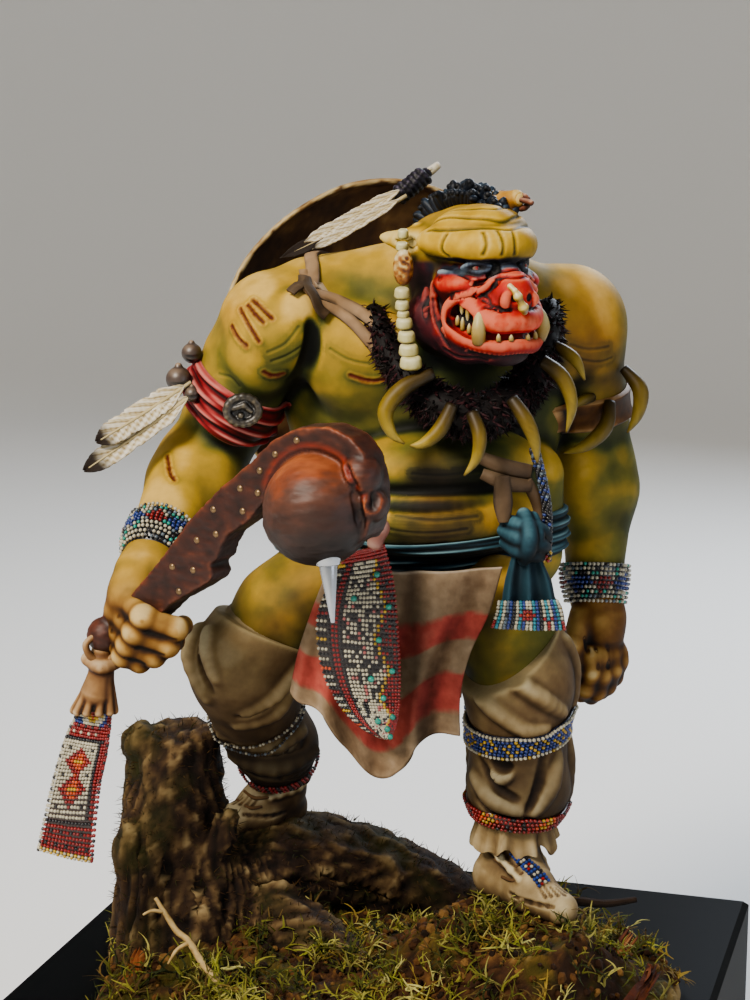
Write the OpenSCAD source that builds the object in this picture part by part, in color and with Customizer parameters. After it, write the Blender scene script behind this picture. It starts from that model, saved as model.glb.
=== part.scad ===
// Painted display miniature: a hunched fantasy brute in plains-style dress, carrying a
// ball-headed war club, posed with one foot on driftwood on a square display plinth.
// Millimetres, +Z up. The origin is the centre of the plinth's underside.

/* [Plinth] */
// Width of the square plinth
plinth_w = 70; // [68:1:90]
// Height of the plinth
plinth_h = 25; // [15:1:40]
// Bevel along the plinth's edges
plinth_bevel = 0.6; // [0.2:0.1:1.5]

/* [Figure] */
// Turn of the figure on the plinth, in degrees
figure_turn = 16.8; // [10:0.1:24]
// Glue gap between pieces that seat on each other
glue_gap = 0.06; // [0.03:0.01:0.12]
// Side of the square keys that locate the head and arms
key_w = 2.4; // [1.6:0.1:3]
// Radius of the wire pins in the feet and behind the shield
pin_r = 0.5; // [0.4:0.05:0.7]

/* [Equipment] */
// Radius of the war club's ball
ball_r = 4.8; // [4:0.1:5.2]
// Radius of the round hide shield
shield_r = 17.5; // [15:0.5:18.5]
// Depth of the shield's dish
shield_dish = 3.6; // [2:0.2:4.4]
// Length of the claws on the collar
claw_len = 5.2; // [3.5:0.1:6]
// Thickness of cuffs, bands and straps
band_t = 0.7; // [0.4:0.05:1]

/* [Hidden] */

mass_fn = 14;
limb_fn = 12;
small_fn = 8;
key_len = 4.5;
overlap_t = 0.01;

// Body landmarks: [x, y, z, radius], z measured from the top of the plinth
r_shoulder = [-9.6, 1, 68.6, 6.1];
r_biceps = [-12.2, 2.6, 62.4, 5.2];
r_elbow = [-15.4, 4.5, 56.4, 4.5];
r_forearm = [-17.4, 0.2, 52.4, 4.9];
r_wrist = [-19.9, -8.2, 48.2, 2.7];
l_shoulder = [21.2, 11, 67.2, 5.9];
l_biceps = [22.4, 12.2, 60, 5];
l_elbow = [23.7, 13.2, 53, 4.4];
l_forearm = [24.1, 12, 47.6, 4.3];
l_wrist = [23.8, 10, 40.4, 2.9];
r_hip = [-2.6, 3.6, 42, 6.3];
r_thigh = [-7.6, 1.6, 39.4, 5.4];
r_knee = [-12.1, 0, 33.6, 4.5];
r_shin = [-10.4, 4.6, 25.8, 3.4];
r_ankle = [-8.8, 8, 19.4, 2.3];
l_hip = [13.2, 2.8, 41, 5.8];
l_thigh = [14.4, -1.4, 37.6, 5.2];
l_knee = [15.1, -4.6, 32.6, 4.5];
l_shin = [15, -2.2, 21.4, 3.6];
l_ankle = [14.2, -1.6, 15.2, 2.4];
r_palm = [-20.3, -11, 44];
l_palm = [24.4, 9, 36];

// Soles of the moccasins
r_toe = [-13.9, 3.6, 17, 1.5];
r_heel = [-8.1, 9.4, 15.6, 1.8];
l_toe = [19.4, -9.6, 12.2, 1.5];
l_heel = [12.8, -1.4, 12.5, 1.9];
left_sole_z = 10.6;
left_foot_at = [16.2, -5.6];

// War club, from its butt to its beaked head
club_butt = [-24.2, -13.2, 39.8, 1.4];
club_grip = [-19.8, -15.2, 43.8, 1.5];
club_waist = [-13.6, -18.6, 50.2, 2.3];
club_neck = [-9.4, -21.6, 56.8, 2.1];
club_crown = [-5.2, -25.4, 61, 1.8];
club_brow = [-1, -26.8, 60.6, 1.6];
club_beak = [1.2, -27.2, 56.8, 1.3];
club_ball = [-4, -27.4, 55.4, ball_r];
club_dir = [0.669, -0.361, 0.651];

// Head masses: cranium, brow, muzzle, jaw and neck
cranium = [10.2, -4, 76, 5.3];
brow = [13.8, -9.4, 76.6, 3.5];
muzzle = [15.2, -11.2, 71.8, 2.8];
chin = [13.8, -10.4, 68, 2.9];
nape = [8.4, -1, 70.6, 4.6];
r_ear_root = [7.4, -5, 76, 1.5];
r_ear_tip = [1.8, -4, 76.9, 0.4];
l_ear_root = [13.2, -3.4, 78, 1.5];
l_ear_tip = [14, -4.4, 80.9, 0.9];
ear_pierce = [14.6, -5.4, 80.6];

shield_at = [0.5, 20.6, 64.8];
shield_tilt = 6;
shield_turn = 16;
pin_depth = 7;
drop_top = [-25.2, -13, 36.6];

function xyz(p) = [p[0], p[1], p[2]];
function ring_angle(i, n) = 360 * i / n;
// A point a share t of the way from a to b
function between(a, b, t) = a + (b - a) * t;
// Height of the earth at a point of the base
function bump(x, y, at, top, spread) =
    top * exp(-(pow(x - at[0], 2) + pow(y - at[1], 2)) / spread);
function earth_h(x, y) = min(left_sole_z,
    2.4 + bump(x, y, left_foot_at, 13, 110) + bump(x, y, [-12, 4], 4.5, 180)
    + bump(x, y, [-14, -10], 2.4, 70) + bump(x, y, [-2, -16], 1.6, 60)
    + 0.5 * sin(41 * x) * cos(37 * y));
function earth_edge(a) = 29.5 + 1.8 * sin(3 * a + 20) + 1.2 * sin(7 * a);

module figure() translate([0, 0, plinth_h]) rotate([0, 0, figure_turn]) children();

module dot(p, fn = limb_fn, grow = 0) translate(xyz(p)) sphere(r = p[3] + grow, $fn = fn);

// Smooth limb through a list of [x, y, z, radius] landmarks
module limb(points, grow = 0, fn = limb_fn)
    for (i = [0 : len(points) - 2]) hull() {
        dot(points[i], fn, grow);
        dot(points[i + 1], fn, grow);
    }

module mass(at, size, grow = 0, fn = mass_fn)
    translate(at) scale([size[0] + grow, size[1] + grow, size[2] + grow]) sphere(r = 1, $fn = fn);

// Points children's +Z axis from one place towards another
module aimed(from, to) {
    way = to - from;
    translate(from) rotate([0, acos(way[2] / norm(way)), atan2(way[1], way[0])]) children();
}

module slab(at, to, h) aimed(at, to) translate([-20, -20, -h / 2]) cube([40, 40, h]);

// Band that follows the first child's surface, cut clear of the second child
module band_on(at, to, h) difference() {
    intersection() {
        children(0);
        slab(at, to, h);
    }
    children(1);
}

// Square tapered key between a limb and its socket
module key(from, to, grow = 0) aimed(from, to) hull() {
    translate([0, 0, 0.5]) cube([key_w + 2 * grow, key_w + 2 * grow, 1], center = true);
    translate([0, 0, key_len + grow])
        cube([key_w * 0.7 + 2 * grow, key_w * 0.7 + 2 * grow, 0.5], center = true);
}

// Curved claw that hangs from a place and bends towards a side
module claw(at, out, length, thick) {
    steps = 4;
    for (i = [0 : steps - 1]) hull() for (j = [i, i + 1]) {
        t = j / steps;
        drop = sin(t * 100) / sin(100);
        translate(at + out * (sin(t * 180) * 0.22 * length) - [0, 0, drop * length])
            sphere(r = thick * (1 - t * 0.85), $fn = small_fn);
    }
}

module feather(from, to, width, thick) {
    steps = [[0, 0.12], [0.12, 0.6], [0.5, 1], [0.85, 0.8], [1, 0.15]];
    aimed(from, to) for (i = [0 : len(steps) - 2]) hull() for (j = [i, i + 1])
        translate([0, 0, steps[j][0] * norm(to - from)])
            scale([width * steps[j][1] / 2, thick / 2, thick / 2]) sphere(r = 1, $fn = small_fn);
}

// Solid forms that neighbouring pieces are cut clear of
module torso_form(grow = 0) {
    hull() {
        mass([6, 3, 41.5], [9.4, 7, 5], grow);
        mass([6.4, 2.2, 48.5], [10.6, 8.4, 6.2], grow);
    }
    hull() {
        mass([6.4, 2.2, 48.5], [10.6, 8.4, 6.2], grow);
        mass([6.6, 2, 54], [10.8, 8.8, 6], grow);
    }
    hull() {
        mass([6.6, 2, 54], [10.8, 8.8, 6], grow);
        mass([6.2, 5, 63], [12, 8, 8], grow);
    }
    hull() {
        mass([6.2, 5, 63], [12, 8, 8], grow);
        mass([6.6, 8.6, 69], [11.4, 6.6, 6.2], grow);
    }
    hull() {
        mass([0.6, 1.4, 65], [6.2, 5.4, 5.6], grow);
        mass([-2.6, 3.6, 68], [5.8, 5.6, 5.4], grow);
    }
    hull() {
        mass([12.2, 3.8, 64.6], [6, 5.4, 5.4], grow);
        mass([16, 8.4, 67], [5.8, 5.8, 5.2], grow);
    }
    hull() {
        mass([-2, 4.6, 71], [5, 4.6, 4.4], grow);
        mass([7.6, 4, 72.4], [5.4, 5, 4.6], grow);
    }
    hull() {
        mass([15.6, 9, 70], [5, 4.6, 4.4], grow);
        mass([7.6, 4, 72.4], [5.4, 5, 4.6], grow);
    }
}

module head_form(grow = 0) {
    hull() {
        dot(cranium, mass_fn, grow);
        dot(brow, limb_fn, grow);
    }
    hull() {
        dot(cranium, mass_fn, grow);
        dot(muzzle, limb_fn, grow);
    }
    hull() {
        dot(brow, limb_fn, grow);
        dot(muzzle, limb_fn, grow);
    }
    hull() {
        dot(muzzle, limb_fn, grow);
        dot(chin, limb_fn, grow);
        dot(nape, mass_fn, grow);
    }
    hull() {
        dot(cranium, mass_fn, grow);
        dot(nape, mass_fn, grow);
    }
    limb([r_ear_root, r_ear_tip], grow, small_fn);
    limb([cranium, l_ear_root, l_ear_tip], grow, small_fn);
}

module right_arm_form(grow = 0)
    limb([r_shoulder, between(r_shoulder, r_biceps, 0.5), r_biceps,
        between(r_biceps, r_elbow, 0.5), r_elbow, between(r_elbow, r_forearm, 0.5), r_forearm,
        between(r_forearm, r_wrist, 0.5), r_wrist], grow);

module left_arm_form(grow = 0)
    limb([l_shoulder, between(l_shoulder, l_biceps, 0.5), l_biceps,
        between(l_biceps, l_elbow, 0.5), l_elbow, between(l_elbow, l_forearm, 0.5), l_forearm,
        between(l_forearm, l_wrist, 0.5), l_wrist], grow);

module right_leg_form(grow = 0)
    limb([r_hip, between(r_hip, r_thigh, 0.5), r_thigh, between(r_thigh, r_knee, 0.5), r_knee,
        between(r_knee, r_shin, 0.5), r_shin, between(r_shin, r_ankle, 0.5), r_ankle], grow);

module left_leg_form(grow = 0)
    limb([l_hip, between(l_hip, l_thigh, 0.5), l_thigh, between(l_thigh, l_knee, 0.5), l_knee,
        between(l_knee, l_shin, 0.5), l_shin, between(l_shin, l_ankle, 0.5), l_ankle], grow);

module right_legging_form(grow = 0)
    limb([[-11.2, 0.4, 36, 4.8], [-12.2, 0, 33.6, 5.1], [-11.6, 2, 29.6, 4.7],
        [-10.4, 4.4, 26.4, 4.7], [-9.6, 6.4, 23, 4.2], [-9, 7.6, 20.6, 3.6]], grow);

module left_legging_form(grow = 0)
    limb([[14.6, -3, 35.4, 5], [15.1, -4.6, 32.6, 5.2], [15.1, -3.6, 28, 4.7],
        [15.2, -2.4, 23.4, 5], [15, -2, 20.2, 4.6], [14.6, -1.8, 17.2, 3.5]], grow);

module club_form(grow = 0) {
    limb([club_butt, club_grip, club_waist, club_neck, club_crown, club_brow, club_beak],
        grow, limb_fn);
    limb([club_ball, club_ball + [0.1, 0, 0, 0]], grow, 24);
}

module earth_form(grow = 0) {
    rings = 9;
    sectors = 40;
    top = [for (k = [1 : rings], i = [0 : sectors - 1])
        let (a = ring_angle(i, sectors), r = earth_edge(a) * k / rings,
            x = r * cos(a), y = r * sin(a), rim = k == rings ? 0.35 : 1)
        [x, y, earth_h(x, y) * rim + grow]];
    foot = [for (i = [0 : sectors - 1])
        let (a = ring_angle(i, sectors)) [earth_edge(a) * cos(a), earth_edge(a) * sin(a), 0]];
    peak = len(top) + sectors;
    polyhedron(points = concat(top, foot, [[0, 0, earth_h(0, 0) + grow]]),
        faces = concat(
            [for (i = [0 : sectors - 1]) [peak, (i + 1) % sectors, i]],
            [for (k = [0 : rings - 2], i = [0 : sectors - 1])
                let (j = (i + 1) % sectors, a = k * sectors, b = (k + 1) * sectors)
                each [[a + i, a + j, b + j], [a + i, b + j, b + i]]],
            [for (i = [0 : sectors - 1])
                let (j = (i + 1) % sectors, a = (rings - 1) * sectors, b = rings * sectors)
                each [[a + i, a + j, b + j], [a + i, b + j, b + i]]],
            [[for (i = [0 : sectors - 1]) rings * sectors + i]]));
}

module moccasin_form(toe, heel, ankle, grow = 0) {
    ball_of_foot = between(toe, heel, 0.3);
    hull() {
        dot(toe, limb_fn, grow);
        dot(ball_of_foot + [0, 0, 0.3, 0.4], limb_fn, grow);
    }
    hull() {
        dot(ball_of_foot + [0, 0, 0.3, 0.4], limb_fn, grow);
        dot(heel, limb_fn, grow);
        dot([ankle[0], ankle[1], heel[2] + 1.6, 2.2], limb_fn, grow);
    }
}

// One sub-part per module
module plinth() color("#16181a") {
    side = [[-plinth_w / 2 + plinth_bevel, 0], [-plinth_w / 2, plinth_bevel],
        [-plinth_w / 2, plinth_h - plinth_bevel], [-plinth_w / 2 + plinth_bevel, plinth_h],
        [plinth_w / 2 - plinth_bevel, plinth_h], [plinth_w / 2, plinth_h - plinth_bevel],
        [plinth_w / 2, plinth_bevel], [plinth_w / 2 - plinth_bevel, 0]];
    intersection() {
        rotate([90, 0, 0]) linear_extrude(height = plinth_w, center = true) polygon(side);
        rotate([90, 0, 90]) linear_extrude(height = plinth_w, center = true) polygon(side);
    }
}

module pin_bores(grow)
    for (foot = [[l_toe, l_heel], [r_toe, r_heel]])
        translate(xyz(between(foot[0], foot[1], 0.7)))
            cylinder(r = pin_r + grow, h = pin_depth + grow, center = true, $fn = 32);

module groundwork() color("#3a2a1c") translate([0, 0, plinth_h]) difference() {
    earth_form();
    rotate([0, 0, figure_turn]) pin_bores(glue_gap);
}

module earth_in_figure(grow = 0) rotate([0, 0, -figure_turn]) earth_form(grow);

module driftwood_form() {
    limb([[-19.8, 6.4, 22.6, 4.6], [-20.2, 5, 18, 4.8], [-19, 3, 12, 6.2], [-18, 2, 6.5, 7]]);
    limb([[-19, 3, 10, 6], [-13, 6.6, 10.2, 5.4], [-7, 9.4, 9.6, 5.2], [-1, 11, 8.6, 4.6],
        [5, 12, 6.4, 3.8], [10, 12.6, 4.6, 2.8]]);
    limb([[-12, 4, 7, 4], [-6, -1, 4.6, 3], [-1, -3, 3.4, 2]]);
}

module driftwood() color("#33251b") figure() difference() {
    driftwood_form();
    earth_in_figure(overlap_t);
    moccasin_form(r_toe, r_heel, r_ankle, glue_gap);
    pin_bores(glue_gap);
    translate([-40, -40, -20]) cube([80, 80, 20]);
}

// Scattered low balls, seeded, that sit on the earth
module tufts(seed, count, low, high, keep_out) {
    spots = rands(-1, 1, 2 * count, seed);
    sizes = rands(low, high, count, seed + 1);
    difference() {
        for (i = [0 : count - 1]) {
            x = spots[2 * i] * 20;
            y = spots[2 * i + 1] * 20;
            if (norm([x, y] - left_foot_at) > keep_out && norm([x + 8, y - 8]) > 14)
                translate([x, y, earth_h(x, y) + sizes[i] * 0.35])
                    scale([1, 1, 0.8]) sphere(r = sizes[i], $fn = 7);
        }
        earth_form(overlap_t);
        rotate([0, 0, figure_turn]) minkowski() {
            driftwood_form();
            cube(0.1, center = true);
        }
    }
}

module moss_tufts() color("#3f5a2a") translate([0, 0, plinth_h]) tufts(7, 34, 1.2, 2.2, 11);

module lichen_tufts() color("#9aa04a") translate([0, 0, plinth_h]) intersection() {
    tufts(19, 30, 0.9, 1.5, 12);
    difference() {
        translate([-40, -40, 0]) cube([80, 80, 30]);
        minkowski() {
            tufts(7, 34, 1.2, 2.2, 11);
            cube(0.1, center = true);
        }
    }
}

module bark_pieces() color("#5d3626") figure() difference() {
    union() {
        translate([26, -3, 5]) rotate([20, 60, 30]) cube([9, 5, 1.4], center = true);
        translate([24, -12, 4.6]) rotate([-15, 40, -20]) cube([8, 4, 1.2], center = true);
        translate([-24, -8, 4.2]) rotate([10, 25, 60]) cube([7, 3, 1.2], center = true);
    }
    earth_in_figure(overlap_t);
}

module pale_twig() color("#b59a6a") figure() difference() {
    limb([[-20.5, -8, 12.4, 0.25], [-19.2, -8.8, 10.6, 0.3], [-17.4, -9.8, 9.4, 0.35],
        [-16, -11, 7.4, 0.4], [-14.4, -12.4, 6, 0.4], [-13.4, -13.6, 3.6, 0.4]], 0, small_fn);
    earth_in_figure(overlap_t);
}

module torso() color("#a89a4e") figure() difference() {
    torso_form();
    head_form(glue_gap);
    right_arm_form(glue_gap);
    left_arm_form(glue_gap);
    right_leg_form(glue_gap);
    left_leg_form(glue_gap);
    key(xyz(nape), [7.4, 2, 64], glue_gap);
    key(xyz(r_shoulder), [6, 4, 67], glue_gap);
    key(xyz(l_shoulder), [6, 6, 66], glue_gap);
    shield_pin_shape(glue_gap);
}

module head() color("#b7a95a") figure() difference() {
    union() {
        head_form();
        key(xyz(nape), [7.4, 2, 64]);
    }
    tusk_pair(glue_gap);
    ear_stud(glue_gap);
}

// Everything past a plane across a limb, and everything before it
module beyond(at, to) aimed(at, to) translate([-20, -20, 0]) cube([40, 40, 40]);

module before(at, to) aimed(at, to) translate([-20, -20, glue_gap - 40]) cube([40, 40, 40]);

module right_arm() color("#b0a050") figure() difference() {
    union() {
        right_arm_form();
        key(xyz(r_shoulder), [6, 4, 67]);
    }
    beyond(xyz(r_wrist), r_palm);
}

module left_arm() color("#a8914a") figure() difference() {
    union() {
        left_arm_form();
        key(xyz(l_shoulder), [6, 6, 66]);
    }
    beyond(xyz(l_wrist), l_palm);
}

// Finger that curls round the club's grip, a share along it, between two angles
module gripping_finger(along, a, b, r, thick) {
    steps = 4;
    side = [0.5, 0.866, -0.033];
    up = cross(side, club_dir);
    at = xyz(between(club_butt, club_waist, along));
    for (i = [0 : steps - 1]) hull() for (j = [i, i + 1]) {
        t = a + (b - a) * j / steps;
        translate(at + (side * cos(t) + up * sin(t)) * r) sphere(r = thick, $fn = small_fn);
    }
}

module right_hand() color("#8d6b41") figure() difference() {
    union() {
        limb([r_wrist, [-20.2, -9.8, 45.8, 3], [-20.6, -10.6, 43, 3.2]]);
        for (i = [0 : 3]) gripping_finger(0.06 + i * 0.135, -10, 230, 2.7, 0.95);
        gripping_finger(0.5, 20, -110, 2.8, 1);
    }
    club_form(glue_gap);
    before(xyz(r_wrist), r_palm);
}

module left_hand_form(grow = 0) {
    limb([l_wrist, [24.4, 9.2, 36.6, 3], [24.6, 8.6, 33.8, 2.9]], grow);
    for (i = [0 : 3]) {
        base = [23 + i * 1.1, 6.6 + i * 0.8, 32.6];
        limb([[base[0], base[1], base[2], 1.05], [base[0] + 0.4, base[1] - 0.4, 29.8, 0.95],
            [base[0] - 0.5, base[1] + 0.6, 28.2, 0.85]], grow, small_fn);
    }
    limb([[22, 7, 36, 1.1], [21.4, 6, 33.2, 0.95], [22, 5.8, 31.4, 0.8]], grow, small_fn);
}

module left_hand() color("#8d6b41") figure() difference() {
    left_hand_form();
    before(xyz(l_wrist), l_palm);
}

module right_leg() color("#a08a48") figure() difference() {
    right_leg_form();
    moccasin_form(r_toe, r_heel, r_ankle, glue_gap);
    left_leg_form(glue_gap);
}

module left_leg() color("#a08a48") figure() difference() {
    left_leg_form();
    moccasin_form(l_toe, l_heel, l_ankle, glue_gap);
}

module hair_form() {
    line = [[12.4, -6.4, 80.4, 1.2], [11.4, -4.6, 81.5, 1.4], [10, -2.4, 82, 1.5],
        [8.4, -0.2, 81.6, 1.5], [6.8, 1.8, 80.2, 1.5], [5.8, 3.6, 78, 1.5],
        [5.4, 4.8, 75.4, 1.4]];
    limb(line, 0, small_fn);
    for (p = line) limb([p, p + [-0.5, 0.2, 0.7, -0.6]], 0, small_fn);
    for (p = line) limb([p, [p[0], p[1], p[2], 0.8] + [0.6, -1.2, -1.2, 0]], 0, small_fn);
}

module hair_crest() color("#232a36") figure() difference() {
    hair_form();
    head_form(glue_gap);
    torso_form(glue_gap);
}

module ear_stud(grow = 0) aimed(ear_pierce, ear_pierce + [0.8, -0.9, 0])
    cylinder(r = 0.5 + grow, h = 2.4 + 2 * grow, center = true, $fn = 32);

module ear_plug() color("#40261c") figure() ear_stud();

// Tusks rise from the jaw on each side of the muzzle
module tusk_pair(grow = 0) {
    limb([[11.6, -13.4, 68.4, 0.9], [11.4, -14, 70, 0.7], [11.3, -14.2, 71.4, 0.3]],
        grow, small_fn);
    limb([[16.4, -12.6, 68.6, 0.7], [17.2, -13, 70, 0.55], [17.4, -13, 71.2, 0.25]],
        grow, small_fn);
}

module tusks() color("#e8dfae") figure() tusk_pair();

module nose_ornament() color("#c9a44b") figure() difference() {
    limb([[15.6, -14.2, 73.4, 0.5], [16, -14.6, 72.6, 0.35], [16.3, -14.7, 71.8, 0.35],
        [16.5, -14.6, 71, 0.55]], 0, small_fn);
    head_form(glue_gap);
}

module crest_feather_forms(grow = 0) {
    feather([4.4, 5.2, 81.6], [-7.6, 3.4, 75], 2.2, 0.5 + grow);
    feather([4.2, 4.8, 80.6], [-5.6, 2.6, 74.4], 2, 0.5 + grow);
}

module crest_feathers() color("#e9e2cc") figure() difference() {
    crest_feather_forms();
    torso_form(glue_gap);
    wrap_form(glue_gap);
}

module wrap_form(grow = 0) aimed([3.2, 5.2, 80.6], [6.2, 5.8, 83]) {
    cylinder(r = 0.95 + grow, h = 2.4 + grow, $fn = 32);
    translate([0, 0, 2.4]) cylinder(r = 0.45 + grow, h = 2.2 + grow, $fn = 32);
}

module feather_wrap() color("#2c2430") figure() wrap_form();

// Bone beads on a thong in front of the right collar bone
module bone_bead_drop() color("#d8cfa6") figure() {
    from = [3.2, -8.6, 76];
    to = [4.1, -11.2, 66.2];
    count = 9;
    aimed(from, to) {
        cylinder(r = 0.25, h = norm(to - from), $fn = 24);
        for (i = [0 : count - 1]) translate([0, 0, (i + 0.5) * norm(to - from) / count])
            sphere(r = 0.52 + 0.05 * i, $fn = 24);
    }
}

// The collar is a thick fur roll that lies on the chest
collar_line = [[0.6, -1.6, 70.6, 1.2], [2.2, -4.8, 67.6, 1.4], [4.4, -7.2, 64.6, 1.5],
    [7.2, -8.6, 62.2, 1.6], [10.2, -8.6, 61.2, 1.6], [13, -7.4, 61.8, 1.6],
    [15.6, -5.2, 63.8, 1.5], [17.4, -2, 66.8, 1.4], [17.6, 1.6, 69.8, 1.3]];

module collar_form(grow = 0) limb(collar_line, grow);

module necklace_collar() color("#3b2620") figure() difference() {
    collar_form();
    torso_form(glue_gap);
    head_form(glue_gap);
    left_arm_form(glue_gap);
    right_arm_form(glue_gap);
}

module necklace_claws() color("#a98a45") figure() difference() {
    for (i = [0 : 5]) {
        p = between(collar_line[i + 1], collar_line[i + 2], 0.5);
        out = [(p[0] - 9) * 0.12, -1, 0];
        claw(xyz(p) + [0, -1.4, -0.2], out, claw_len, 0.95);
    }
    collar_form(glue_gap);
    torso_form(glue_gap);
    left_arm_form(glue_gap);
}

module strap_form(grow = 0) intersection() {
    torso_form(band_t + grow);
    for (shift = [-1.3, 1.3])
        translate([0.4 + shift, 0, 69.6 + shift * 0.6]) rotate([0, 38, 8])
            cube([1.7 + 2 * grow, 50, 60], center = true);
    translate([-12, -20, 55]) cube([30, 24, 30]);
}

module chest_straps() color("#7a6247") figure() difference() {
    strap_form();
    torso_form(glue_gap);
    head_form(glue_gap);
    right_arm_form(glue_gap);
    left_arm_form(glue_gap);
    collar_form(glue_gap);
}

module toggle_form(grow = 0) {
    translate([12.8, -7.6, 55]) rotate([8, 6, 18])
        cube([4.6 + grow, 1.4 + grow, 2.6 + grow], center = true);
    translate([12.4, -8, 51.8]) rotate([6, 4, 14])
        cube([2 + grow, 1 + grow, 4.4 + grow], center = true);
}

module strap_toggle() color("#6b4f38") figure() difference() {
    toggle_form();
    torso_form(glue_gap);
    sash_form(glue_gap);
    collar_form(glue_gap);
}

module cord_line(grow = 0) limb([[16, -6.2, 56, 0.6], [16.4, -6.4, 53.8, 0.6],
    [16.8, -6.6, 51.6, 0.65], [17, -6.8, 49.4, 0.6]], grow, small_fn);

module bead_cord() color("#3a3440") figure() difference() {
    cord_line();
    torso_form(glue_gap);
    toggle_form(glue_gap);
    knot_form(glue_gap);
    sash_form(glue_gap);
}

// Dished hide disc, hollow towards the back it hangs on
module shield() color("#4a3326") figure() difference() {
    translate(shield_at) rotate([90 + shield_tilt, 0, shield_turn]) rotate_extrude($fn = 96)
        polygon([[0, -1.2], [shield_r * 0.55, -0.9], [shield_r - 1, shield_dish - 1],
            [shield_r, shield_dish], [shield_r - 0.4, shield_dish + 0.9],
            [shield_r - 1.6, shield_dish + 0.3], [shield_r * 0.55, 0.5], [0, 0.2]]);
    shield_pin_shape(glue_gap);
}

module shield_pin_shape(grow = 0) translate([2.6, 9, 66]) rotate([-90, 0, 0])
    cylinder(r = pin_r + grow, h = 12.4 + grow, $fn = 32);

module shield_pin() color("#b9bcc0") figure() shield_pin_shape();

module right_armband() color("#7c1f22") figure() difference() {
    union() {
        band_on(between(xyz(r_shoulder), xyz(r_elbow), 0.52), xyz(r_elbow), 3.6) {
            right_arm_form(band_t * 1.6);
            right_arm_form(glue_gap);
        }
        band_on(between(xyz(r_shoulder), xyz(r_elbow), 0.56), xyz(r_elbow) + [1.6, 0, 0], 1.6) {
            right_arm_form(band_t * 2.1);
            right_arm_form(glue_gap);
        }
    }
    torso_form(glue_gap);
    brooch_form(glue_gap);
    bell_forms(glue_gap);
}

module brooch_form(grow = 0) translate([-11.2, -4.6, 60.8]) rotate([100, 0, -14])
    rotate_extrude($fn = 48) translate([1.1, 0]) circle(r = 0.45 + grow, $fn = 24);

module armband_brooch() color("#55504a") figure() brooch_form();

module bell_forms(grow = 0) {
    translate([-18.4, 0.2, 63.2]) sphere(r = 1.2 + grow, $fn = 14);
    translate([-16.9, 1.2, 65.8]) sphere(r = 1 + grow, $fn = 14);
}

module armband_bells() color("#2f2a2c") figure() difference() {
    bell_forms();
    right_arm_form(glue_gap);
}

module armband_feathers() color("#ddd8cc") figure() difference() {
    union() {
        feather([-18.2, -0.6, 61.8], [-25.8, -3.6, 58.2], 2, 0.5);
        feather([-17.8, -1.6, 61], [-26.8, -4.6, 55.2], 2, 0.5);
    }
    right_arm_form(glue_gap);
    bell_forms(glue_gap);
    right_arm_form(band_t * 2.1 + glue_gap);
}

module left_armband_form(grow = 0)
    band_on(between(xyz(l_shoulder), xyz(l_elbow), 0.62), xyz(l_elbow) + [1, 0, 0], 3 + grow) {
        left_arm_form(band_t + grow);
        left_arm_form(glue_gap - grow);
    }

module left_armband() color("#4a3022") figure() difference() {
    left_armband_form();
    torso_form(glue_gap);
}

module left_armband_claws() color("#a98a45") figure() difference() {
    union() {
        claw([27.2, 6.4, 61.6], [0.3, -0.6, 0], claw_len, 0.9);
        claw([22.8, 5.6, 59.4], [-0.6, -0.8, 0], claw_len, 0.9);
        claw([19.8, 5.4, 59.8], [-0.8, -0.6, 0], claw_len * 0.5, 0.8);
    }
    left_arm_form(band_t + glue_gap);
    torso_form(glue_gap);
}

module right_cuff() color("#3c4a78") figure()
    band_on(between(xyz(r_wrist), xyz(r_forearm), 0.12), xyz(r_wrist), 3) {
        right_arm_form(band_t);
        right_arm_form(glue_gap);
    }

module left_cuff() color("#3c4a78") figure()
    band_on(between(xyz(l_wrist), xyz(l_forearm), 0.12), xyz(l_wrist), 3.2) {
        left_arm_form(band_t);
        left_arm_form(glue_gap);
    }

module sash_form(grow = 0) intersection() {
    torso_form(1.1 + grow);
    translate([6, 0, 47.6]) rotate([0, -3, 0]) cube([60, 60, 3.8 + 2 * grow], center = true);
}

module sash() color("#1e4350") figure() difference() {
    sash_form();
    torso_form(glue_gap);
    right_leg_form(glue_gap);
    left_leg_form(glue_gap);
}

module knot_form(grow = 0) {
    limb([[13.8, -8.4, 49, 1.6], [15.6, -7.9, 48.4, 1.7]], grow);
    limb([[14.6, -8.6, 46.8, 1.3], [15.4, -8.8, 45.6, 1.2]], grow);
}

module sash_knot() color("#1b3b48") figure() difference() {
    knot_form();
    sash_form(glue_gap);
    torso_form(glue_gap);
    left_leg_form(glue_gap);
}

module tail_shape(low, high, w0, w1, grow = 0) translate([15.2, -9.6, 0]) rotate([90, 0, 0])
    linear_extrude(height = 1.5 + 2 * grow, center = true)
        polygon([[-w0 / 2, high], [w0 / 2, high], [w1 / 2, low], [-w1 / 2, low]]);

module sash_tail() color("#1e4350") figure() difference() {
    tail_shape(42.4, 46, 2.6, 5.4);
    knot_form(glue_gap);
    left_leg_form(glue_gap);
    sash_form(glue_gap);
    torso_form(glue_gap);
}

module sash_tail_beadwork() color("#7d90b0") figure() difference() {
    tail_shape(39.8, 42.4 - glue_gap, 5.6, 6.4);
    left_leg_form(glue_gap);
}

// Wool cloth that hangs in folds below the sash
module cloth(y0, fold, outline) intersection() {
    linear_extrude(height = 80) polygon(concat(
        [for (i = [0 : 40]) let (x = -10 + i * 0.55)
            [x, y0 - 0.45 + fold * sin(x * 62)]],
        [for (i = [40 : -1 : 0]) let (x = -10 + i * 0.55)
            [x, y0 + 0.45 + fold * sin(x * 62)]]));
    rotate([90, 0, 0]) linear_extrude(height = 60, center = true) polygon(outline);
}

front_outline = [[-1.6, 45.4], [11.8, 45.4], [10.6, 37], [9.2, 29.6], [5, 29], [3.2, 26],
    [0.6, 25.4], [-2.2, 27], [-3.4, 31.4], [-7.4, 33], [-7, 36]];

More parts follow.
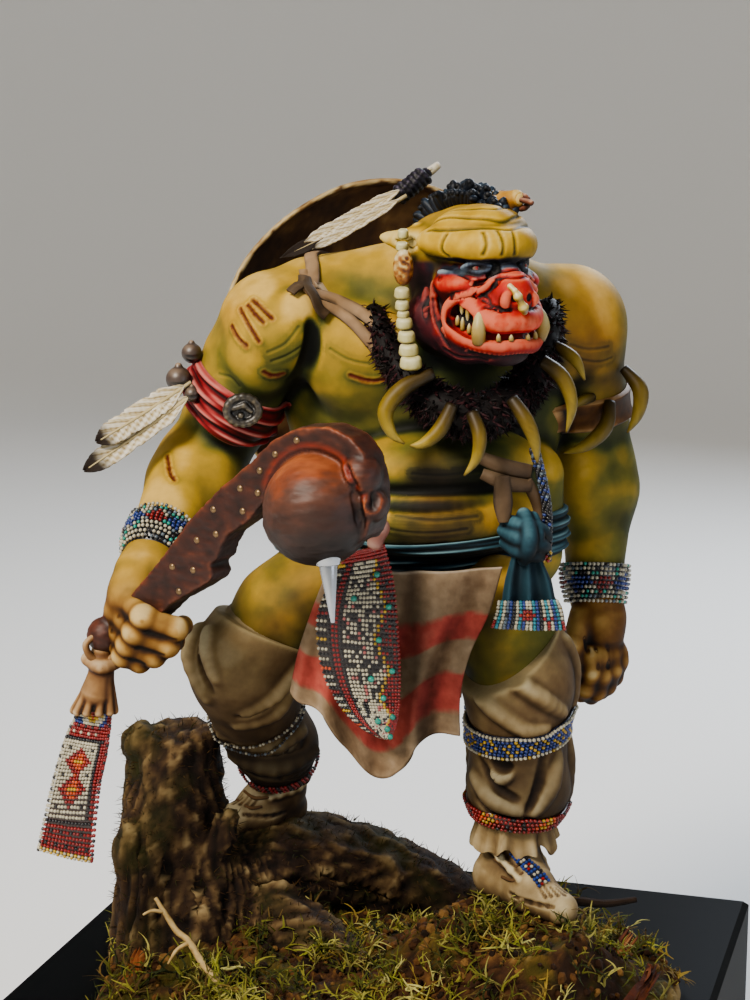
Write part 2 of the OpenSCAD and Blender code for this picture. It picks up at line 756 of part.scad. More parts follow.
module breechcloth_front() color("#9a6f55") figure() difference() {
    cloth(-9.4, 0.5, front_outline);
    torso_form(glue_gap);
    right_leg_form(glue_gap);
    left_leg_form(glue_gap);
}

module breechcloth_rear() color("#9a6f55") figure() difference() {
    cloth(11.6, 0.5, [[-1, 45.4], [11, 45.4], [10.4, 36], [9.6, 28], [4, 26.4], [-1.4, 28],
        [-2, 36]]);
    torso_form(glue_gap);
    right_leg_form(glue_gap);
    left_leg_form(glue_gap);
}

sheath_outline = [[-2.6, 47.4], [2.4, 48.6], [3.6, 40], [3.4, 31.6], [2, 30.6],
    [-1.4, 34.6], [-3.2, 39]];

module knife_sheath() color("#c9c4b4") figure() translate([0, -12.2, 0]) rotate([90, 0, 0])
    linear_extrude(height = 0.9, center = true) polygon(sheath_outline);

module knife_hilt() color("#b98a7c") figure() aimed([0.4, -12.2, 48.6], [1, -12, 51])
    cylinder(r = 0.7, h = 2.6, $fn = 32);

module right_legging() color("#7d5d3c") figure() difference() {
    right_legging_form();
    right_leg_form(glue_gap);
    moccasin_form(r_toe, r_heel, r_ankle, glue_gap);
}

module left_legging() color("#8a6a45") figure() difference() {
    left_legging_form();
    left_leg_form(glue_gap);
    moccasin_form(l_toe, l_heel, l_ankle, glue_gap);
}

module right_garter() color("#8f8a80") figure()
    band_on([-11, 3.2, 28.4], [-10.4, 4.4, 26.4], 1) {
        right_legging_form(0.35);
        right_legging_form(glue_gap);
    }

module left_garter() color("#31509a") figure()
    band_on([15, -3.8, 29], [15.1, -3.4, 27], 2.8) {
        left_legging_form(0.5);
        left_legging_form(glue_gap);
    }

module ankle_bands() color("#a3302a") figure() {
    band_on([-9.4, 6.8, 22.2], [-9, 7.6, 20.6], 1) {
        right_legging_form(0.35);
        right_legging_form(glue_gap);
    }
    band_on([14.7, -1.9, 18.2], [14.6, -1.8, 17.2], 1.3) {
        left_legging_form(0.4);
        left_legging_form(glue_gap);
    }
}

module shod(toe, heel, ankle) difference() {
    moccasin_form(toe, heel, ankle);
    translate(xyz(between(toe, heel, 0.7)))
        cylinder(r = pin_r + glue_gap, h = pin_depth, center = true, $fn = 32);
}

module right_moccasin() color("#8a7a5c") figure() shod(r_toe, r_heel, r_ankle);

module left_moccasin() color("#8a7a5c") figure() shod(l_toe, l_heel, l_ankle);

module foot_pins() color("#b9bcc0") figure()
    for (foot = [[l_toe, l_heel], [r_toe, r_heel]])
        translate(xyz(between(foot[0], foot[1], 0.7)))
            cylinder(r = pin_r, h = pin_depth - glue_gap, center = true, $fn = 32);

module war_club() color("#6e3423") figure() difference() {
    club_form();
    spike_form(glue_gap);
    translate(xyz(club_ball) + [-5.4, 3, -0.4]) rotate([0, -40, -20])
        cube([3, 4, 3.4], center = true);
}

module spike_form(grow = 0) aimed([-3.6, -28, 52], [-2.6, -29.4, 46])
    cylinder(r1 = 0.9 + grow, r2 = 0.2 + grow, h = 6 + grow, $fn = 32);

module club_spike() color("#b9bcc0") figure() spike_form();

module club_tacks() color("#b58a3a") figure() difference() {
    for (i = [0 : 5]) {
        p = between(club_grip, club_neck, 0.16 + i * 0.14);
        translate(xyz(p) + [-0.3, -p[3] - 0.05, 0.6]) sphere(r = 0.42, $fn = 24);
    }
    club_form(glue_gap);
}

module thong_loop() color("#8a4a30") figure() difference() {
    aimed([-24.6, -13, 39], [-25.1, -13, 37]) rotate_extrude($fn = 48)
        translate([0.9, 0]) circle(r = 0.42, $fn = 24);
    club_form(glue_gap);
    collar_cap(glue_gap);
}

module collar_cap(grow = 0) translate(drop_top) rotate([0, 13, 0]) translate([0, 0, -3])
    cylinder(r1 = 2.1 + grow, r2 = 1 + grow, h = 3.6 + grow, $fn = 32);

module drop_collar() color("#9a7650") figure() collar_cap();

module bead_drop() color("#b8a9a0") figure() translate(drop_top) rotate([0, 13, 0])
    translate([0, 0, -3 - glue_gap]) rotate([90, 0, 0])
        linear_extrude(height = 1.3, center = true)
            polygon([[-1.5, 0], [1.5, 0], [2.8, -15], [-2.8, -15]]);

plinth();
groundwork();
driftwood();
moss_tufts();
lichen_tufts();
bark_pieces();
pale_twig();
torso();
head();
right_arm();
left_arm();
right_hand();
left_hand();
right_leg();
left_leg();
hair_crest();
ear_plug();
tusks();
nose_ornament();
crest_feathers();
feather_wrap();
bone_bead_drop();
necklace_collar();
necklace_claws();
chest_straps();
strap_toggle();
bead_cord();
shield();
shield_pin();
right_armband();
armband_brooch();
armband_bells();
armband_feathers();
left_armband();
left_armband_claws();
right_cuff();
left_cuff();
sash();
sash_knot();
sash_tail();
sash_tail_beadwork();
breechcloth_front();
breechcloth_rear();
knife_sheath();
knife_hilt();
right_legging();
left_legging();
right_garter();
left_garter();
ankle_bands();
right_moccasin();
left_moccasin();
war_club();
club_spike();
club_tacks();
thong_loop();
drop_collar();
bead_drop();
foot_pins();
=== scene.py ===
# %% [markdown]
# # A painted display miniature: the looks
# The real object is a small cast figure: putty masters are sculpted, cast, glued, primed and then
# painted by hand with thin acrylics. This notebook works the same way. Each piece is roughed out
# from simple masses, blended like putty, cut with creases, and then painted point by point with a
# dark wash in the hollows as painted shade and a pale drybrush on proud forms as painted
# highlight.

# %% Load the imported frame
import math
import random

import bmesh
import bpy
import numpy as np
from mathutils import Matrix, Vector, noise
from mathutils.bvhtree import BVHTree


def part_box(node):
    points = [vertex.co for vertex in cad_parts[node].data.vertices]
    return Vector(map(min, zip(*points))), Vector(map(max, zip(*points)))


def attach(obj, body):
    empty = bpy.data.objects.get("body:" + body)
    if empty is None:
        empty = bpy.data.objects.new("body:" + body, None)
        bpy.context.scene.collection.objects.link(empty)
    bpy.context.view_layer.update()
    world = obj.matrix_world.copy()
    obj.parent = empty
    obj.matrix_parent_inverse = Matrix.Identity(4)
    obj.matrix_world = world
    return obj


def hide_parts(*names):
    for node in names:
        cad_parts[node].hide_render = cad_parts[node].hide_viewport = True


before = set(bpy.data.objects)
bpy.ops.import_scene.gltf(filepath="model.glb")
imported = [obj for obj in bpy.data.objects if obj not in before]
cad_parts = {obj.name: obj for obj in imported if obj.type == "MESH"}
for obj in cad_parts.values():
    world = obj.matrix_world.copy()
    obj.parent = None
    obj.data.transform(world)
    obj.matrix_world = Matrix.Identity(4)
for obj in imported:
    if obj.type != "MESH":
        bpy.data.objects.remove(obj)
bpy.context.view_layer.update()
print("nodes in the frame:", len(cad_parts))

# %% [markdown]
# ## One frame for the sculptor
# A sculptor turns the figure to face them and works in millimetres from the top of the plinth.
# Everything below is written that way, and one matrix carries a finished piece into the frame:
# scaled to metres, turned by the angle at which the figure stands on its plinth, and lifted.

# %% The sculptor's frame
MM = 0.001
FIGURE_TURN = math.radians(16.8)
plinth_low, plinth_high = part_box("plinth")
TO_ROW = (Matrix.Translation((0, 0, plinth_high.z)) @ Matrix.Rotation(FIGURE_TURN, 4, "Z")
          @ Matrix.Scale(MM, 4))
FINE = 1.0
FULL_TURN, RIPPLE, HALF_RIPPLE = 6.2832, 6.28, 3.14
print("plinth top at", round(plinth_high.z / MM, 1), "mm; figure turned",
      round(math.degrees(FIGURE_TURN), 1), "degrees")

# %% [markdown]
# ## Colours and nodes
# Paint is chosen from hex values, which are gamma-coded, so one function turns them linear.
# One more function adds a shader node with its settings and links, and every material uses it.

# %% Colour and node helpers
def linear(hex_colour):
    """sRGB hex to a linear colour with alpha."""
    parts = [int(hex_colour[i:i + 2], 16) / 255 for i in (1, 3, 5)]
    return [c / 12.92 if c <= 0.04045 else ((c + 0.055) / 1.055) ** 2.4 for c in parts] + [1.0]


def rgb(hex_colour):
    """The same colour as an array of three, for painting points."""
    return np.array(linear(hex_colour)[:3])


def add(tree, kind, links=(), **settings):
    """Adds a node. Settings name a property or an input; links pair an input with an output."""
    node = tree.nodes.new(kind)
    for key, value in settings.items():
        name = key.replace("_", " ")
        if hasattr(node, key):
            setattr(node, key, value)
        else:
            node.inputs[name if name in node.inputs else name.title()].default_value = value
    for socket, output in links:
        tree.links.new(node.inputs[socket], output)
    return node

# %% [markdown]
# ## Putty: masses that blend
# Sculptors build a body from balls and sausages of putty and smooth the joins. Here a mass knows
# how far any point is from its surface. Masses join with a soft minimum, which fills the corner
# between them as a thumb would, and a crease is a mass taken away with a soft edge. The masses are
# first made as plain bmesh solids and voxel remeshed into one skin, and then each point of the
# skin slides onto the blended surface, which gives rounder joins than any remesh alone.

# %% Masses
def rod(a, b, soft=None):
    """A sausage from [x, y, z, radius] to [x, y, z, radius]."""
    a, b = np.array(a, float), np.array(b, float)
    return {"kind": "rod", "a": a, "b": b, "at": (a[:3] + b[:3]) / 2, "soft": soft,
            "reach": np.linalg.norm(a[:3] - b[:3]) / 2 + max(a[3], b[3])}


def ball(x, y, z, r, soft=None):
    return rod([x, y, z, r], [x, y, z + 0.001, r], soft)


def lump(at, size, turn=(0, 0, 0), soft=None):
    """An egg with three radii, turned by degrees about X, Y and Z."""
    spin = Matrix.Rotation(math.radians(turn[2]), 3, "Z") @ \
        Matrix.Rotation(math.radians(turn[1]), 3, "Y") @ \
        Matrix.Rotation(math.radians(turn[0]), 3, "X")
    return {"kind": "lump", "at": np.array(at, float), "size": np.array(size, float),
            "spin": np.array(spin), "reach": max(size), "soft": soft}


def half(at, way):
    """Everything beyond a plane, for trimming an edge straight."""
    way = np.array(way, float)
    return {"kind": "half", "at": np.array(at, float), "way": way / np.linalg.norm(way),
            "reach": 1000, "soft": 0.25, "away": True}


def line(points, soft=None):
    """Sausages through a list of [x, y, z, radius]."""
    return [rod(a, b, soft) for a, b in zip(points, points[1:])]


def cut(forms, soft=0.25):
    """The same masses, to be taken away."""
    forms = forms if isinstance(forms, list) else [forms]
    return [dict(f, kind=f["kind"], away=True, soft=soft) for f in forms]


def curve(points, steps=6):
    """Smooth [x, y, z, radius] points through the given ones, by Catmull and Rom's rule."""
    p = np.array([points[0]] + list(points) + [points[-1]], float)
    out = []
    for i in range(1, len(p) - 2):
        for t in np.linspace(0, 1, steps, endpoint=False):
            a, b, c, d = p[i - 1:i + 3]
            out.append(0.5 * (2 * b + (c - a) * t + (2 * a - 5 * b + 4 * c - d) * t ** 2
                              + (3 * b - a - 3 * c + d) * t ** 3))
    return out + [p[-2]]


def groove(points, soft=0.25, steps=6):
    """A crease along a smooth curve."""
    return cut(line(curve(points, steps)), soft)


def distance(form, p):
    if form["kind"] == "rod":
        a, b = form["a"], form["b"]
        way = b[:3] - a[:3]
        t = np.clip((p - a[:3]) @ way / (way @ way), 0, 1)
        return np.linalg.norm(p - a[:3] - t[:, None] * way, axis=1) - (a[3] + t * (b[3] - a[3]))
    if form["kind"] == "half":
        return (form["at"] - p) @ form["way"]
    q = (p - form["at"]) @ form["spin"]
    k0 = np.linalg.norm(q / form["size"], axis=1) + 1e-9
    k1 = np.linalg.norm(q / form["size"] ** 2, axis=1) + 1e-9
    return k0 * (k0 - 1) / k1


def blended(forms, p, soft, near):
    """Distance from each point to the blended surface, with creases taken away."""
    d = np.full(len(p), 50.0)
    for form, ids in zip(forms, near):
        if len(ids) == 0:
            continue
        e, old = distance(form, p[ids]), d[ids]
        k = form["soft"] or soft
        if form.get("away"):
            h = np.clip(0.5 - 0.5 * (old + e) / k, 0, 1)
            d[ids] = old * (1 - h) - e * h + k * h * (1 - h)
        else:
            h = np.clip(0.5 + 0.5 * (old - e) / k, 0, 1)
            d[ids] = old * (1 - h) + e * h - k * h * (1 - h)
    return d


# %% From masses to a skin
def rough_solid(bm, form, grow):
    """The plain solid of one mass, added to a bmesh."""
    if form["kind"] == "lump":
        size = form["size"] + grow
        place = Matrix.Translation(form["at"]) @ Matrix(form["spin"].tolist()).to_4x4() \
            @ Matrix.Diagonal((*size, 1))
        bmesh.ops.create_icosphere(bm, subdivisions=3, radius=1, matrix=place)
        return
    a, b = form["a"], form["b"]
    broad = max(a[3], b[3]) > 0.9
    for end in (a, b):
        bmesh.ops.create_icosphere(bm, subdivisions=3 if broad else 1, radius=end[3] + grow,
                                   matrix=Matrix.Translation(end[:3]))
    way = Vector(b[:3] - a[:3])
    if way.length > 0.01:
        turn = way.to_track_quat("Z", "Y").to_matrix().to_4x4()
        bmesh.ops.create_cone(bm, cap_ends=True, segments=20 if broad else 8, radius1=a[3] + grow,
                              radius2=b[3] + grow, depth=way.length,
                              matrix=Matrix.Translation((a[:3] + b[:3]) / 2) @ turn)


def points_of(mesh):
    co = np.empty(len(mesh.vertices) * 3)
    mesh.vertices.foreach_get("co", co)
    return co.reshape(-1, 3)


def normals_of(mesh):
    no = np.empty(len(mesh.vertices) * 3)
    mesh.vertices.foreach_get("normal", no)
    return no.reshape(-1, 3)


def put_points(mesh, co):
    mesh.vertices.foreach_set("co", co.ravel())
    mesh.update()


def edges_of(mesh):
    e = np.empty(len(mesh.edges) * 2, dtype=np.int32)
    mesh.edges.foreach_get("vertices", e)
    return e.reshape(-1, 2)


def averaged(values, edges, rounds):
    """Values spread to neighbouring points a number of times."""
    n = len(values)
    count = np.bincount(edges.ravel(), minlength=n).clip(1)[:, None]
    v = values.reshape(n, -1)
    for _ in range(rounds):
        total = np.stack([np.bincount(edges[:, 0], v[edges[:, 1], i], n)
                          + np.bincount(edges[:, 1], v[edges[:, 0], i], n)
                          for i in range(v.shape[1])], axis=1)
        v = total / count
    return v.reshape(values.shape)


CORNERS = np.array([[1, -1, -1], [-1, -1, 1], [-1, 1, -1], [1, 1, 1]], float)


def settle(mesh, forms, soft, passes=4, step=0.02):
    """Slides each point onto the blended surface."""
    co = points_of(mesh)
    reaches = [f["reach"] + (f["soft"] or soft) + 2 for f in forms]
    near = [np.flatnonzero(((co - f["at"]) ** 2).sum(1) < reach ** 2)
            for f, reach in zip(forms, reaches)]
    edges = edges_of(mesh)
    for k in range(passes):
        sides = [blended(forms, co + c * step, soft, near) for c in CORNERS]
        slope = sum(s[:, None] * c for s, c in zip(sides, CORNERS)) / (4 * step)
        slope /= np.linalg.norm(slope, axis=1)[:, None].clip(1e-6)
        co = co - slope * np.clip(sum(sides) / 4, -0.8, 0.8)[:, None]
        if k < passes - 1:
            drift = averaged(co, edges, 1) - co
            co = co + 0.5 * (drift - slope * (drift * slope).sum(1)[:, None])
    put_points(mesh, co)


def onto(forms, points, soft=1.0):
    """Moves [x, y, z, radius] points along the slope until they lie on the blended surface."""
    p = np.array(points, float)
    everything = [np.arange(len(p))] * len(forms)
    co = p[:, :3].copy()
    for _ in range(12):
        sides = [blended(forms, co + c * 0.02, soft, everything) for c in CORNERS]
        slope = sum(s[:, None] * c for s, c in zip(sides, CORNERS)) / 0.08
        slope /= np.linalg.norm(slope, axis=1)[:, None].clip(1e-6)
        co = co - slope * np.clip(sum(sides) / 4, -0.8, 0.8)[:, None]
    return [[*c, r] for c, r in zip(co, p[:, 3])]


def putty(forms, soft=1.0, voxel=0.3, grow=0.1):
    """A closed skin over blended masses, in the sculptor's millimetres."""
    bm = bmesh.new()
    for form in forms:
        if not form.get("away"):
            rough_solid(bm, form, grow)
    mesh = bpy.data.meshes.new("rough")
    bm.to_mesh(mesh)
    bm.free()
    rough = bpy.data.objects.new("rough", mesh)
    bpy.context.collection.objects.link(rough)
    skin = rough.modifiers.new("skin", "REMESH")
    skin.mode, skin.voxel_size = "VOXEL", voxel * FINE
    dg = bpy.context.evaluated_depsgraph_get()
    out = bpy.data.meshes.new_from_object(rough.evaluated_get(dg))
    bpy.data.objects.remove(rough)
    bpy.data.meshes.remove(mesh)
    settle(out, forms, soft)
    return out


# %% [markdown]
# ## Brushwork
# A figure painter shades with a dark wash, which pools where the surface is hollow. Then they
# drybrush light paint onto what stands proud, and glaze the top of each form as if lit from
# above. All three can be measured on the mesh: how far a point stands above its neighbours, and
# how far it faces up. The colour is kept at the points, in an attribute that the material reads.

# %% Painting by shape
PAINT_DEPTH = 0.62
PAINT_STRENGTH = 1.24


def mix(a, b, t):
    t = np.clip(t, 0, 1)
    t = t[:, None] if np.ndim(t) else t
    return a * (1 - t) + b * t


def ramp(t, stops):
    """Colour along a list of (place, colour) stops."""
    places, colours = [s[0] for s in stops], np.array([rgb(s[1]) for s in stops])
    return np.stack([np.interp(t, places, colours[:, i]) for i in range(3)], axis=1)


def proud(mesh, rounds):
    """How far each point stands above its neighbourhood, in millimetres."""
    co = points_of(mesh)
    return ((co - averaged(co, edges_of(mesh), rounds)) * normals_of(mesh)).sum(1)


def cloudy(co, size, seed=0, octaves=3):
    """Soft noise from -1 to 1 with a given blotch size in millimetres."""
    return np.array([noise.fractal(Vector(p) / size + Vector((seed * 7.3, seed, 0)), 1.0, 2.0,
                                   octaves) for p in co.tolist()])


def patch(co, at, r, edge=0.5):
    """1 inside a ball, fading to 0 over a share of its radius."""
    d = np.linalg.norm(co - np.array(at, float), axis=1) / r
    return np.clip((1 - d) / edge, 0, 1)


def lit(mesh):
    """Light from above and in front of the sculptor's left hand, as painters paint it."""
    n = normals_of(mesh)
    return n @ (np.array([-0.28, -0.5, 0.82]) / np.linalg.norm([-0.28, -0.5, 0.82]))


def store_paint(mesh, colours):
    """Keeps colours at the points, a little deeper and stronger, as paint dries."""
    grey = colours @ np.array([0.3, 0.6, 0.1])
    colours = PAINT_DEPTH * (grey[:, None] + (colours - grey[:, None]) * PAINT_STRENGTH)
    if "paint" in mesh.color_attributes:
        mesh.color_attributes.remove(mesh.color_attributes["paint"])
    layer = mesh.color_attributes.new("paint", "FLOAT_COLOR", "POINT")
    layer.data.foreach_set("color", np.hstack([colours.clip(0, 1),
                                               np.ones((len(colours), 1))]).ravel())


def brushed(mesh, stops, relief_shading=3.0, light=0.42, blotch=0.0, size=3.0, seed=1, rounds=(3, 14),
            base=0.5):
    """Base coat, wash and drybrush from one ramp of colours, dark to light: painted shade in the
    hollows, painted highlight on what stands proud and on faces turned to the light.
    """
    fine, broad = (proud(mesh, max(1, round(r / FINE))) for r in rounds)
    fine, broad = fine - np.median(fine), broad - np.median(broad)
    t = base + light * lit(mesh) + relief_shading * fine + relief_shading * 0.6 * broad
    if blotch:
        t = t + blotch * cloudy(points_of(mesh), size, seed)
    return ramp(t, stops)


# %% Placing a finished piece
def placed(name, mesh, material, nodes=(), smooth=True):
    """Carries a mesh from the sculptor's frame into the row's, and says what it stands for."""
    mesh.name = name
    mesh.transform(TO_ROW)
    if smooth:
        mesh.shade_smooth()
    mesh.materials.clear()
    mesh.materials.append(material)
    obj = bpy.data.objects.new(name, mesh)
    bpy.context.collection.objects.link(obj)
    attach(obj, "root")
    if nodes:
        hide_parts(*nodes)
    print(f"{name}: {len(mesh.polygons)} faces")
    return obj


def from_bmesh(bm):
    mesh = bpy.data.meshes.new("made")
    bm.to_mesh(mesh)
    bm.free()
    return mesh


def joined(meshes):
    """Several meshes as one, their paint kept."""
    colours = []
    for m in meshes:
        if "paint" not in m.color_attributes:
            store_paint(m, np.ones((len(m.vertices), 3)))
        c = np.empty(len(m.vertices) * 4)
        m.color_attributes["paint"].data.foreach_get("color", c)
        colours.append(c.reshape(-1, 4))
    bm = bmesh.new()
    for m in meshes:
        bm.from_mesh(m)
    out = from_bmesh(bm)
    if "paint" in out.color_attributes:
        out.color_attributes.remove(out.color_attributes["paint"])
    layer = out.color_attributes.new("paint", "FLOAT_COLOR", "POINT")
    layer.data.foreach_set("color", np.vstack(colours).ravel())
    return out


# %% [markdown]
# ## Acrylic paint
# Model acrylics are pigment in a matt medium, put on in thin coats over a primed casting. The eye
# sees a nearly matt skin with a faint sheen, tiny brush strokes, and colour that shifts a little
# from stroke to stroke. The material reads the painted points, breaks them up with two noises, and
# adds a shallow bump of brush marks about a tenth of a millimetre apart.

# %% Acrylic paint material
def acrylic(name, roughness=0.66, sheen=0.2, mottle=0.16, stroke_mm=0.35, relief=0.05,
            stretch=(1, 1, 1), colour=None, coat=0.0, metallic=0.0):
    mat = bpy.data.materials.new(name)
    mat.use_nodes = True
    tree = mat.node_tree
    tree.nodes.clear()
    where = add(tree, "ShaderNodeTexCoord")
    spread = add(tree, "ShaderNodeMapping", [("Vector", where.outputs["Object"])],
                 Scale=[s / (stroke_mm * MM) / 3 for s in stretch])
    strokes = add(tree, "ShaderNodeTexNoise", [("Vector", spread.outputs[0])], Scale=1.0,
                  Detail=6.0, Roughness=0.65)
    blots = add(tree, "ShaderNodeTexNoise", [("Vector", where.outputs["Object"])],
                Scale=1 / (2.4 * MM), Detail=3.0, Roughness=0.6)
    both = add(tree, "ShaderNodeMath", [(0, strokes.outputs["Fac"]), (1, blots.outputs["Fac"])],
               operation="ADD")
    shade = add(tree, "ShaderNodeMapRange", [("Value", both.outputs[0])])
    shade.inputs["From Min"].default_value, shade.inputs["From Max"].default_value = 0.6, 1.4
    shade.inputs["To Min"].default_value, shade.inputs["To Max"].default_value = \
        1 - mottle, 1 + mottle
    if colour is None:
        base = add(tree, "ShaderNodeAttribute", attribute_name="paint").outputs["Color"]
    else:
        tint = add(tree, "ShaderNodeMix", data_type="RGBA")
        tint.inputs[0].default_value = 0.0
        tint.inputs[6].default_value = linear(colour)
        base = tint.outputs[2]
    tinted = add(tree, "ShaderNodeVectorMath", [(0, base), ("Scale", shade.outputs[0])],
                 operation="SCALE")
    bump = add(tree, "ShaderNodeBump", [("Height", strokes.outputs["Fac"])], Strength=0.6,
               Distance=relief * MM)
    shader = add(tree, "ShaderNodeBsdfPrincipled",
                 [("Base Color", tinted.outputs[0]), ("Normal", bump.outputs[0])],
                 Roughness=roughness, Metallic=metallic)
    shader.inputs["Specular IOR Level"].default_value = sheen
    shader.inputs["Coat Weight"].default_value = coat
    shader.inputs["Coat Roughness"].default_value = 0.25
    out = add(tree, "ShaderNodeOutputMaterial", [("Surface", shader.outputs[0])])
    return mat

# %% [markdown]
# ## Thin castings, bands and beads
# Cloth, straps and bands on a miniature are thin sheets of resin laid over the body. Each is a
# bmesh sheet through rows of points, given thickness and then settled on the skin below with a
# ray or a nearest-point search. Beads, fur and moss are one small shape repeated many times.

# %% Sheets, bands and ribbons
def tree_of(mesh):
    return BVHTree.FromPolygons([v.co for v in mesh.vertices],
                                [p.vertices[:] for p in mesh.polygons])


def sheet(rows, closed=False, thick=0.0, ease=0.0):
    """A sheet through rows of points; a closed one joins the ends of each row."""
    bm = bmesh.new()
    rings = [[bm.verts.new(p) for p in row] for row in rows]
    count = len(rows[0])
    for a, b in zip(rings, rings[1:]):
        for k in range(count if closed else count - 1):
            j = (k + 1) % count
            bm.faces.new((a[k], a[j], b[j], b[k]))
    bmesh.ops.recalc_face_normals(bm, faces=bm.faces)
    if thick:
        bmesh.ops.solidify(bm, geom=bm.faces[:], thickness=thick)
        bmesh.ops.recalc_face_normals(bm, faces=bm.faces)
    if ease:
        sharp = [e for e in bm.edges if len(e.link_faces) == 2 and e.calc_face_angle() > 1.0]
        bmesh.ops.bevel(bm, geom=sharp, offset=ease, affect="EDGES", segments=2, profile=0.5,
                        material=-1, clamp_overlap=True)
    return from_bmesh(bm)


def around(tree, a, b, share, lift, count=72, reach=9.0):
    """A ring of points on a limb's skin, at a share of the way along its axis."""
    a, b = Vector(a[:3]), Vector(b[:3])
    axis = (b - a).normalized()
    side = axis.cross(Vector((0.13, 1, 0.05))).normalized()
    up = axis.cross(side)
    centre = a.lerp(b, share)
    gaps = []
    for k in range(count):
        t = 2 * math.pi * k / count
        out = side * math.cos(t) + up * math.sin(t)
        hit = tree.ray_cast(centre, out, reach)[0]
        gaps.append((hit - centre).length if hit else reach * 0.6)
    gaps = [(gaps[k - 1] + 2 * gaps[k] + gaps[(k + 1) % count]) / 4 for k in range(count)]
    return [centre + (side * math.cos(2 * math.pi * k / count)
                      + up * math.sin(2 * math.pi * k / count)) * (gaps[k] + lift)
            for k in range(count)]


def band(tree, a, b, shares, lifts, thick=0.3, count=72, ease=0.08, reach=9.0):
    """A band round a limb, with its own lift for each ring of points."""
    return sheet([around(tree, a, b, s, h, count, reach) for s, h in zip(shares, lifts)],
                 closed=True, thick=thick, ease=ease)


def smoothed(points, rounds=3):
    """A row of points with kinks eased out and its ends kept."""
    points = np.array(points, float)
    for _ in range(rounds):
        points[1:-1] = (points[:-2] + 2 * points[1:-1] + points[2:]) / 4
    return points


def ribbon(points, thick=0.3, tree=None, lift=0.15, facing=(0, -1, 0.2), steps=8, across=5,
           crown=0.0, ease=0.06):
    """A strap through [x, y, z, width] points, laid on a skin if one is given."""
    path = curve(points, steps)
    rows = []
    spots = [Vector(p[:3]) for p in path]
    ups = [Vector(facing).normalized()] * len(path)
    if tree:
        for i, spot in enumerate(spots):
            at, normal = tree.find_nearest(spot)[:2]
            spots[i], ups[i] = at + normal * lift, normal
        spots = [Vector(p) for p in smoothed([s[:] for s in spots])]
        ups = [Vector(p) for p in smoothed([s[:] for s in ups])]
    for i, p in enumerate(path):
        ahead = spots[min(i + 1, len(spots) - 1)] - spots[max(i - 1, 0)]
        side = ahead.cross(ups[i]).normalized()
        rows.append([spots[i] + side * (p[3] * t / 2) + ups[i] * crown * (1 - t * t)
                     for t in np.linspace(-1, 1, across)])
    return sheet(rows, thick=thick, ease=ease)


def tube(points, steps=5, sides=10):
    """A smooth tapered tube through [x, y, z, radius] points."""
    bm = bmesh.new()
    rings = []
    path = curve(points, steps)
    for i, p in enumerate(path):
        ahead = path[min(i + 1, len(path) - 1)][:3] - path[max(i - 1, 0)][:3]
        turn = Vector(ahead).to_track_quat("Z", "Y").to_matrix().to_4x4()
        rings.append(bmesh.ops.create_circle(bm, cap_ends=i in (0, len(path) - 1), segments=sides,
                                             radius=max(p[3], 0.02),
                                             matrix=Matrix.Translation(p[:3]) @ turn)["verts"])
    for a, b in zip(rings, rings[1:]):
        bmesh.ops.bridge_loops(bm, edges=[e for ring in (a, b) for e in
                                          {e for v in ring for e in v.link_edges
                                           if e.other_vert(v) in ring}])
    bmesh.ops.recalc_face_normals(bm, faces=bm.faces)
    return from_bmesh(bm)


# %% Small shapes repeated
def template(make, **settings):
    """Points and faces of a small bmesh shape."""
    bm = bmesh.new()
    make(bm, **settings)
    shape = (np.array([v.co for v in bm.verts]), [[v.index for v in f.verts] for f in bm.faces])
    bm.free()
    return shape


def facing_matrices(ways, spins):
    """Turns that carry +Z onto each way, spun about it."""
    out = np.empty((len(ways), 3, 3))
    for i, (way, spin) in enumerate(zip(ways, spins)):
        turn = Vector(way).to_track_quat("Z", "Y").to_matrix() @ Matrix.Rotation(spin, 3, "Z")
        out[i] = np.array(turn)
    return out


def scattered(shape, places, sizes, colours, ways=None, spins=None, fade=None):
    """Copies of a small shape in one mesh; fade is (colour, how far along +Z it takes over)."""
    points, faces = shape
    places, colours = np.array(places, float), np.array(colours, float)
    sizes = np.array(sizes, float).reshape(len(places), -1)
    body = points[None] * sizes[:, None, :]
    if ways is not None:
        spins = spins if spins is not None else np.zeros(len(places))
        body = np.einsum("nij,npj->npi", facing_matrices(ways, spins), body)
    co = (body + places[:, None, :]).reshape(-1, 3)
    mesh = bpy.data.meshes.new("scattered")
    count = len(points)
    mesh.from_pydata(co.tolist(), [], [[v + i * count for v in f] for i in range(len(places))
                                       for f in faces])
    tint = np.repeat(colours[:, None, :], count, axis=1)
    if fade is not None:
        along = np.clip(points[:, 2] / points[:, 2].max(), 0, 1)[None, :, None] ** fade[1]
        tint = tint * (1 - along) + tint * along * fade[0]
    store_paint(mesh, tint.reshape(-1, 3))
    return mesh


BEAD = template(bmesh.ops.create_icosphere, subdivisions=1, radius=1)


def blade_shape(bend=0.35, sides=4, levels=(0, 0.45, 1), widths=(1, 0.8, 0.06)):
    """A hair, twig or stalk of moss: a thin cone one unit long that bends over."""
    points, faces = [], []
    for z, w in zip(levels, widths):
        points += [[w * math.cos(2 * math.pi * k / sides) + bend * z * z * 8,
                    w * math.sin(2 * math.pi * k / sides), z] for k in range(sides)]
    for i in range(len(levels) - 1):
        faces += [[i * sides + k, i * sides + (k + 1) % sides, (i + 1) * sides + (k + 1) % sides,
                   (i + 1) * sides + k] for k in range(sides)]
    return np.array(points, float), faces


BLADE = blade_shape()
BEAD_COLOURS = {"w": "#d8d2bc", "k": "#16141a", "b": "#2b3f86", "c": "#3f8fa0", "r": "#8e1c1a",
                "o": "#cf5c22", "y": "#d8b23c", "t": "#3fa392", "g": "#6c7a86", "p": "#b06a68"}


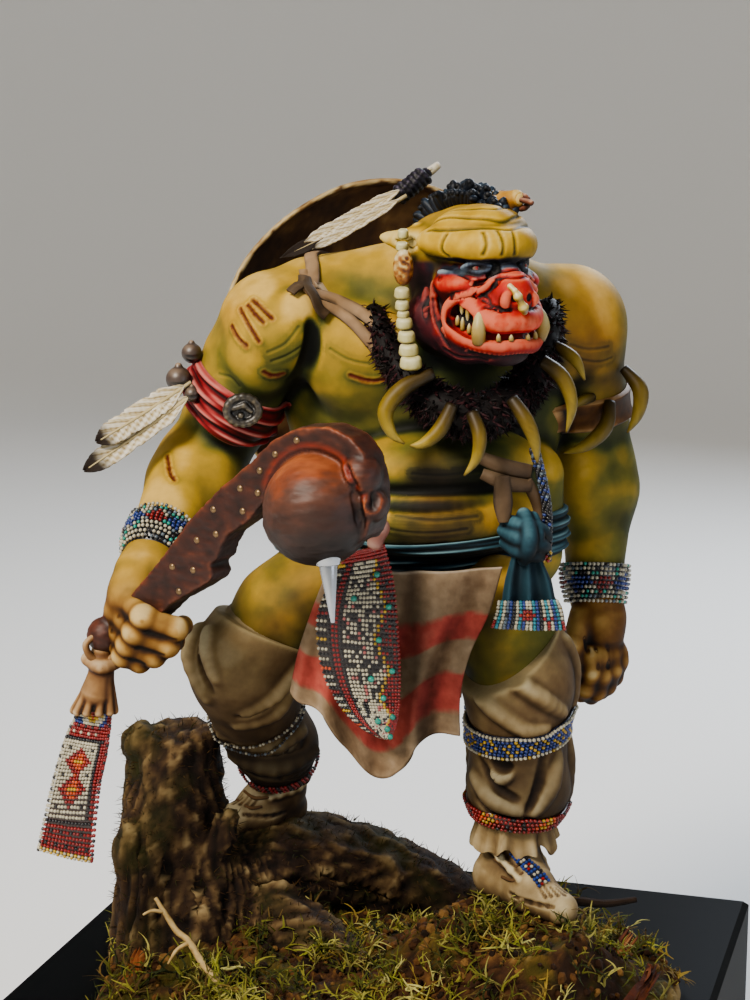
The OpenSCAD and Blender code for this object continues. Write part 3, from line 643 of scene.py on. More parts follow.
def beaded(rows, chart, radius, seed=2, jitter=0.12):
    """Beads on rows of (point, normal) pairs, coloured from a chart of letters."""
    dice = random.Random(seed)
    places, colours = [], []
    for i, row in enumerate(rows):
        letters = chart[i % len(chart)]
        for k, (at, normal) in enumerate(row):
            letter = letters[k % len(letters)]
            if letter == ".":
                continue
            places.append(Vector(at) + Vector(normal) * radius * 0.35
                          + Vector([dice.uniform(-1, 1) * radius * jitter for _ in range(3)]))
            colours.append(rgb(BEAD_COLOURS[letter]) * dice.uniform(0.7, 1.15))
    return scattered(BEAD, places, np.array([[radius] * 3] * len(places)), colours)


def near_curve(co, points):
    """Distance from each point to a polyline."""
    d = np.full(len(co), 1e3)
    for a, b in zip(points, points[1:]):
        a, b = np.array(a), np.array(b)
        t = np.clip((co - a) @ (b - a) / ((b - a) @ (b - a)), 0, 1)
        d = np.minimum(d, np.linalg.norm(co - a - t[:, None] * (b - a), axis=1))
    return d


def nearest_path(co, paths):
    """Distance from each point to the nearest of several polylines."""
    return np.min([near_curve(co, path) for path in paths], 0)


def finer_near(mesh, paths, reach, cuts=2):
    """Split the faces beside some paths, so that small marks there are sharp."""
    bm = bmesh.new()
    bm.from_mesh(mesh)
    middles = np.array([(e.verts[0].co + e.verts[1].co) / 2 for e in bm.edges])
    close = nearest_path(middles, paths) < reach
    bmesh.ops.subdivide_edges(bm, edges=[e for e, near in zip(bm.edges, close) if near],
                              cuts=cuts, use_grid_fill=True)
    for face in bm.faces:
        face.smooth = True
    bm.to_mesh(mesh)
    bm.free()


def press_in(mesh, depth):
    """Move each point inwards along its normal by its own depth."""
    put_points(mesh, points_of(mesh) - normals_of(mesh) * depth[:, None])


def edge(value, width):
    """A soft step from 0 to 1 as a value passes zero."""
    return np.clip(0.5 + value / width, 0, 1)

# %% [markdown]
# ## Camera, floor and light
# The piece is seen from slightly above, close, through a moderately long lens. The camera is set
# first: the pose and the trim are judged against it. The light is a big soft box over the
# sculptor's left shoulder, a weaker fill from the right and a cool strip behind, on a pale floor.

# %% Camera
EYE = Vector((0.9, -203.2, 91.0))
TILT = math.radians(11.1)
camera_data = bpy.data.cameras.new("camera")
camera_data.lens = 75.6
camera_data.sensor_width = 36
camera_data.clip_start, camera_data.clip_end = 0.01, 5
camera = bpy.data.objects.new("camera", camera_data)
camera.location = TO_ROW @ EYE
camera.rotation_euler = (math.pi / 2 - TILT, 0, FIGURE_TURN)
bpy.context.collection.objects.link(camera)
bpy.context.scene.camera = camera
print("camera", [round(v, 4) for v in camera.location])

# %% Floor and lights
bm = bmesh.new()
profile = [(0, 0), (0.55, 0)] + [(0.55 + 0.4 * math.sin(a), 0.4 - 0.4 * math.cos(a))
                                 for a in np.linspace(0.1, math.pi / 2, 12)] + [(0.97, 1.1)]
line_verts = [bm.verts.new((x, 0, z)) for x, z in profile]
line_edges = [bm.edges.new(pair) for pair in zip(line_verts, line_verts[1:])]
bmesh.ops.spin(bm, geom=line_verts + line_edges, axis=(0, 0, 1), cent=(0, 0, 0),
               angle=2 * math.pi, steps=64)
bmesh.ops.remove_doubles(bm, verts=bm.verts, dist=0.0001)
bmesh.ops.recalc_face_normals(bm, faces=bm.faces)
floor_mesh = from_bmesh(bm)
floor_mesh.shade_smooth()
floor_paper = bpy.data.materials.new("pale paper sweep")
floor_paper.use_nodes = True
floor_paper.node_tree.nodes["Principled BSDF"].inputs["Base Color"].default_value = \
    linear("#f2f1ee")
floor_paper.node_tree.nodes["Principled BSDF"].inputs["Roughness"].default_value = 0.9
floor_mesh.materials.append(floor_paper)
floor = bpy.data.objects.new("floor", floor_mesh)
bpy.context.collection.objects.link(floor)

world = bpy.data.worlds.new("studio")
world.use_nodes = True
world.node_tree.nodes["Background"].inputs["Color"].default_value = linear("#dfe6ee")
world.node_tree.nodes["Background"].inputs["Strength"].default_value = 0.2
bpy.context.scene.world = world


def soft_box(name, at, aim, size, watts, colour):
    """An area lamp in the sculptor's millimetres."""
    data = bpy.data.lights.new(name, "AREA")
    data.size, data.energy, data.color = size * MM, watts, linear(colour)[:3]
    lamp = bpy.data.objects.new(name, data)
    start, end = TO_ROW @ Vector(at), TO_ROW @ Vector(aim)
    lamp.location = start
    lamp.rotation_euler = (end - start).to_track_quat("-Z", "Y").to_euler()
    bpy.context.collection.objects.link(lamp)


CHEST = (4, 0, 55)
soft_box("key box", (-190, -260, 330), CHEST, 110, 3.2, "#fff3e2")
soft_box("fill box", (300, -220, 120), CHEST, 200, 0.35, "#e8f0ff")
soft_box("rim strip", (160, 300, 240), CHEST, 150, 1.6, "#e6f1ff")

# %% [markdown]
# ## The bare body
# Torso and arms are separate castings on the real piece, joined with putty until no seam shows, so
# here they are one skin over the joins. The masses are the big muscles: barrel chest, hunched
# back, shoulder caps, two belly rolls. Creases between them are cut with thin sausages.

# %% Torso and arm masses
R_SHOULDER = [-8.9, 1.2, 68.2, 5.5]
L_SHOULDER = [20.6, 10.6, 67.6, 5.9]

torso_forms = [
    lump([6.3, 5.4, 61.5], [12.2, 8.2, 9.2], (0, 0, 17)),
    lump([6.2, 8.8, 68.2], [12.4, 6.8, 7.0], (8, 0, 17)),
    lump([6.4, 2.6, 51], [11.2, 8.6, 7.6], (0, 0, 10)),
    lump([6.2, 3, 43.4], [10.2, 7.4, 6.6], (0, 0, 8)),
    # chest plates
    lump([0.2, -0.4, 65.2], [6.2, 4.0, 5.3], (-8, -14, 4), soft=1.4),
    lump([12.6, 2.2, 64.6], [6.2, 4.0, 5.2], (-8, 14, 26), soft=1.4),
    rod([-5.6, 0.6, 68.4, 4.3], [1.6, -0.6, 66.2, 4.2], soft=1.6),
    rod([17.2, 6.4, 67.6, 4.0], [12.4, 2.2, 65.6, 4.0], soft=1.6),
    # belly rolls
    lump([7.4, -1.6, 55.4], [9.4, 6.4, 3.5], (0, -2, 10), soft=1.0),
    lump([7.2, -2.4, 50.4], [9.9, 7.1, 3.9], (0, 0, 8), soft=0.8),
    rod([-3.4, 1.6, 52, 4.6], [-3.6, 3, 46, 4.8], soft=1.4),
    rod([16.4, 3.4, 53, 3.4], [15.4, 3.4, 45.4, 4.4], soft=1.4),
    # broad muscles of the back
    rod([-5.2, 5.6, 66, 4.6], [-3.0, 5.4, 56, 4.2], soft=1.6),
    rod([18.2, 10.4, 65, 4.2], [15.6, 8.2, 56, 4.0], soft=1.6),
    # yoke and neck
    rod([-5.6, 3.2, 70.8, 4.0], [2.4, 3.4, 71.6, 4.3], soft=1.8),
    rod([17.6, 9.6, 69.6, 3.8], [10.6, 6.2, 72, 4.2], soft=1.8),
    rod([2.4, 3.4, 71.2, 4.2], [8.2, 1.4, 72.6, 4.8], soft=1.8),
    rod([8.0, 3.2, 69.6, 6.0], [9.8, -2.0, 71.2, 5.0], soft=1.6),
]
right_arm_forms = [
    ball(*R_SHOULDER, soft=1.4),
    lump([-9.9, -0.9, 66.8], [3.9, 4.4, 5.6], (0, 14, 0), soft=0.9),
    lump([-7.8, 4.6, 67.8], [4.2, 3.6, 5.0], soft=1.2),
    lump([-7.4, -2.9, 68.0], [2.7, 2.3, 4.4], (0, 24, 0), soft=0.7),
    rod([-11.4, 2.2, 64.8, 4.7], [-13.6, 3.6, 59.6, 4.5], soft=1.2),
    lump([-12.2, 0.4, 62.0], [3.9, 3.5, 5.4], (-14, 16, 0), soft=1.0),
    lump([-13.2, 5.2, 61.4], [3.5, 3.0, 5.4], (0, 16, 0), soft=1.0),
    rod([-14.2, 4.0, 58.0, 4.0], [-16.2, 3.2, 54.6, 4.3], soft=1.0),
    lump([-17.2, 1.4, 53.4], [4.2, 4.0, 5.4], (-38, 18, 0), soft=1.0),
    lump([-15.6, 0.8, 52.6], [3.0, 3.6, 4.8], (-38, 18, 0), soft=0.9),
    rod([-17.8, 0.2, 52.4, 3.9], [-19.9, -7.8, 48.4, 2.7], soft=1.2),
    rod([-19.9, -7.8, 48.4, 2.7], [-20.1, -9.6, 46.4, 2.6], soft=0.8),
]
left_arm_forms = [
    ball(*L_SHOULDER, soft=1.4),
    lump([22.2, 9.6, 66.2], [4.0, 4.6, 6.2], (0, -8, 0), soft=1.2),
    lump([19.4, 7.0, 66.6], [3.4, 3.2, 5.2], (0, -4, 0), soft=1.1),
    rod([21.6, 11.4, 64, 4.6], [22.8, 12.2, 58, 4.4], soft=1.2),
    lump([22.2, 9.8, 60.4], [3.8, 3.3, 5.2], (0, -6, 0), soft=1.0),
    lump([23.4, 13.6, 60], [3.4, 3.0, 5.6], soft=1.0),
    rod([23.2, 12.6, 55.6, 4.1], [24.0, 11.8, 50.4, 4.3], soft=1.0),
    lump([22.6, 10.2, 50.8], [3.1, 3.4, 5.4], (0, -4, 0), soft=0.9),
    lump([25.2, 12, 51.0], [2.8, 3.4, 5.6], (0, -2, 0), soft=0.9),
    rod([24.0, 11.6, 49.6, 3.9], [23.8, 10.2, 41, 2.9], soft=1.2),
    rod([23.8, 10.2, 41, 2.9], [23.9, 9.8, 38.8, 2.7], soft=0.8),
]
body_creases = (
    groove([[-6.6, -3.0, 63.4, 0.3], [-4.6, -4.4, 60.6, 0.5], [-0.6, -5.9, 59.4, 0.55],
            [4.0, -6.7, 59.6, 0.5], [6.6, -6.2, 61.6, 0.35]], 0.9)
    + groove([[8.6, -5.8, 61.6, 0.35], [12.0, -4.8, 59.2, 0.5], [16.6, -1.8, 59.4, 0.5],
              [19.0, 1.6, 62.0, 0.3]], 0.9)
    + groove([[-4.2, -3.6, 52.9, 0.25], [0.6, -7.6, 52.5, 0.45], [7.0, -9.0, 52.6, 0.5],
              [13.2, -7.2, 53.3, 0.45], [17.2, -2.6, 54.6, 0.25]], 0.8)
    + groove([[7.6, -7.0, 63.8, 0.2], [7.9, -6.2, 67.0, 0.35], [8.4, -4.6, 70, 0.3]], 0.8)
    + groove([[-5.0, -5.0, 69.4, 0.1], [-5.0, -4.4, 67.8, 0.3], [-5.6, -3.8, 65.0, 0.45],
              [-7.0, -2.8, 62.0, 0.3]], 0.9)
    + groove([[16.6, 1.0, 70.4, 0.2], [16.4, 1.6, 67.4, 0.4], [17.6, 2.6, 63.6, 0.4]], 0.9)
    + groove([[2.6, -8.3, 56.2, 0.1], [7.0, -8.5, 57.0, 0.25], [11.6, -6.9, 57.2, 0.1]], 0.7)
    + cut([ball(7.5, -9.6, 47.9, 0.9)], 0.5)
)
# Old wounds: slashes laid on the finished muscles, each a narrow groove
muscles = torso_forms + right_arm_forms + left_arm_forms
wounds = [onto(muscles, curve(w, 4), 1.4) for w in (
    [[-11.4, -4.6, 72.3, 0.08], [-10.2, -5.2, 71.3, 0.17], [-8.9, -5.4, 69.8, 0.08]],
    [[-11.9, -4.6, 71.6, 0.08], [-10.8, -5.2, 70.5, 0.15], [-9.7, -5.4, 69.4, 0.08]],
    [[-12.8, -4.2, 71.0, 0.08], [-11.4, -5.2, 69.3, 0.17], [-10.1, -5.4, 67.5, 0.08]],
    [[-13.3, -3.8, 68.9, 0.08], [-12.4, -4.8, 67.8, 0.15], [-11.3, -5.0, 67.0, 0.08]],
    [[-9.6, -5.0, 64.4, 0.08], [-8.6, -5.2, 63.6, 0.12], [-7.4, -5.0, 63.4, 0.08]],
    [[-1.6, -5.4, 63.9, 0.08], [0.4, -6.0, 63.1, 0.2], [2.2, -6.2, 63.2, 0.08]],
    [[-20.4, -3.0, 57.6, 0.08], [-19.4, -4.2, 56.0, 0.2], [-18.4, -4.8, 54.6, 0.08]])]
body = putty(muscles + body_creases, soft=1.4, voxel=0.31)
gash_paths = [[p[:3] for p in w] for w in wounds]
folds = [[p[:3] for p in onto(muscles, curve(w, 4), 1.4)] for w in (
    [[-15.6, -3.4, 63.2, 0], [-14.0, -4.2, 62.4, 0], [-12.4, -4.4, 61.4, 0]],
    [[-15.2, -3.6, 64.2, 0], [-13.8, -4.4, 63.6, 0], [-12.6, -4.6, 62.6, 0]],
    [[-9.2, -5.6, 66.4, 0], [-7.6, -5.4, 67.2, 0], [-6.4, -4.8, 68.8, 0]],
    [[-8.8, -5.6, 65.4, 0], [-7.4, -5.4, 65.9, 0], [-6.2, -4.6, 66.9, 0]],
    [[-3.6, -5.2, 66.6, 0], [-1.8, -5.6, 65.6, 0], [0.2, -5.8, 65.2, 0]],
    [[1.6, -8.4, 50.2, 0], [5.4, -9.4, 49.8, 0], [9.6, -9.2, 50.1, 0]],
    [[3.0, -8.6, 51.2, 0], [6.6, -9.4, 51.0, 0], [10.6, -8.8, 51.3, 0]],
    [[4.4, -8.6, 55.2, 0], [7.6, -9.0, 54.9, 0], [11.2, -8.0, 55.4, 0]],
    [[20.4, 3.4, 66.0, 0], [22.4, 4.2, 65.4, 0], [24.4, 5.2, 65.6, 0]],
    [[21.0, 4.0, 64.6, 0], [23.0, 4.8, 64.0, 0], [24.8, 5.8, 64.4, 0]],
    [[-19.8, -6.4, 49.4, 0], [-18.2, -7.0, 49.0, 0], [-16.8, -6.8, 48.2, 0]])]
finer_near(body, gash_paths + folds, 0.7)
gash = nearest_path(points_of(body), gash_paths)
press_in(body, 0.14 * np.clip(1 - gash / 0.2, 0, 1) - 0.04 * np.exp(-((gash - 0.34) / 0.14) ** 2)
         + 0.06 * np.clip(1 - nearest_path(points_of(body), folds) / 0.26, 0, 1))
print("body skin:", len(body.vertices), "points")

# %% [markdown]
# Skin is painted from near-black olive in the creases, through olive and ochre, to a pale yellow
# where light falls. Warm glazes of tan sit over the far shoulder, belly and knees, and the wounds
# are glazed red.

# %% Skin paint
SKIN = [(-0.2, "#080b06"), (0.12, "#191f10"), (0.34, "#3b4123"), (0.54, "#6d6a37"),
        (0.72, "#a38c49"), (0.9, "#cca957"), (1.1, "#f0cc80")]
WARM = [(-0.2, "#0d0805"), (0.12, "#2a190d"), (0.34, "#52351a"), (0.54, "#80552f"),
        (0.72, "#a8723c"), (0.9, "#c99454"), (1.1, "#ecc488")]
WARM_SPOTS = [([7, -9, 49], 7, 0.75), ([7, -8, 55], 5, 0.45), ([22, 6, 67], 8, 0.9),
              ([26, 9, 60], 5, 0.35), ([-13, -3, 70], 4, 0.35), ([3, -4, 70], 3, 0.5)]


# Where the light that the painter imagined doesn't reach, or reaches best
DIM_SPOTS = [([13, -5, 61], 8, 0.6), ([7, -8, 57.5], 8, 0.42), ([7, -9, 50], 11, 0.26),
             ([25, 8, 52], 12, 0.1), ([22, 5, 68], 8, -0.12), ([9, -5, 67], 6, 0.4),
             ([-12, -4, 60], 5, 0.2),
             ([-6, -5, 41], 12, 0.24), ([13, -6, 40], 10, 0.2), ([-20, -7, 51], 7, -0.2),
             ([-10, -5, 71], 7, -0.12), ([0, -6, 66], 6, -0.08)]


def skin_paint(mesh, warm_spots=WARM_SPOTS, seed=3, relief_shading=3.4, light=0.46):
    co = points_of(mesh)
    haze = cloudy(co, 6.0, seed)
    base = 0.46 - sum(w * patch(co, at, r, 0.8) for at, r, w in DIM_SPOTS)
    cool = brushed(mesh, SKIN, relief_shading, light, 0.12, 2.4, seed, (3, 18), base)
    warm = brushed(mesh, WARM, relief_shading, light, 0.10, 2.4, seed, (3, 18), base)
    glow = sum(w * patch(co, at, r, 1.0) for at, r, w in warm_spots)
    return mix(cool, warm, np.clip(glow + 0.22 * haze, 0, 1))


body_tree = tree_of(body)
colours = skin_paint(body)
co = points_of(body)
gash = gash + 0.16 * cloudy(co, 0.35, 19)
colours = mix(colours, rgb("#7c3a2a"), 0.6 * np.clip(1.9 - gash / 0.22, 0, 1))
colours = mix(colours, rgb("#561a14"), 0.85 * np.clip(1.4 - gash / 0.13, 0, 1))
store_paint(body, colours)
skin_acrylic = acrylic("matt acrylic skin glazes", roughness=0.64, sheen=0.14, mottle=0.15,
                       stroke_mm=0.3,
                       relief=0.03)
placed("bare_torso_and_arms", body, skin_acrylic,
       ["torso", "right_arm", "left_arm"])

# %% Legs above the leggings
right_leg = putty([
    rod([-2.6, 3.6, 42.4, 6.2], [-7.8, 1.2, 39.2, 5.3]),
    lump([-5.6, -0.4, 41.2], [4.6, 4.4, 6.6], (0, 48, 0)),
    rod([-7.8, 1.2, 39.2, 5.3], [-12.2, 0, 33.6, 4.4]),
    lump([-7.6, 4.6, 38], [4.2, 3.8, 6.2], (0, 42, 0)),
], soft=1.4, voxel=0.32)
store_paint(right_leg, skin_paint(right_leg, [([-6, -5, 42], 8, 0.5), ([-9, -4, 38], 6, 0.4)], 5))
placed("right_thigh", right_leg, skin_acrylic, ["right_leg"])

left_leg = putty([
    rod([13.0, 2.8, 41.4, 5.8], [14.4, -1.6, 37.4, 5.1]),
    lump([12.6, -2.4, 40.6], [4.4, 3.8, 6.0], (20, 6, 0)),
    rod([14.4, -1.6, 37.4, 5.1], [15.1, -4.4, 32.4, 4.4]),
], soft=1.4, voxel=0.32)
store_paint(left_leg, skin_paint(left_leg, [([12, -6, 41], 8, 0.5)], 6))
placed("left_thigh", left_leg, skin_acrylic, ["left_leg"])

# %% [markdown]
# ## The head
# The head is a separate casting that plugs into the collar. It is a snouted, tusked brute's head:
# a heavy wrinkled brow, small deep eyes, a blunt muzzle, a corner of open mouth and long ears. The
# masses come first, then folds are laid on as thin sausages, and lines are cut between them.

# %% Head masses
SKULL = np.array([8.0, -4.0])
AHEAD, NEAR = np.array([0.5, -0.866]), np.array([-0.866, -0.5])


def face(ahead, near, z, *radius):
    """A point of the head from its own axes: ahead of the skull, to its near side, and up."""
    x, y = SKULL + AHEAD * ahead + NEAR * near
    return [x, y, z, *radius]


def both(*points):
    """The same row of points on the near side of the face and on the far side."""
    return [[face(a, side * n, *rest) for a, n, *rest in points] for side in (1, -1)]


def across(*points):
    """A row of points from the near side over the middle to the far side."""
    far = [(a, -n, *rest) for a, n, *rest in points[-2::-1]]
    return [face(*p) for p in (*points, *far)]


FACING = (0, 0, 30)
head_forms = [
    lump(face(0.6, 0, 75.2), [4.8, 5.6, 4.6], FACING),
    rod([8.0, -1.4, 70.2, 4.8], face(2.0, 0, 70.6, 4.4)),
    lump(face(5.0, 0, 77.9), [4.8, 3.8, 2.3], (-10, 0, 30)),
    rod(face(2.6, 0, 77.4, 2.9), face(6.7, 0, 77.8, 2.5)),
    rod(face(5.0, 2.3, 77.7, 2.1), face(5.0, -2.3, 77.7, 2.1)),
    lump(face(5.2, 0, 72.8), [4.2, 4.4, 3.8], FACING),
    # muzzle and nose
    rod(face(8.4, 0, 75.0, 1.3), face(10.6, 0, 73.2, 1.75), soft=0.9),
    lump(face(8.9, 0, 71.4), [3.3, 2.9, 2.2], FACING, soft=0.9),
    lump(face(11.2, 0, 72.5), [1.6, 1.1, 1.1], FACING, soft=0.9),
    # jaw and chin
    lump(face(5.6, 0, 68.4), [4.1, 4.8, 2.5], FACING),
    lump(face(9.4, 0, 67.5), [2.7, 1.8, 1.5], FACING, soft=0.9),
]
head_forms += line(curve(across((3.6, 4.8, 77.2, 0.9), (6.6, 3.6, 77.0, 1.1),
                                (8.7, 1.9, 76.9, 1.3), (9.3, 0, 77.1, 1.2)), 4), soft=0.8)
head_forms += line(curve(across((8.2, 3.3, 71.9, 0.6), (9.9, 2.8, 70.7, 0.6),
                                (11.1, 1.6, 70.2, 0.6), (11.6, 0, 70.3, 0.6)), 3), soft=0.9)
lip_curve = curve(across((6.6, 4.4, 70.2, 0.36), (7.9, 4.2, 69.0, 0.42), (9.8, 3.4, 68.3, 0.46),
                         (11.2, 1.8, 68.0, 0.5), (11.7, 0, 68.1, 0.5)), 5)
head_forms += line(lip_curve, soft=0.35)
for side in (1, -1):
    head_forms += [lump(face(6.4, 3.3 * side, 73.5), [1.8, 2.6, 1.2], FACING, soft=1.0),
                   rod(face(2.4, 3.7 * side, 70.0, 2.4), face(7.2, 2.7 * side, 68.0, 1.8),
                       soft=1.0)]
# folds: over the eyes, under them, beside the mouth, down the jaw and between the brows
folds = both((5.6, 4.6, 74.5, 0.3), (7.4, 3.7, 74.1, 0.36), (9.2, 2.1, 74.3, 0.26)) \
    + both((10.2, 1.5, 74.2, 0.25), (9.6, 2.7, 73.2, 0.42), (8.2, 3.8, 72.6, 0.45),
           (6.9, 4.5, 71.6, 0.4), (6.6, 4.6, 70.4, 0.35)) \
    + both((6.0, 4.6, 73.2, 0.25), (7.6, 4.1, 73.2, 0.34), (9.0, 3.0, 73.9, 0.22)) \
    + both((4.6, 4.7, 73.4, 0.25), (4.9, 4.7, 70.8, 0.42), (6.2, 4.3, 68.4, 0.3)) \
    + both((3.2, 4.6, 72.8, 0.25), (3.5, 4.8, 70.2, 0.42), (4.9, 4.4, 67.6, 0.3)) \
    + both((11.7, 1.2, 72.9, 0.2), (11.9, 1.6, 72.3, 0.32), (11.6, 1.4, 71.8, 0.2))
for fold in folds:
    head_forms += line([[x, y, z, r * 0.74] for x, y, z, r in curve(fold, 4)], soft=0.4)
for i, p in enumerate(lip_curve[3:-3]):
    out = np.array([p[0] - SKULL[0], p[1] - SKULL[1]]) / 12.2 * 0.22
    head_forms.append(rod([p[0] + out[0], p[1] + out[1], p[2] + 0.45, 0.16],
                          [p[0] + out[0], p[1] + out[1], p[2] - 0.5, 0.2], soft=0.14))
lids = both((7.7, 3.5, 75.0, 0.2), (8.7, 2.7, 75.5, 0.3), (9.4, 1.6, 75.2, 0.22)) \
    + both((7.7, 3.4, 74.9, 0.2), (8.7, 2.6, 74.62, 0.28), (9.4, 1.7, 74.9, 0.22))
# ears: the near one points back like a leaf, the far one stands up behind the brow
ear_forms = line(curve([[8.0, -6.0, 76.2, 1.8], [6.2, -6.4, 76.5, 1.5], [4.2, -6.0, 76.9, 1.0],
                        [1.6, -5.2, 77.3, 0.22]], 4), soft=0.7)
ear_forms += line([[6.6, -6.0, 77.7, 0.5], [4.9, -5.7, 78.1, 0.46], [4.1, -5.6, 77.7, 0.3]],
                  soft=0.4)
ear_forms += [rod([11.4, -4.4, 78.0, 1.7], [12.4, -5.6, 80.3, 1.2], soft=0.7),
              rod([12.4, -5.6, 80.3, 1.2], [14.0, -6.4, 80.9, 0.85], soft=0.5)]
head_cuts = []
for side in (1, -1):
    head_cuts += cut(rod(face(7.6, 3.9 * side, 75.2, 0.6), face(9.6, 1.6 * side, 75.1, 0.66)), 0.4)
    head_cuts += cut([ball(*face(12.3, 0.75 * side, 72.5), 0.36)], 0.2)
    head_cuts += cut([lump(face(8.4, 4.3 * side, 70.5), [1.5, 1.5, 1.0], (0, 12, 30))], 0.3)
head_cuts += groove(across((7.2, 4.5, 70.2, 0.3), (9.4, 3.9, 69.3, 0.4),
                           (11.4, 2.4, 69.0, 0.34), (12.3, 0, 69.1, 0.3)), 0.25)
creases = both((6.0, 4.9, 73.9, 0.1), (8.0, 4.0, 73.6, 0.24), (9.6, 2.6, 73.8, 0.12)) \
    + both((9.9, 2.4, 74.0, 0.12), (9.0, 3.5, 72.9, 0.24), (7.3, 4.7, 72.3, 0.14)) \
    + both((5.6, 4.9, 72.6, 0.1), (5.7, 5.0, 70.6, 0.26), (7.0, 4.5, 68.4, 0.12)) \
    + both((3.9, 5.0, 73.0, 0.1), (4.2, 5.1, 70.4, 0.26), (5.6, 4.7, 67.8, 0.12)) \
    + [across((9.6, 1.7, 75.0, 0.1), (10.1, 0.9, 74.6, 0.18), (10.4, 0, 74.5, 0.16)),
       across((10.4, 1.9, 73.5, 0.1), (11.0, 1.0, 73.9, 0.18), (11.2, 0, 73.8, 0.16))] \
    + both((8.9, 2.9, 72.4, 0.1), (10.0, 2.5, 71.7, 0.2), (11.0, 1.9, 71.3, 0.1)) \
    + both((7.0, 4.6, 73.3, 0.08), (8.4, 3.9, 72.8, 0.16), (9.4, 3.0, 72.9, 0.08)) \
    + both((7.0, 4.3, 68.9, 0.1), (9.2, 3.2, 67.4, 0.2), (11.0, 1.6, 66.9, 0.1))
for crease in creases:
    head_cuts += groove(crease, 0.25, 4)
head_cuts += cut(line([[7.0, -7.7, 76.2, 0.3], [4.6, -7.2, 76.8, 0.36], [3.0, -6.3, 77.1, 0.14]]),
                 0.3)
head_cuts += cut([lump([14.4, -7.0, 80.9], [0.5, 0.5, 0.5])], 0.2)
lid_forms = [form for lid in lids for form in line(curve(lid, 4), soft=0.15)]
head = putty(head_forms + ear_forms + head_cuts + lid_forms, soft=1.1, voxel=0.16)
wrinkles = [onto(head_forms, curve(w, 4), 1.1) for w in (
    across((4.4, 4.9, 77.9, 0), (7.2, 3.6, 78.1, 0), (9.2, 1.6, 78.3, 0), (9.8, 0, 78.0, 0)),
    across((3.8, 4.4, 78.8, 0), (6.6, 3.2, 79.3, 0), (8.4, 1.6, 79.4, 0), (9.0, 0, 79.1, 0)),
    across((3.6, 3.6, 79.6, 0), (6.0, 2.2, 80.2, 0), (7.4, 0.8, 80.2, 0), (7.7, 0, 80.0, 0)),
    [face(9.9, 1.2, 78.4, 0), face(10.2, 1.0, 77.2, 0), face(10.4, 1.1, 76.4, 0)],
    [face(10.0, -0.2, 78.4, 0), face(10.4, -0.1, 77.2, 0), face(10.5, -0.2, 76.4, 0)],
    [face(9.4, 2.4, 78.2, 0), face(9.8, 2.3, 77.2, 0), face(9.6, 2.5, 76.5, 0)],
    [face(6.6, 4.2, 77.6, 0), face(6.4, 4.5, 76.8, 0), face(6.9, 4.4, 76.2, 0)],
    across((9.9, 1.4, 74.8, 0), (10.6, 0.6, 74.5, 0), (10.7, 0, 74.4, 0)),
    across((10.3, 1.3, 74.0, 0), (11.0, 0.6, 73.8, 0), (11.2, 0, 73.7, 0)),
    *both((7.8, 3.8, 74.2, 0), (8.8, 3.2, 73.6, 0), (9.8, 2.2, 73.4, 0)),
    *both((8.2, 3.6, 71.6, 0), (9.6, 3.0, 70.9, 0), (11.2, 1.6, 70.9, 0)),
    *both((9.4, 2.6, 72.9, 0), (10.2, 2.2, 72.2, 0), (10.6, 2.0, 71.4, 0)),
    *both((9.9, 2.4, 72.0, 0), (10.9, 1.9, 71.6, 0), (11.9, 1.0, 71.4, 0)),
    *both((5.0, 5.0, 72.0, 0), (5.6, 5.0, 70.0, 0), (7.2, 4.4, 67.9, 0)),
    *both((6.4, 4.6, 67.6, 0), (8.2, 3.8, 66.9, 0), (10.0, 2.4, 66.6, 0)))]
wrinkle_gap = nearest_path(points_of(head), [[p[:3] for p in w] for w in wrinkles])
press_in(head, 0.15 * np.clip(1 - wrinkle_gap / 0.28, 0, 1))
print("head skin:", len(head.vertices), "points")

# %% [markdown]
# The head is painted as a warrior's: bare skin above, a black band across the eyes, red from the
# band down over the muzzle, and near-black purple on the jaw. Bands are measured from a curve
# through the eyes, so their edges wander a little, as a brush does.

# %% Head paint
RED = [(-0.3, "#0a0204"), (0.1, "#240406"), (0.35, "#56090a"), (0.55, "#900f0c"),
       (0.75, "#b82216"), (0.92, "#cc4230"), (1.15, "#ea8068")]
BLACK = [(-0.3, "#030305"), (0.35, "#0a0a10"), (0.65, "#1c1e2a"), (0.85, "#485464"),
         (1.1, "#98a6b0")]
JAW = [(-0.3, "#050304"), (0.2, "#10060a"), (0.5, "#260c14"), (0.75, "#4e1a20"),
       (1.0, "#944440")]
FACE = [(-0.3, "#15130a"), (0.1, "#332f12"), (0.35, "#675a24"), (0.55, "#9c8132"),
        (0.75, "#c8a144"), (0.92, "#e2be66"), (1.15, "#f8e09c")]

co = points_of(head)
wobble = 0.22 * cloudy(co, 1.2, 9, 2)
ahead = (co[:, :2] - SKULL) @ AHEAD
near = (co[:, :2] - SKULL) @ NEAR
skin = brushed(head, FACE, 4.0, 0.34, 0.08, 1.2, 4, (3, 20), base=0.42)
red = brushed(head, RED, 6.0, 0.30, 0.12, 0.8, 5, (3, 16), base=0.46)
black = brushed(head, BLACK, 4.0, 0.4, 0.05, 0.8, 6, (3, 16), base=0.36)
jaw = brushed(head, JAW, 6.0, 0.3, 0.12, 0.9, 7, (3, 16), base=0.42)
colours = mix(skin, red, edge(75.3 - co[:, 2] + wobble, 0.4) * edge(ahead - 4.4 + wobble, 1.0))
low = edge(68.4 + 0.22 * (10 - ahead) - co[:, 2] + wobble, 1.4)
side = edge(5.6 - ahead + 0.35 * (71 - co[:, 2]) + 2 * wobble, 2.0) * edge(75.6 - co[:, 2], 1.0)
colours = mix(colours, jaw, np.maximum(low, side) * edge(76.2 - co[:, 2], 1.2)
              * edge(ahead + 2.0, 2.0))
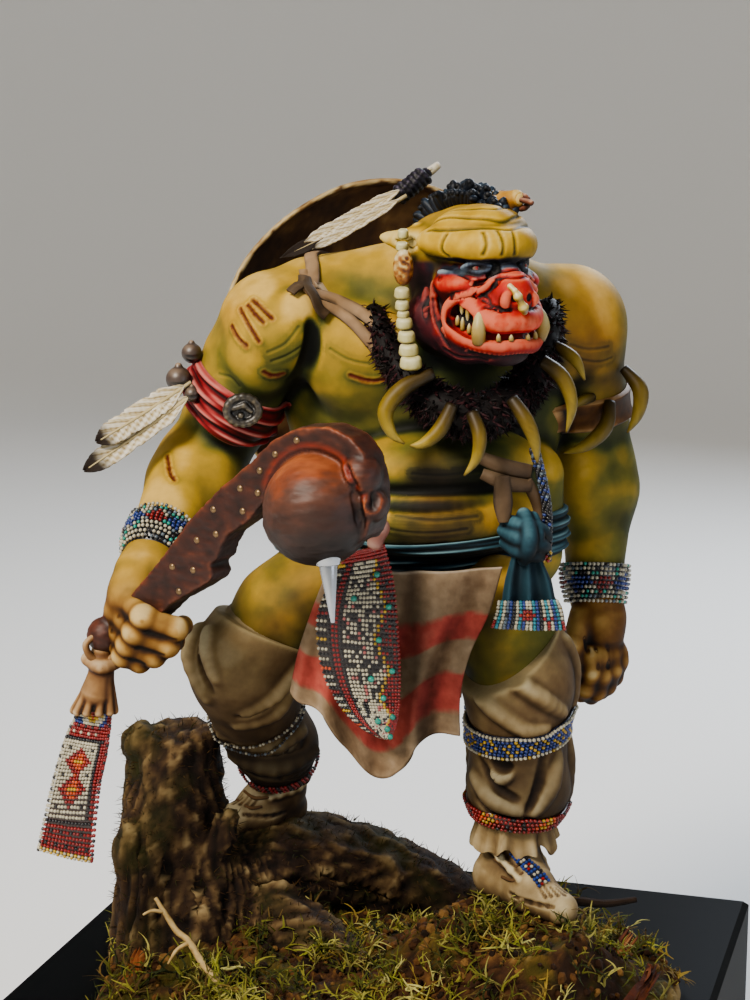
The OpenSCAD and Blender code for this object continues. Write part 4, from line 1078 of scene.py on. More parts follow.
near_lip = np.clip(1.4 - near_curve(co, [p[:3] for p in lip_curve]) / 0.62, 0, 1)
colours = mix(colours, brushed(head, RED, 6.0, 0.36, 0.05, 0.8, 5, (3, 16), base=0.54), near_lip)
for eye_side in (1, -1):
    stripe = [face(3.6, 5.0 * eye_side, 75.0), face(7.4, 3.9 * eye_side, 75.15),
              face(9.6, 1.9 * eye_side, 75.2), face(10.0, 0, 75.6)]
    colours = mix(colours, black, edge(0.95 + wobble - near_curve(co, stripe), 0.35)
                  * edge(ahead - 2.6, 1.5) * edge(76.0 - co[:, 2], 0.3))
    # A grey-blue painted highlight over each eyelid.
    colours = mix(colours, rgb("#5c6c7c"),
                  0.75 * patch(co, face(7.7, 3.9 * eye_side, 74.95), 0.9, 0.8))
    # Near-black in the hollow of each open mouth corner: painted shade.
    colours = mix(colours, rgb("#050203"),
                  edge(0.9 - np.linalg.norm((co - face(8.0, 3.6 * eye_side, 70.5)) / [1.4, 1.4, 1],
                                            axis=1), 0.5) * edge(-proud(head, 8), 0.02))
ear = np.clip(near_curve(co, [(8, -6, 76.2), (1.6, -5.2, 77.3)]) * -1.2 + 2.4, 0, 1)
far_ear = patch(co, (13.0, -5.8, 80.2), 2.6, 0.5)
colours = mix(colours, brushed(head, WARM, 4.0, 0.36, 0.08, 1.0, 8, (3, 12), base=0.46), far_ear)
nape = edge(-1.5 - ahead, 2.0) * (1 - ear)
store_paint(head, mix(colours, skin_paint(head, [], 8), nape))
face_acrylic = acrylic("satin acrylic war paint", roughness=0.6, sheen=0.16, mottle=0.1,
                       stroke_mm=0.2, relief=0.02)
placed("head", head, face_acrylic, ["head"])

# %% Eyes, teeth, tusks and nose ornament
def horn(points, stops, **settings):
    mesh = tube(points, **settings)
    along = np.linspace(0, 1, len(mesh.vertices))
    tint = ramp(along, stops)
    # Ivory is brighter where the tooth faces the light: painted highlight.
    store_paint(mesh, tint * (0.78 + 0.3 * lit(mesh).clip(0, 1))[:, None])
    return mesh


IVORY = [(0, "#6a4a22"), (0.3, "#b89c5c"), (0.7, "#e6d8a0"), (1, "#fbf6da")]
tusk_meshes = []
for side in (1, -1):
    tusk_meshes += [horn([face(10.2, 3.3 * side, 68.4, 0.6), face(10.5, 3.5 * side, 69.5, 0.66),
                          face(10.4, 3.4 * side, 70.6, 0.46), face(10.1, 3.1 * side, 71.6, 0.08)],
                         IVORY)]
    for a, n, z, h in ((7.6, 3.9, 69.8, 0.9), (8.3, 3.8, 69.4, 1.2), (9.1, 3.6, 69.2, 0.9),
                       (11.5, 2.0, 68.6, 0.7), (11.9, 0.9, 68.6, 0.6)):
        tusk_meshes.append(horn([face(a, n * side, z, 0.22), face(a, n * side, z + h * 0.6, 0.2),
                                 face(a, n * side, z + h, 0.04)], IVORY, sides=8))
    for a, n, z, h in ((8.0, 3.7, 71.6, 0.8), (8.8, 3.6, 71.3, 1.0)):
        tusk_meshes.append(horn([face(a, n * side, z, 0.2), face(a, n * side, z - h * 0.6, 0.18),
                                 face(a, n * side, z - h, 0.04)], IVORY, sides=8))
ivory_acrylic = acrylic("satin acrylic ivory", roughness=0.42, sheen=0.4, mottle=0.1,
                        stroke_mm=0.25)
placed("tusks_and_teeth", joined(tusk_meshes), ivory_acrylic, ["tusks"])

eyes = []
for side in (1, -1):
    at = face(8.45, 2.45 * side, 75.05)
    bm = bmesh.new()
    bmesh.ops.create_uvsphere(bm, u_segments=24, v_segments=16, radius=0.52,
                              matrix=Matrix.Translation(at))
    eye = from_bmesh(bm)
    gaze = np.array(at) + 0.52 * np.array([0.35, -0.93, -0.05])
    d = np.linalg.norm(points_of(eye) - gaze, axis=1)
    tint = mix(rgb("#7c6a60"), rgb("#8e1c12"), edge(0.32 - d, 0.08))
    store_paint(eye, mix(tint, rgb("#0a0606"), edge(0.14 - d, 0.05)))
    eyes.append(eye)
gloss_varnish = acrylic("gloss varnish over acrylic", roughness=0.15, sheen=0.6, mottle=0.05)
placed("eyes", joined(eyes), gloss_varnish)

ornament = putty(line([face(12.2, 1.3, 73.6, 0.26), face(12.7, 1.1, 73.2, 0.24),
                       face(12.9, 0.9, 72.7, 0.4), face(12.9, 0.6, 72.2, 0.28),
                       face(12.9, 0.3, 71.7, 0.46), face(12.8, 0.1, 71.3, 0.3)]),
                 soft=0.15, voxel=0.09)
store_paint(ornament, brushed(ornament, [(0, "#3a2a10"), (0.4, "#8a6a2c"), (0.7, "#d2b45e"),
                                         (1, "#fff2c4")], 4.0, 0.5))
placed("nose_ornament", ornament, acrylic("old gold acrylic", roughness=0.38, sheen=0.7,
                                          mottle=0.1), ["nose_ornament"])

# %% [markdown]
# ## Hands
# Both hands are thick and short-fingered. The right one closes round the club's grip with its
# back to the viewer, so each finger is a bent sausage that crosses the front of the handle. Small
# balls make knuckles, and cuts between the fingers keep them apart.

# %% Hands
CLUB_SIDE = Vector((-0.547, -0.837, 0))


def club_y(x):
    """The club is flat, so a place along it fixes how near it stands."""
    return -15 - 0.6535 * (x + 19.9)


gripping = []
for knuckle, front, end, r in (
        ([-22.2, -13.6, 44.6], [-20.2, -17.4, 43.6], [-17.3, -17.3, 42.5], 1.12),
        ([-23.0, -13.2, 43.1], [-21.0, -17.1, 42.1], [-18.1, -17.0, 40.9], 1.12),
        ([-23.5, -12.8, 41.7], [-21.7, -16.5, 40.8], [-19.4, -16.6, 39.8], 1.08),
        ([-23.4, -12.6, 40.4], [-22.3, -15.8, 39.6], [-20.8, -15.9, 39.0], 0.98)):
    tip = [end[0] + 0.5, end[1] + 1.8, end[2] - 0.1]
    gripping += line([knuckle + [r * 1.04], front + [r], end + [r * 0.98], tip + [r * 0.85]], 0.45)
    gripping += [ball(*knuckle, r * 1.12, 0.7), ball(*front, r * 1.03, 0.4)]
hand_creases = cut(line([[-22.6, -15.6, 43.2, 0.12], [-19.6, -18.4, 42.4, 0.14],
                         [-17.2, -18.3, 41.7, 0.1]]), 0.25)
hand_creases += cut(line([[-23.4, -15.0, 41.7, 0.12], [-20.6, -17.9, 40.8, 0.14],
                          [-18.4, -18.0, 40.2, 0.1]]), 0.25)
hand_creases += cut(line([[-23.6, -14.4, 40.6, 0.12], [-21.8, -17.0, 39.8, 0.14],
                          [-20.2, -17.2, 39.3, 0.1]]), 0.25)
hand_creases += cut(line([[-19.2, -12.4, 47.2, 0.1], [-20.4, -13.8, 46.3, 0.2],
                          [-21.9, -13.4, 46.0, 0.1]]), 0.4)
right_hand = putty([
    rod([-20.1, -8.4, 47.6, 2.7], [-20.6, -10.8, 46.0, 2.9]),
    rod([-20.6, -10.8, 46.0, 2.9], [-21.0, -12.8, 43.6, 3.0]),
    lump([-21.4, -12.6, 44.4], [2.6, 2.7, 2.9], (0, -20, 0)),
    rod([-19.4, -11.6, 46.4, 1.5], [-17.4, -14.4, 45.6, 1.1]),
] + gripping + hand_creases, soft=0.8, voxel=0.19)
HAND = [(-0.2, "#0e0805"), (0.12, "#24160c"), (0.34, "#482e18"), (0.54, "#6e4c2a"),
        (0.72, "#947044"), (0.9, "#bd9862"), (1.1, "#e6cc98")]
hand_co = points_of(right_hand)
hand_paint = brushed(right_hand, HAND, 4.6, 0.45, 0.1, 1.5, 11, (3, 16), base=0.4)
store_paint(right_hand, mix(hand_paint, skin_paint(right_hand, [], 12),
                            0.75 * edge(hand_co[:, 2] - 46.0, 3.0)))
placed("right_hand_grip", right_hand, skin_acrylic, ["right_hand"])

hanging = []
for i, (x, y) in enumerate(((22.9, 6.9), (24.0, 7.5), (25.1, 8.3), (26.0, 9.3))):
    r = (1.08, 1.12, 1.08, 0.96)[i]
    drop = (0.4, 0.0, 0.3, 0.9)[i]
    hanging += line([[x, y, 33.4, r * 1.1], [x + 0.3, y - 0.9, 31.4 + drop, r],
                     [x - 0.1, y - 0.4, 29.6 + drop, r * 0.94],
                     [x - 0.5, y + 0.8, 28.6 + drop, r * 0.82]], 0.42)
    hanging += [ball(x + 0.2, y - 0.6, 33.2, r * 1.04, 0.7)]
left_hand = putty([
    rod([23.9, 9.8, 39.4, 2.7], [24.3, 9.3, 37.0, 2.8]),
    lump([24.4, 8.9, 35.4], [2.5, 2.5, 3.2], (0, 0, 30)),
    rod([22.4, 8.2, 37.2, 1.4], [21.3, 6.5, 34.4, 1.2], 0.6),
    rod([21.3, 6.5, 34.4, 1.2], [21.5, 5.8, 31.9, 0.95], 0.4),
] + hanging + cut(line([[22.4, 6.2, 35.4, 0.1], [23.0, 5.6, 33.4, 0.2]]), 0.3)
    + cut(line([[23.6, 6.2, 34.8, 0.1], [23.7, 5.4, 32.4, 0.18]]), 0.3)
    + cut(line([[24.8, 6.8, 34.8, 0.1], [24.9, 6.0, 32.4, 0.18]]), 0.3),
    soft=0.7, voxel=0.2)
store_paint(left_hand, brushed(left_hand, HAND, 4.0, 0.42, 0.1, 1.5, 13, (3, 16), base=0.44))
placed("left_hand_hanging", left_hand, skin_acrylic, ["left_hand"])

# %% [markdown]
# ## War club
# The club is one plank sawn to a gunstock outline, with a big ball carved at its head and a beak
# that wraps over the ball. The outline is a bmesh face extruded to the plank's thickness. Ball and
# plank are voxel remeshed together, which also rounds the edges like handled wood.

# %% Club
def plank(bm, outline, thick):
    """A flat outline in x and z, stood along the club's line and given thickness."""
    half = CLUB_SIDE * thick / 2
    verts = [bm.verts.new(Vector((x, club_y(x), z)) - half) for x, z in outline]
    face = bm.faces.new(verts)
    grown = bmesh.ops.extrude_face_region(bm, geom=[face])
    moved = [g for g in grown["geom"] if isinstance(g, bmesh.types.BMVert)]
    bmesh.ops.translate(bm, verts=moved, vec=half * 2)
    bmesh.ops.recalc_face_normals(bm, faces=bm.faces)


def skinned(bm, voxel, rounds=2):
    """Voxel remesh of the solids in a bmesh, with corners worn a little."""
    bmesh.ops.triangulate(bm, faces=bm.faces)
    rough = bpy.data.objects.new("rough", from_bmesh(bm))
    bpy.context.collection.objects.link(rough)
    skin = rough.modifiers.new("skin", "REMESH")
    skin.mode, skin.voxel_size = "VOXEL", voxel * FINE
    out = bpy.data.meshes.new_from_object(
        rough.evaluated_get(bpy.context.evaluated_depsgraph_get()))
    bpy.data.objects.remove(rough)
    put_points(out, averaged(points_of(out), edges_of(out), rounds))
    return out


club_outline = [(-24.0, 42.6), (-21.2, 44.8), (-17.4, 49.6), (-14.9, 53.2), (-12.0, 56.4),
                (-9.2, 59.0), (-7.2, 61.2), (-5.0, 62.5), (-2.4, 62.9), (-0.4, 62.2),
                (0.8, 60.8), (1.4, 58.6), (1.5, 56.2), (1.0, 54.0), (0.4, 53.2),
                (-1.2, 55.4), (-1.6, 57.6), (-4.0, 58.2), (-7.4, 56.4), (-9.6, 53.6),
                (-10.4, 53.0), (-11.3, 52.3), (-12.0, 51.0), (-12.4, 49.8), (-13.1, 49.3),
                (-12.8, 48.5), (-13.0, 47.8), (-14.5, 46.7), (-16.7, 45.2), (-19.4, 42.4),
                (-23.0, 39.8), (-24.4, 40.6)]
BALL_AT = Vector((-4.0, -26.6, 55.6))
bm = bmesh.new()
plank(bm, club_outline, 3.0)
bmesh.ops.create_icosphere(bm, subdivisions=5, radius=4.95, matrix=Matrix.Translation(BALL_AT))
for at, r in (((-24.3, -13.2, 40.9), 1.75), ((-0.3, -28.6, 58.9), 1.9), ((0.5, -28.8, 56.4), 1.6)):
    bmesh.ops.create_icosphere(bm, subdivisions=3, radius=r, matrix=Matrix.Translation(at))
club = skinned(bm, 0.17)
co = points_of(club)
from_ball = np.linalg.norm(co - np.array(BALL_AT), axis=1)
beak_line = [(-2.0, -29.6, 60.4), (-0.9, -30.2, 58.6), (-0.5, -30.4, 56.6), (-0.2, -30.3, 54.8)]
socket = [(0.9, -30.2, 57.2), (0.7, -30.3, 56.6)]
seam = np.clip(1 - np.abs(from_ball - 5.05) / 0.32, 0, 1) * edge(co[:, 2] - 54.6, 1.0)
carve = 0.30 * seam + 0.55 * np.clip(1 - near_curve(co, beak_line) / 0.45, 0, 1)
carve += 0.8 * np.clip(1 - near_curve(co, socket) / 0.7, 0, 1)
carve += 0.06 * cloudy(co * np.array([0.5, 1, 1.6]), 0.9, 21, 2)
put_points(club, co - normals_of(club) * carve[:, None])
WOOD = [(-0.2, "#060303"), (0.1, "#120808"), (0.32, "#26120e"), (0.54, "#402118"),
        (0.72, "#633626"), (0.88, "#945036"), (1.05, "#d08a62")]
BALL = [(-0.2, "#080506"), (0.15, "#160f10"), (0.35, "#2e1f1b"), (0.55, "#4a3027"),
        (0.72, "#724838"), (0.86, "#a45a3e"), (1.0, "#cc7a54")]
n = normals_of(club)
plank_paint = brushed(club, WOOD, 1.7, 0.24, 0.16, 1.1, 22, (4, 18), base=0.34)
# The ball is painted lighter towards its top and darker on the side away from the light: painted
# light and shade over the noise streaks.
height = (co[:, 2] - BALL_AT.z) / 4.95
tone = 0.5 + 0.46 * height - 0.12 * n[:, 0] + 0.12 * cloudy(co * np.array([0.6, 1, 1.4]), 1.5, 23)
ball_paint = ramp(tone, BALL)
on_ball = edge(5.08 - from_ball, 0.12) * edge(from_ball - 4.6, 0.2)
wood_paint = mix(plank_paint, ball_paint, on_ball)
# Near-black in the carved seam round the ball, the beak line and the socket: painted shade.
wood_paint = mix(wood_paint, rgb("#0a0405"), 0.8 * np.clip(carve / 0.5, 0, 1))
rim = np.clip(1 - np.abs(from_ball - 5.5) / 0.5, 0, 1) * edge(co[:, 2] - 57, 1.0)
wood_paint = mix(wood_paint, rgb("#a03a1c"), 0.6 * rim * (1 - on_ball) * edge(n[:, 2] + 0.2, 0.8))
store_paint(club, wood_paint)
club_acrylic = acrylic("acrylic painted wood, satin", roughness=0.5, sheen=0.3, mottle=0.24,
                       stroke_mm=0.3, relief=0.06, stretch=(0.5, 1.0, 1.4))
placed("war_club_ball_headed", club, club_acrylic, ["war_club"])

# %% Spike and tacks
bm = bmesh.new()
spike_way = Vector((0.4, -0.75, -5.4))
turn = spike_way.to_track_quat("Z", "Y").to_matrix().to_4x4()
root = Vector((-3.1, -28.6, 51.6))
bmesh.ops.create_cone(bm, cap_ends=True, segments=32, radius1=1.0, radius2=0.16, depth=6.4,
                      matrix=Matrix.Translation(root + spike_way * 0.42) @ turn)
bmesh.ops.create_cone(bm, cap_ends=True, segments=32, radius1=1.25, radius2=1.0, depth=0.9,
                      matrix=Matrix.Translation(root + spike_way.normalized() * 0.1) @ turn)
tip_edges = [e for e in bm.edges if e.calc_face_angle(0) > 0.9]
bmesh.ops.bevel(bm, geom=tip_edges, offset=0.1, affect="EDGES", segments=3, profile=0.5,
                material=-1)
spike = from_bmesh(bm)
ground_steel = acrylic("ground steel, metallic acrylic", roughness=0.22, metallic=0.9,
                       mottle=0.12, stroke_mm=0.5, colour="#aeb4bc", relief=0.02)
placed("club_spike_steel", spike, ground_steel, ["club_spike"])

bm = bmesh.new()
FLATTENED = Matrix.Diagonal((1, 1, 0.7, 1))
tacks = [(-8.3, 58.4), (-10.1, 56.6), (-8.5, 56.4), (-9.9, 54.6), (-12.4, 52.2), (-14.2, 51.4),
         (-14.6, 48.6), (-16.6, 48.6), (-5.0, 61.4), (-6.9, 60.0), (-12.6, 54.4), (-16.0, 46.4)]
for x, z in tacks:
    for side in (1, -1):
        at = Vector((x, club_y(x), z)) + CLUB_SIDE * 1.42 * side
        turn = (CLUB_SIDE * side).to_track_quat("Z", "Y").to_matrix().to_4x4()
        bmesh.ops.create_uvsphere(bm, u_segments=14, v_segments=10, radius=0.34,
                                  matrix=Matrix.Translation(at) @ turn @ FLATTENED)
tack_brass = acrylic("dull brass acrylic", roughness=0.35, metallic=0.75, colour="#7d6648",
                     mottle=0.2, stroke_mm=0.3)
placed("club_tacks_brass", from_bmesh(bm), tack_brass, ["club_tacks"])

# %% [markdown]
# ## Thong, collar and beaded drop
# A rawhide thong goes through the butt, and a beaded tab hangs from a fringed leather collar.
# The tab is a stiff sheet. Its beads are laid in rows from a chart, as a bead worker reads one.

# %% Thong and collar
LEATHER = [(-0.2, "#0c0705"), (0.12, "#22130c"), (0.34, "#452a19"), (0.54, "#6c4a30"),
           (0.72, "#94714f"), (0.9, "#bb9a76"), (1.1, "#e0c8a6")]
thong = joined([tube([[-24.9, -14.2, 41.2, 0.3], [-25.9, -14.6, 40.4, 0.34],
                      [-25.6, -14.4, 39.2, 0.36], [-24.6, -14.2, 38.4, 0.36]], 5, 8),
                tube([[-23.4, -14.0, 40.9, 0.3], [-22.9, -14.2, 39.9, 0.34],
                      [-23.6, -14.2, 38.9, 0.36], [-24.4, -14.1, 38.2, 0.36]], 5, 8)])
store_paint(thong, brushed(thong, LEATHER, 1.0, 0.42))
collar = putty(
    line(curve([[-26.0, -13.3, 38.6, 0.55], [-24.6, -14.6, 38.2, 0.62], [-23.2, -13.4, 38.4, 0.55],
                [-24.4, -12.2, 38.6, 0.55], [-26.0, -13.3, 38.6, 0.55]], 4), 0.3)
    + [rod([-24.6, -13.4, 39.4, 1.0], [-24.7, -13.4, 37.4, 1.05]),
       rod([-24.7, -13.4, 37.4, 1.15], [-25.2, -13.3, 35.4, 1.5])]
    + [rod([-24.7 + 0.75 * math.cos(a), -13.4 + 0.75 * math.sin(a), 37.0, 0.36],
           [-25.5 + 1.9 * math.cos(a), -13.3 + 0.9 * math.sin(a), 33.6 + 0.5 * math.sin(5 * a),
            0.42],
           0.18) for a in np.linspace(0, 2 * math.pi, 11)[:-1]],
    soft=0.4, voxel=0.14)
store_paint(collar, brushed(collar, LEATHER, 3.6, 0.42, 0.05, 1.2, 24, (3, 12)))
leather_acrylic = acrylic("matt acrylic leather", roughness=0.6, mottle=0.16, stroke_mm=0.3,
                          relief=0.04)
placed("drop_collar_fringe", collar, leather_acrylic, ["drop_collar"])
placed("butt_thong", thong, leather_acrylic, ["thong_loop"])

# %% Beaded drop
def between_curves(left, right, rows, columns, normal=(0, -1, 0.05), bulge=0.0):
    """Rows of (point, normal) pairs that fill the strip between two curves."""
    out = []
    a, b = (np.array(curve([[*p, 0] for p in side], 12))[:, :3] for side in (left, right))
    for i in range(rows):
        at = i / (rows - 1)
        p, q = (np.array([np.interp(at, np.linspace(0, 1, len(c)), c[:, k]) for k in range(3)])
                for c in (a, b))
        row = []
        for k in range(columns):
            t = k / (columns - 1)
            point = p + (q - p) * t + np.array(normal) * bulge * math.sin(math.pi * t)
            row.append((Vector(point), Vector(normal)))
        out.append(row)
    return out


def backing(rows, thick):
    return sheet([[p for p, n in row] for row in rows], thick=thick, ease=0.06)


drop_rows = between_curves([(-26.3, -13, 34.4), (-28.1, -13.2, 30.6), (-29.6, -13.2, 25.6),
                            (-31.0, -13, 19.7)],
                           [(-24.1, -13, 34.0), (-24.6, -13.2, 30.0), (-25.5, -13.2, 25.6),
                            (-26.4, -13, 18.5)], 44, 15, bulge=0.25)
DROP_CHART = """
    bbbbwwwwwwwbbbb kbbwwwyyywwwbbr wwwwwyyoyywwwbr bbwwyyorroyywbr bbbyyorrroyybbr
    bbwwyyorroyywbr wwwwwyyoyywwwbr kbbwwwyyywwwbbr bbbbwwwwwwwbbrr rrkrrkrrkrrkrrr
    rrrrrrrrrrrrrrr rwrrwrrwrrwrrrr rrrrrrrrrrrrrrr kkkkkkkkkkkkkkr wwwwwwwwwwwwkrr
    wwwwwwwwwwwwkrr wwkwwwrwwwkwkrr wwwwwrrrwwwwkrr wwwwrroorwwwkrr wwwrrooorrwwkrr
    wwrroyyyorrwkrr wwwrrooorrwwkrr wwwwrroorwwwkrr wwwwwrrrwwwwkrr wwkwwworwwkwkrr
    wwwwwrrrwwwwkrr wwwwrroorwwwkrr wwwrrooorrwwkrr wwrroyyyorrwkrr wwwrrooorrwwkrr
    wwwwrroorwwwkrr wwwwwrrrwwwwkrr wwkwwwrwwwkwkrr wwwwwwwwwwwwkrr wwwwwwwwwwwwkrr
    kkkkkkkkkkkkkkr rrrrrrrrrrrrrrr rrkrrkrrkrrkrrr rrrrrrrrrrrrrrr rrrrrrrrrrrrrrr
    rkrrkrrkrrkrrkr rrrrrrrrrrrrrrr ywywywywywywywy wywywywywywywyw
""".split()
drop_back = backing(drop_rows, 0.7)
store_paint(drop_back, brushed(drop_back, [(0, "#0c0808"), (1, "#3a2220")], 1, 0.4))
drop_front = beaded(drop_rows, DROP_CHART, 0.19, 3)
edge_beads = [[(row[0][0] + Vector((-0.2, 0.1, 0)), row[0][1]),
               (row[-1][0] + Vector((0.2, 0.1, 0)), row[-1][1])] for row in drop_rows]
drop_edge = beaded(edge_beads, ["wr", "kr", "wk"], 0.22, 4)
glass_beads = acrylic("gloss acrylic seed beads", roughness=0.3, sheen=0.6, mottle=0.08,
                      stroke_mm=0.2, relief=0.01)
placed("bead_drop_tab", joined([drop_back, drop_front, drop_edge]), glass_beads,
       ["bead_drop"])

# %% [markdown]
# ## Buckskin leggings
# Leggings are soft hide tubes, pulled up over the thigh and tied below the knee, so they sag in
# slanting folds. Folds are thin sausages laid on the surface, and a plane trims each top edge.
# The painter browns the hollows as painted shade, drybrushes sand colour onto the ridges as
# painted highlight and puts a painted highlight line along each top edge.

# %% Leggings
BUCKSKIN = [(-0.2, "#0b0705"), (0.12, "#1f150e"), (0.34, "#40301f"), (0.54, "#68533b"),
            (0.72, "#907b5a"), (0.9, "#b8a582"), (1.1, "#e2d4b0")]


def dressed(base, ridges, grooves, trims, soft, voxel, ridge_soft=0.7):
    """A soft hide tube: masses, ridges and grooves laid on them, and trimmed edges."""
    forms = list(base)
    for points in ridges:
        forms += line(curve(onto(base, points, soft), 4), ridge_soft)
    for points in grooves:
        soft_groove = [[x, y, z, r * 0.62] for x, y, z, r in onto(base, points, soft)]
        forms += groove(soft_groove, 0.7, 4)
    return putty(forms + trims, soft=soft, voxel=voxel)


left_base = [
    rod([14.2, -1.0, 38.8, 5.5], [14.9, -3.6, 34.4, 5.5]),
    lump([15.0, -4.4, 32.8], [5.3, 5.2, 4.4]),
    rod([15.0, -4.2, 30.6, 4.8], [15.1, -3.2, 27.2, 4.5]),
    rod([15.1, -3.0, 27.2, 4.7], [15.2, -2.4, 22.6, 5.1]),
    rod([15.2, -2.4, 22.6, 5.0], [14.9, -2.0, 19.6, 3.9]),
]
left_legging = dressed(left_base, [
    [[10.4, -8, 33.4, 0.3], [12.6, -9, 32.2, 0.7], [15.4, -9, 30.4, 0.5], [17.2, -8, 30.4, 0.25]],
    [[11.4, -6, 36.4, 0.25], [14.0, -8, 35.2, 0.6], [17.0, -9, 33.4, 0.65], [18.8, -7, 31.6, 0.3]],
    [[19.0, -4, 38.0, 0.4], [20.0, -3, 35.0, 0.7], [19.6, -4, 31.8, 0.5]],
    [[9.9, -5, 24.4, 0.3], [12.4, -7, 22.6, 0.75], [15.0, -8, 21.4, 0.35]],
    [[18.6, -6, 27.0, 0.3], [18.4, -7, 24.0, 0.7], [16.4, -7, 21.4, 0.3]],
    [[20.0, -2, 28.4, 0.4], [20.2, -2, 25.0, 0.7], [19.0, -2, 21.4, 0.4]],
    [[9.8, 0, 31, 0.4], [9.6, 0, 26, 0.6], [10.2, 1, 21.4, 0.4]],
    [[13, 3, 35, 0.4], [16, 3, 31, 0.6], [18, 2, 27, 0.4]],
    [[12, 3, 25, 0.4], [15, 4, 22, 0.6], [18, 2, 20, 0.4]],
    [[11.8, -7.4, 25.1, 0.16], [12.8, -8, 24.7, 0.3], [13.9, -8, 25.2, 0.14]],
], [
    [[10.0, -7, 26.0, 0.12], [12.4, -8, 23.9, 0.3], [14.8, -8, 22.8, 0.12]],
    [[10.4, -6, 21.9, 0.12], [13.4, -7, 20.6, 0.35], [16.4, -7, 20.4, 0.12]],
    [[17.0, -7, 27.4, 0.12], [17.2, -8, 24.4, 0.35], [15.8, -7, 21.8, 0.12]],
    [[12.2, -8, 26.1, 0.35], [13.0, -8, 26.0, 0.5], [13.8, -8, 26.1, 0.35]],
], [half([14.6, -3, 37.2], [-0.52, -0.28, 0.85]), half([15, -2, 18.9], [0, 0, -1])], 1.0, 0.22)
right_base = [
    rod([-8.6, 1.2, 38.6, 5.9], [-12.2, -0.4, 34.8, 5.6]),
    lump([-12.4, -1.0, 33.8], [5.0, 4.7, 4.8]),
    rod([-12.0, 0.4, 32.2, 4.9], [-10.8, 4.0, 27.2, 4.6]),
    lump([-9.6, 5.0, 25.0], [4.6, 4.5, 4.3], (0, 20, 0)),
    rod([-9.4, 6.2, 23.6, 4.3], [-9.0, 7.8, 20.6, 3.3]),
]
right_legging = dressed(right_base, [
    [[-16.6, -1, 38.4, 0.6], [-16.8, -2, 35.6, 0.7], [-15.4, -4, 32.2, 0.4]],
    [[-15.6, -3, 38.8, 0.5], [-15.2, -4, 36.6, 0.5], [-14.4, -5, 34.4, 0.3]],
    [[-5.4, -5, 34.6, 0.4], [-8.4, -5, 32.2, 0.6], [-12.0, -5, 30.4, 0.3]],
    [[-6.6, -3, 32.2, 0.3], [-9.0, -3, 30.2, 0.5], [-12.8, -3, 29.2, 0.3]],
    [[-13.8, 1, 27.6, 0.3], [-10.0, 0, 26.2, 0.7], [-6.4, 2, 26.8, 0.4]],
    [[-13.2, 3, 24.4, 0.3], [-9.4, 1, 23.2, 0.7], [-5.8, 4, 24.2, 0.4]],
    [[-12, 6, 35, 0.4], [-9, 7, 32, 0.6], [-7, 8, 28, 0.4]],
], [
    [[-5.4, -4, 33.4, 0.14], [-8.4, -5, 31.2, 0.35], [-12.6, -5, 29.8, 0.14]],
    [[-13.8, 0, 26.4, 0.14], [-9.8, -1, 24.7, 0.4], [-6.0, 2, 25.6, 0.14]],
    [[-15.9, -3, 37.6, 0.12], [-15.9, -4, 35.4, 0.3], [-15.0, -5, 33.0, 0.12]],
    [[-12.6, 3, 22.8, 0.14], [-9.2, 2, 21.8, 0.4], [-6.2, 5, 22.6, 0.14]],
], [half([-10.6, 0, 38.4], [0.38, 0.06, 0.92]), half([-9, 8, 20.2], [-0.1, 0.3, -1])], 1.0, 0.22)
for name, mesh, at, way, nodes in (
        ("left_buckskin_legging", left_legging, [14.6, -3, 37.2], [-0.52, -0.28, 0.85],
         ["left_legging"]),
        ("right_buckskin_legging", right_legging, [-10.6, 0, 38.4], [0.38, 0.06, 0.92],
         ["right_legging"])):
    co = points_of(mesh)
    paint = brushed(mesh, BUCKSKIN, 1.1, 0.40, 0.12, 2.2, 31, (4, 20), base=0.44)
    # Darker towards the bottom, from about the garter down, the right legging more: painted shade.
    low = np.clip((29.5 - co[:, 2]) / 5, 0, 1) * (0.45 if co[0, 0] > 0 else 0.75)
    paint = paint * (1 - low)[:, None]
    # A pale painted highlight along the trimmed top edge.
    gap = np.abs((co - np.array(at)) @ (np.array(way) / np.linalg.norm(way)))
    paint = mix(paint, rgb("#cdbb90"), 0.6 * np.clip(1 - gap / 0.35, 0, 1))
    # Near-black along the slit in the left legging: painted shade.
    hole = near_curve(co, [(12.2, -8.2, 26.1), (13.8, -8.3, 26.1)])
    paint = mix(paint, rgb("#080504"), np.clip(1.5 - hole / 0.5, 0, 1))
    store_paint(mesh, paint)
left_tree, right_tree = tree_of(left_legging), tree_of(right_legging)
hide_acrylic = acrylic("matt acrylic buckskin", roughness=0.78, sheen=0.2, mottle=0.18,
                       stroke_mm=0.22, relief=0.05)
placed("left_buckskin_legging", left_legging, hide_acrylic, ["left_legging"])
placed("right_buckskin_legging", right_legging, hide_acrylic, ["right_legging"])

# %% [markdown]
# Beaded garters are straps with a flat stitched field of beads. The strap is a bmesh band thrown
# round the legging by rays from the leg's axis, and each row of beads rides a ring just above it.

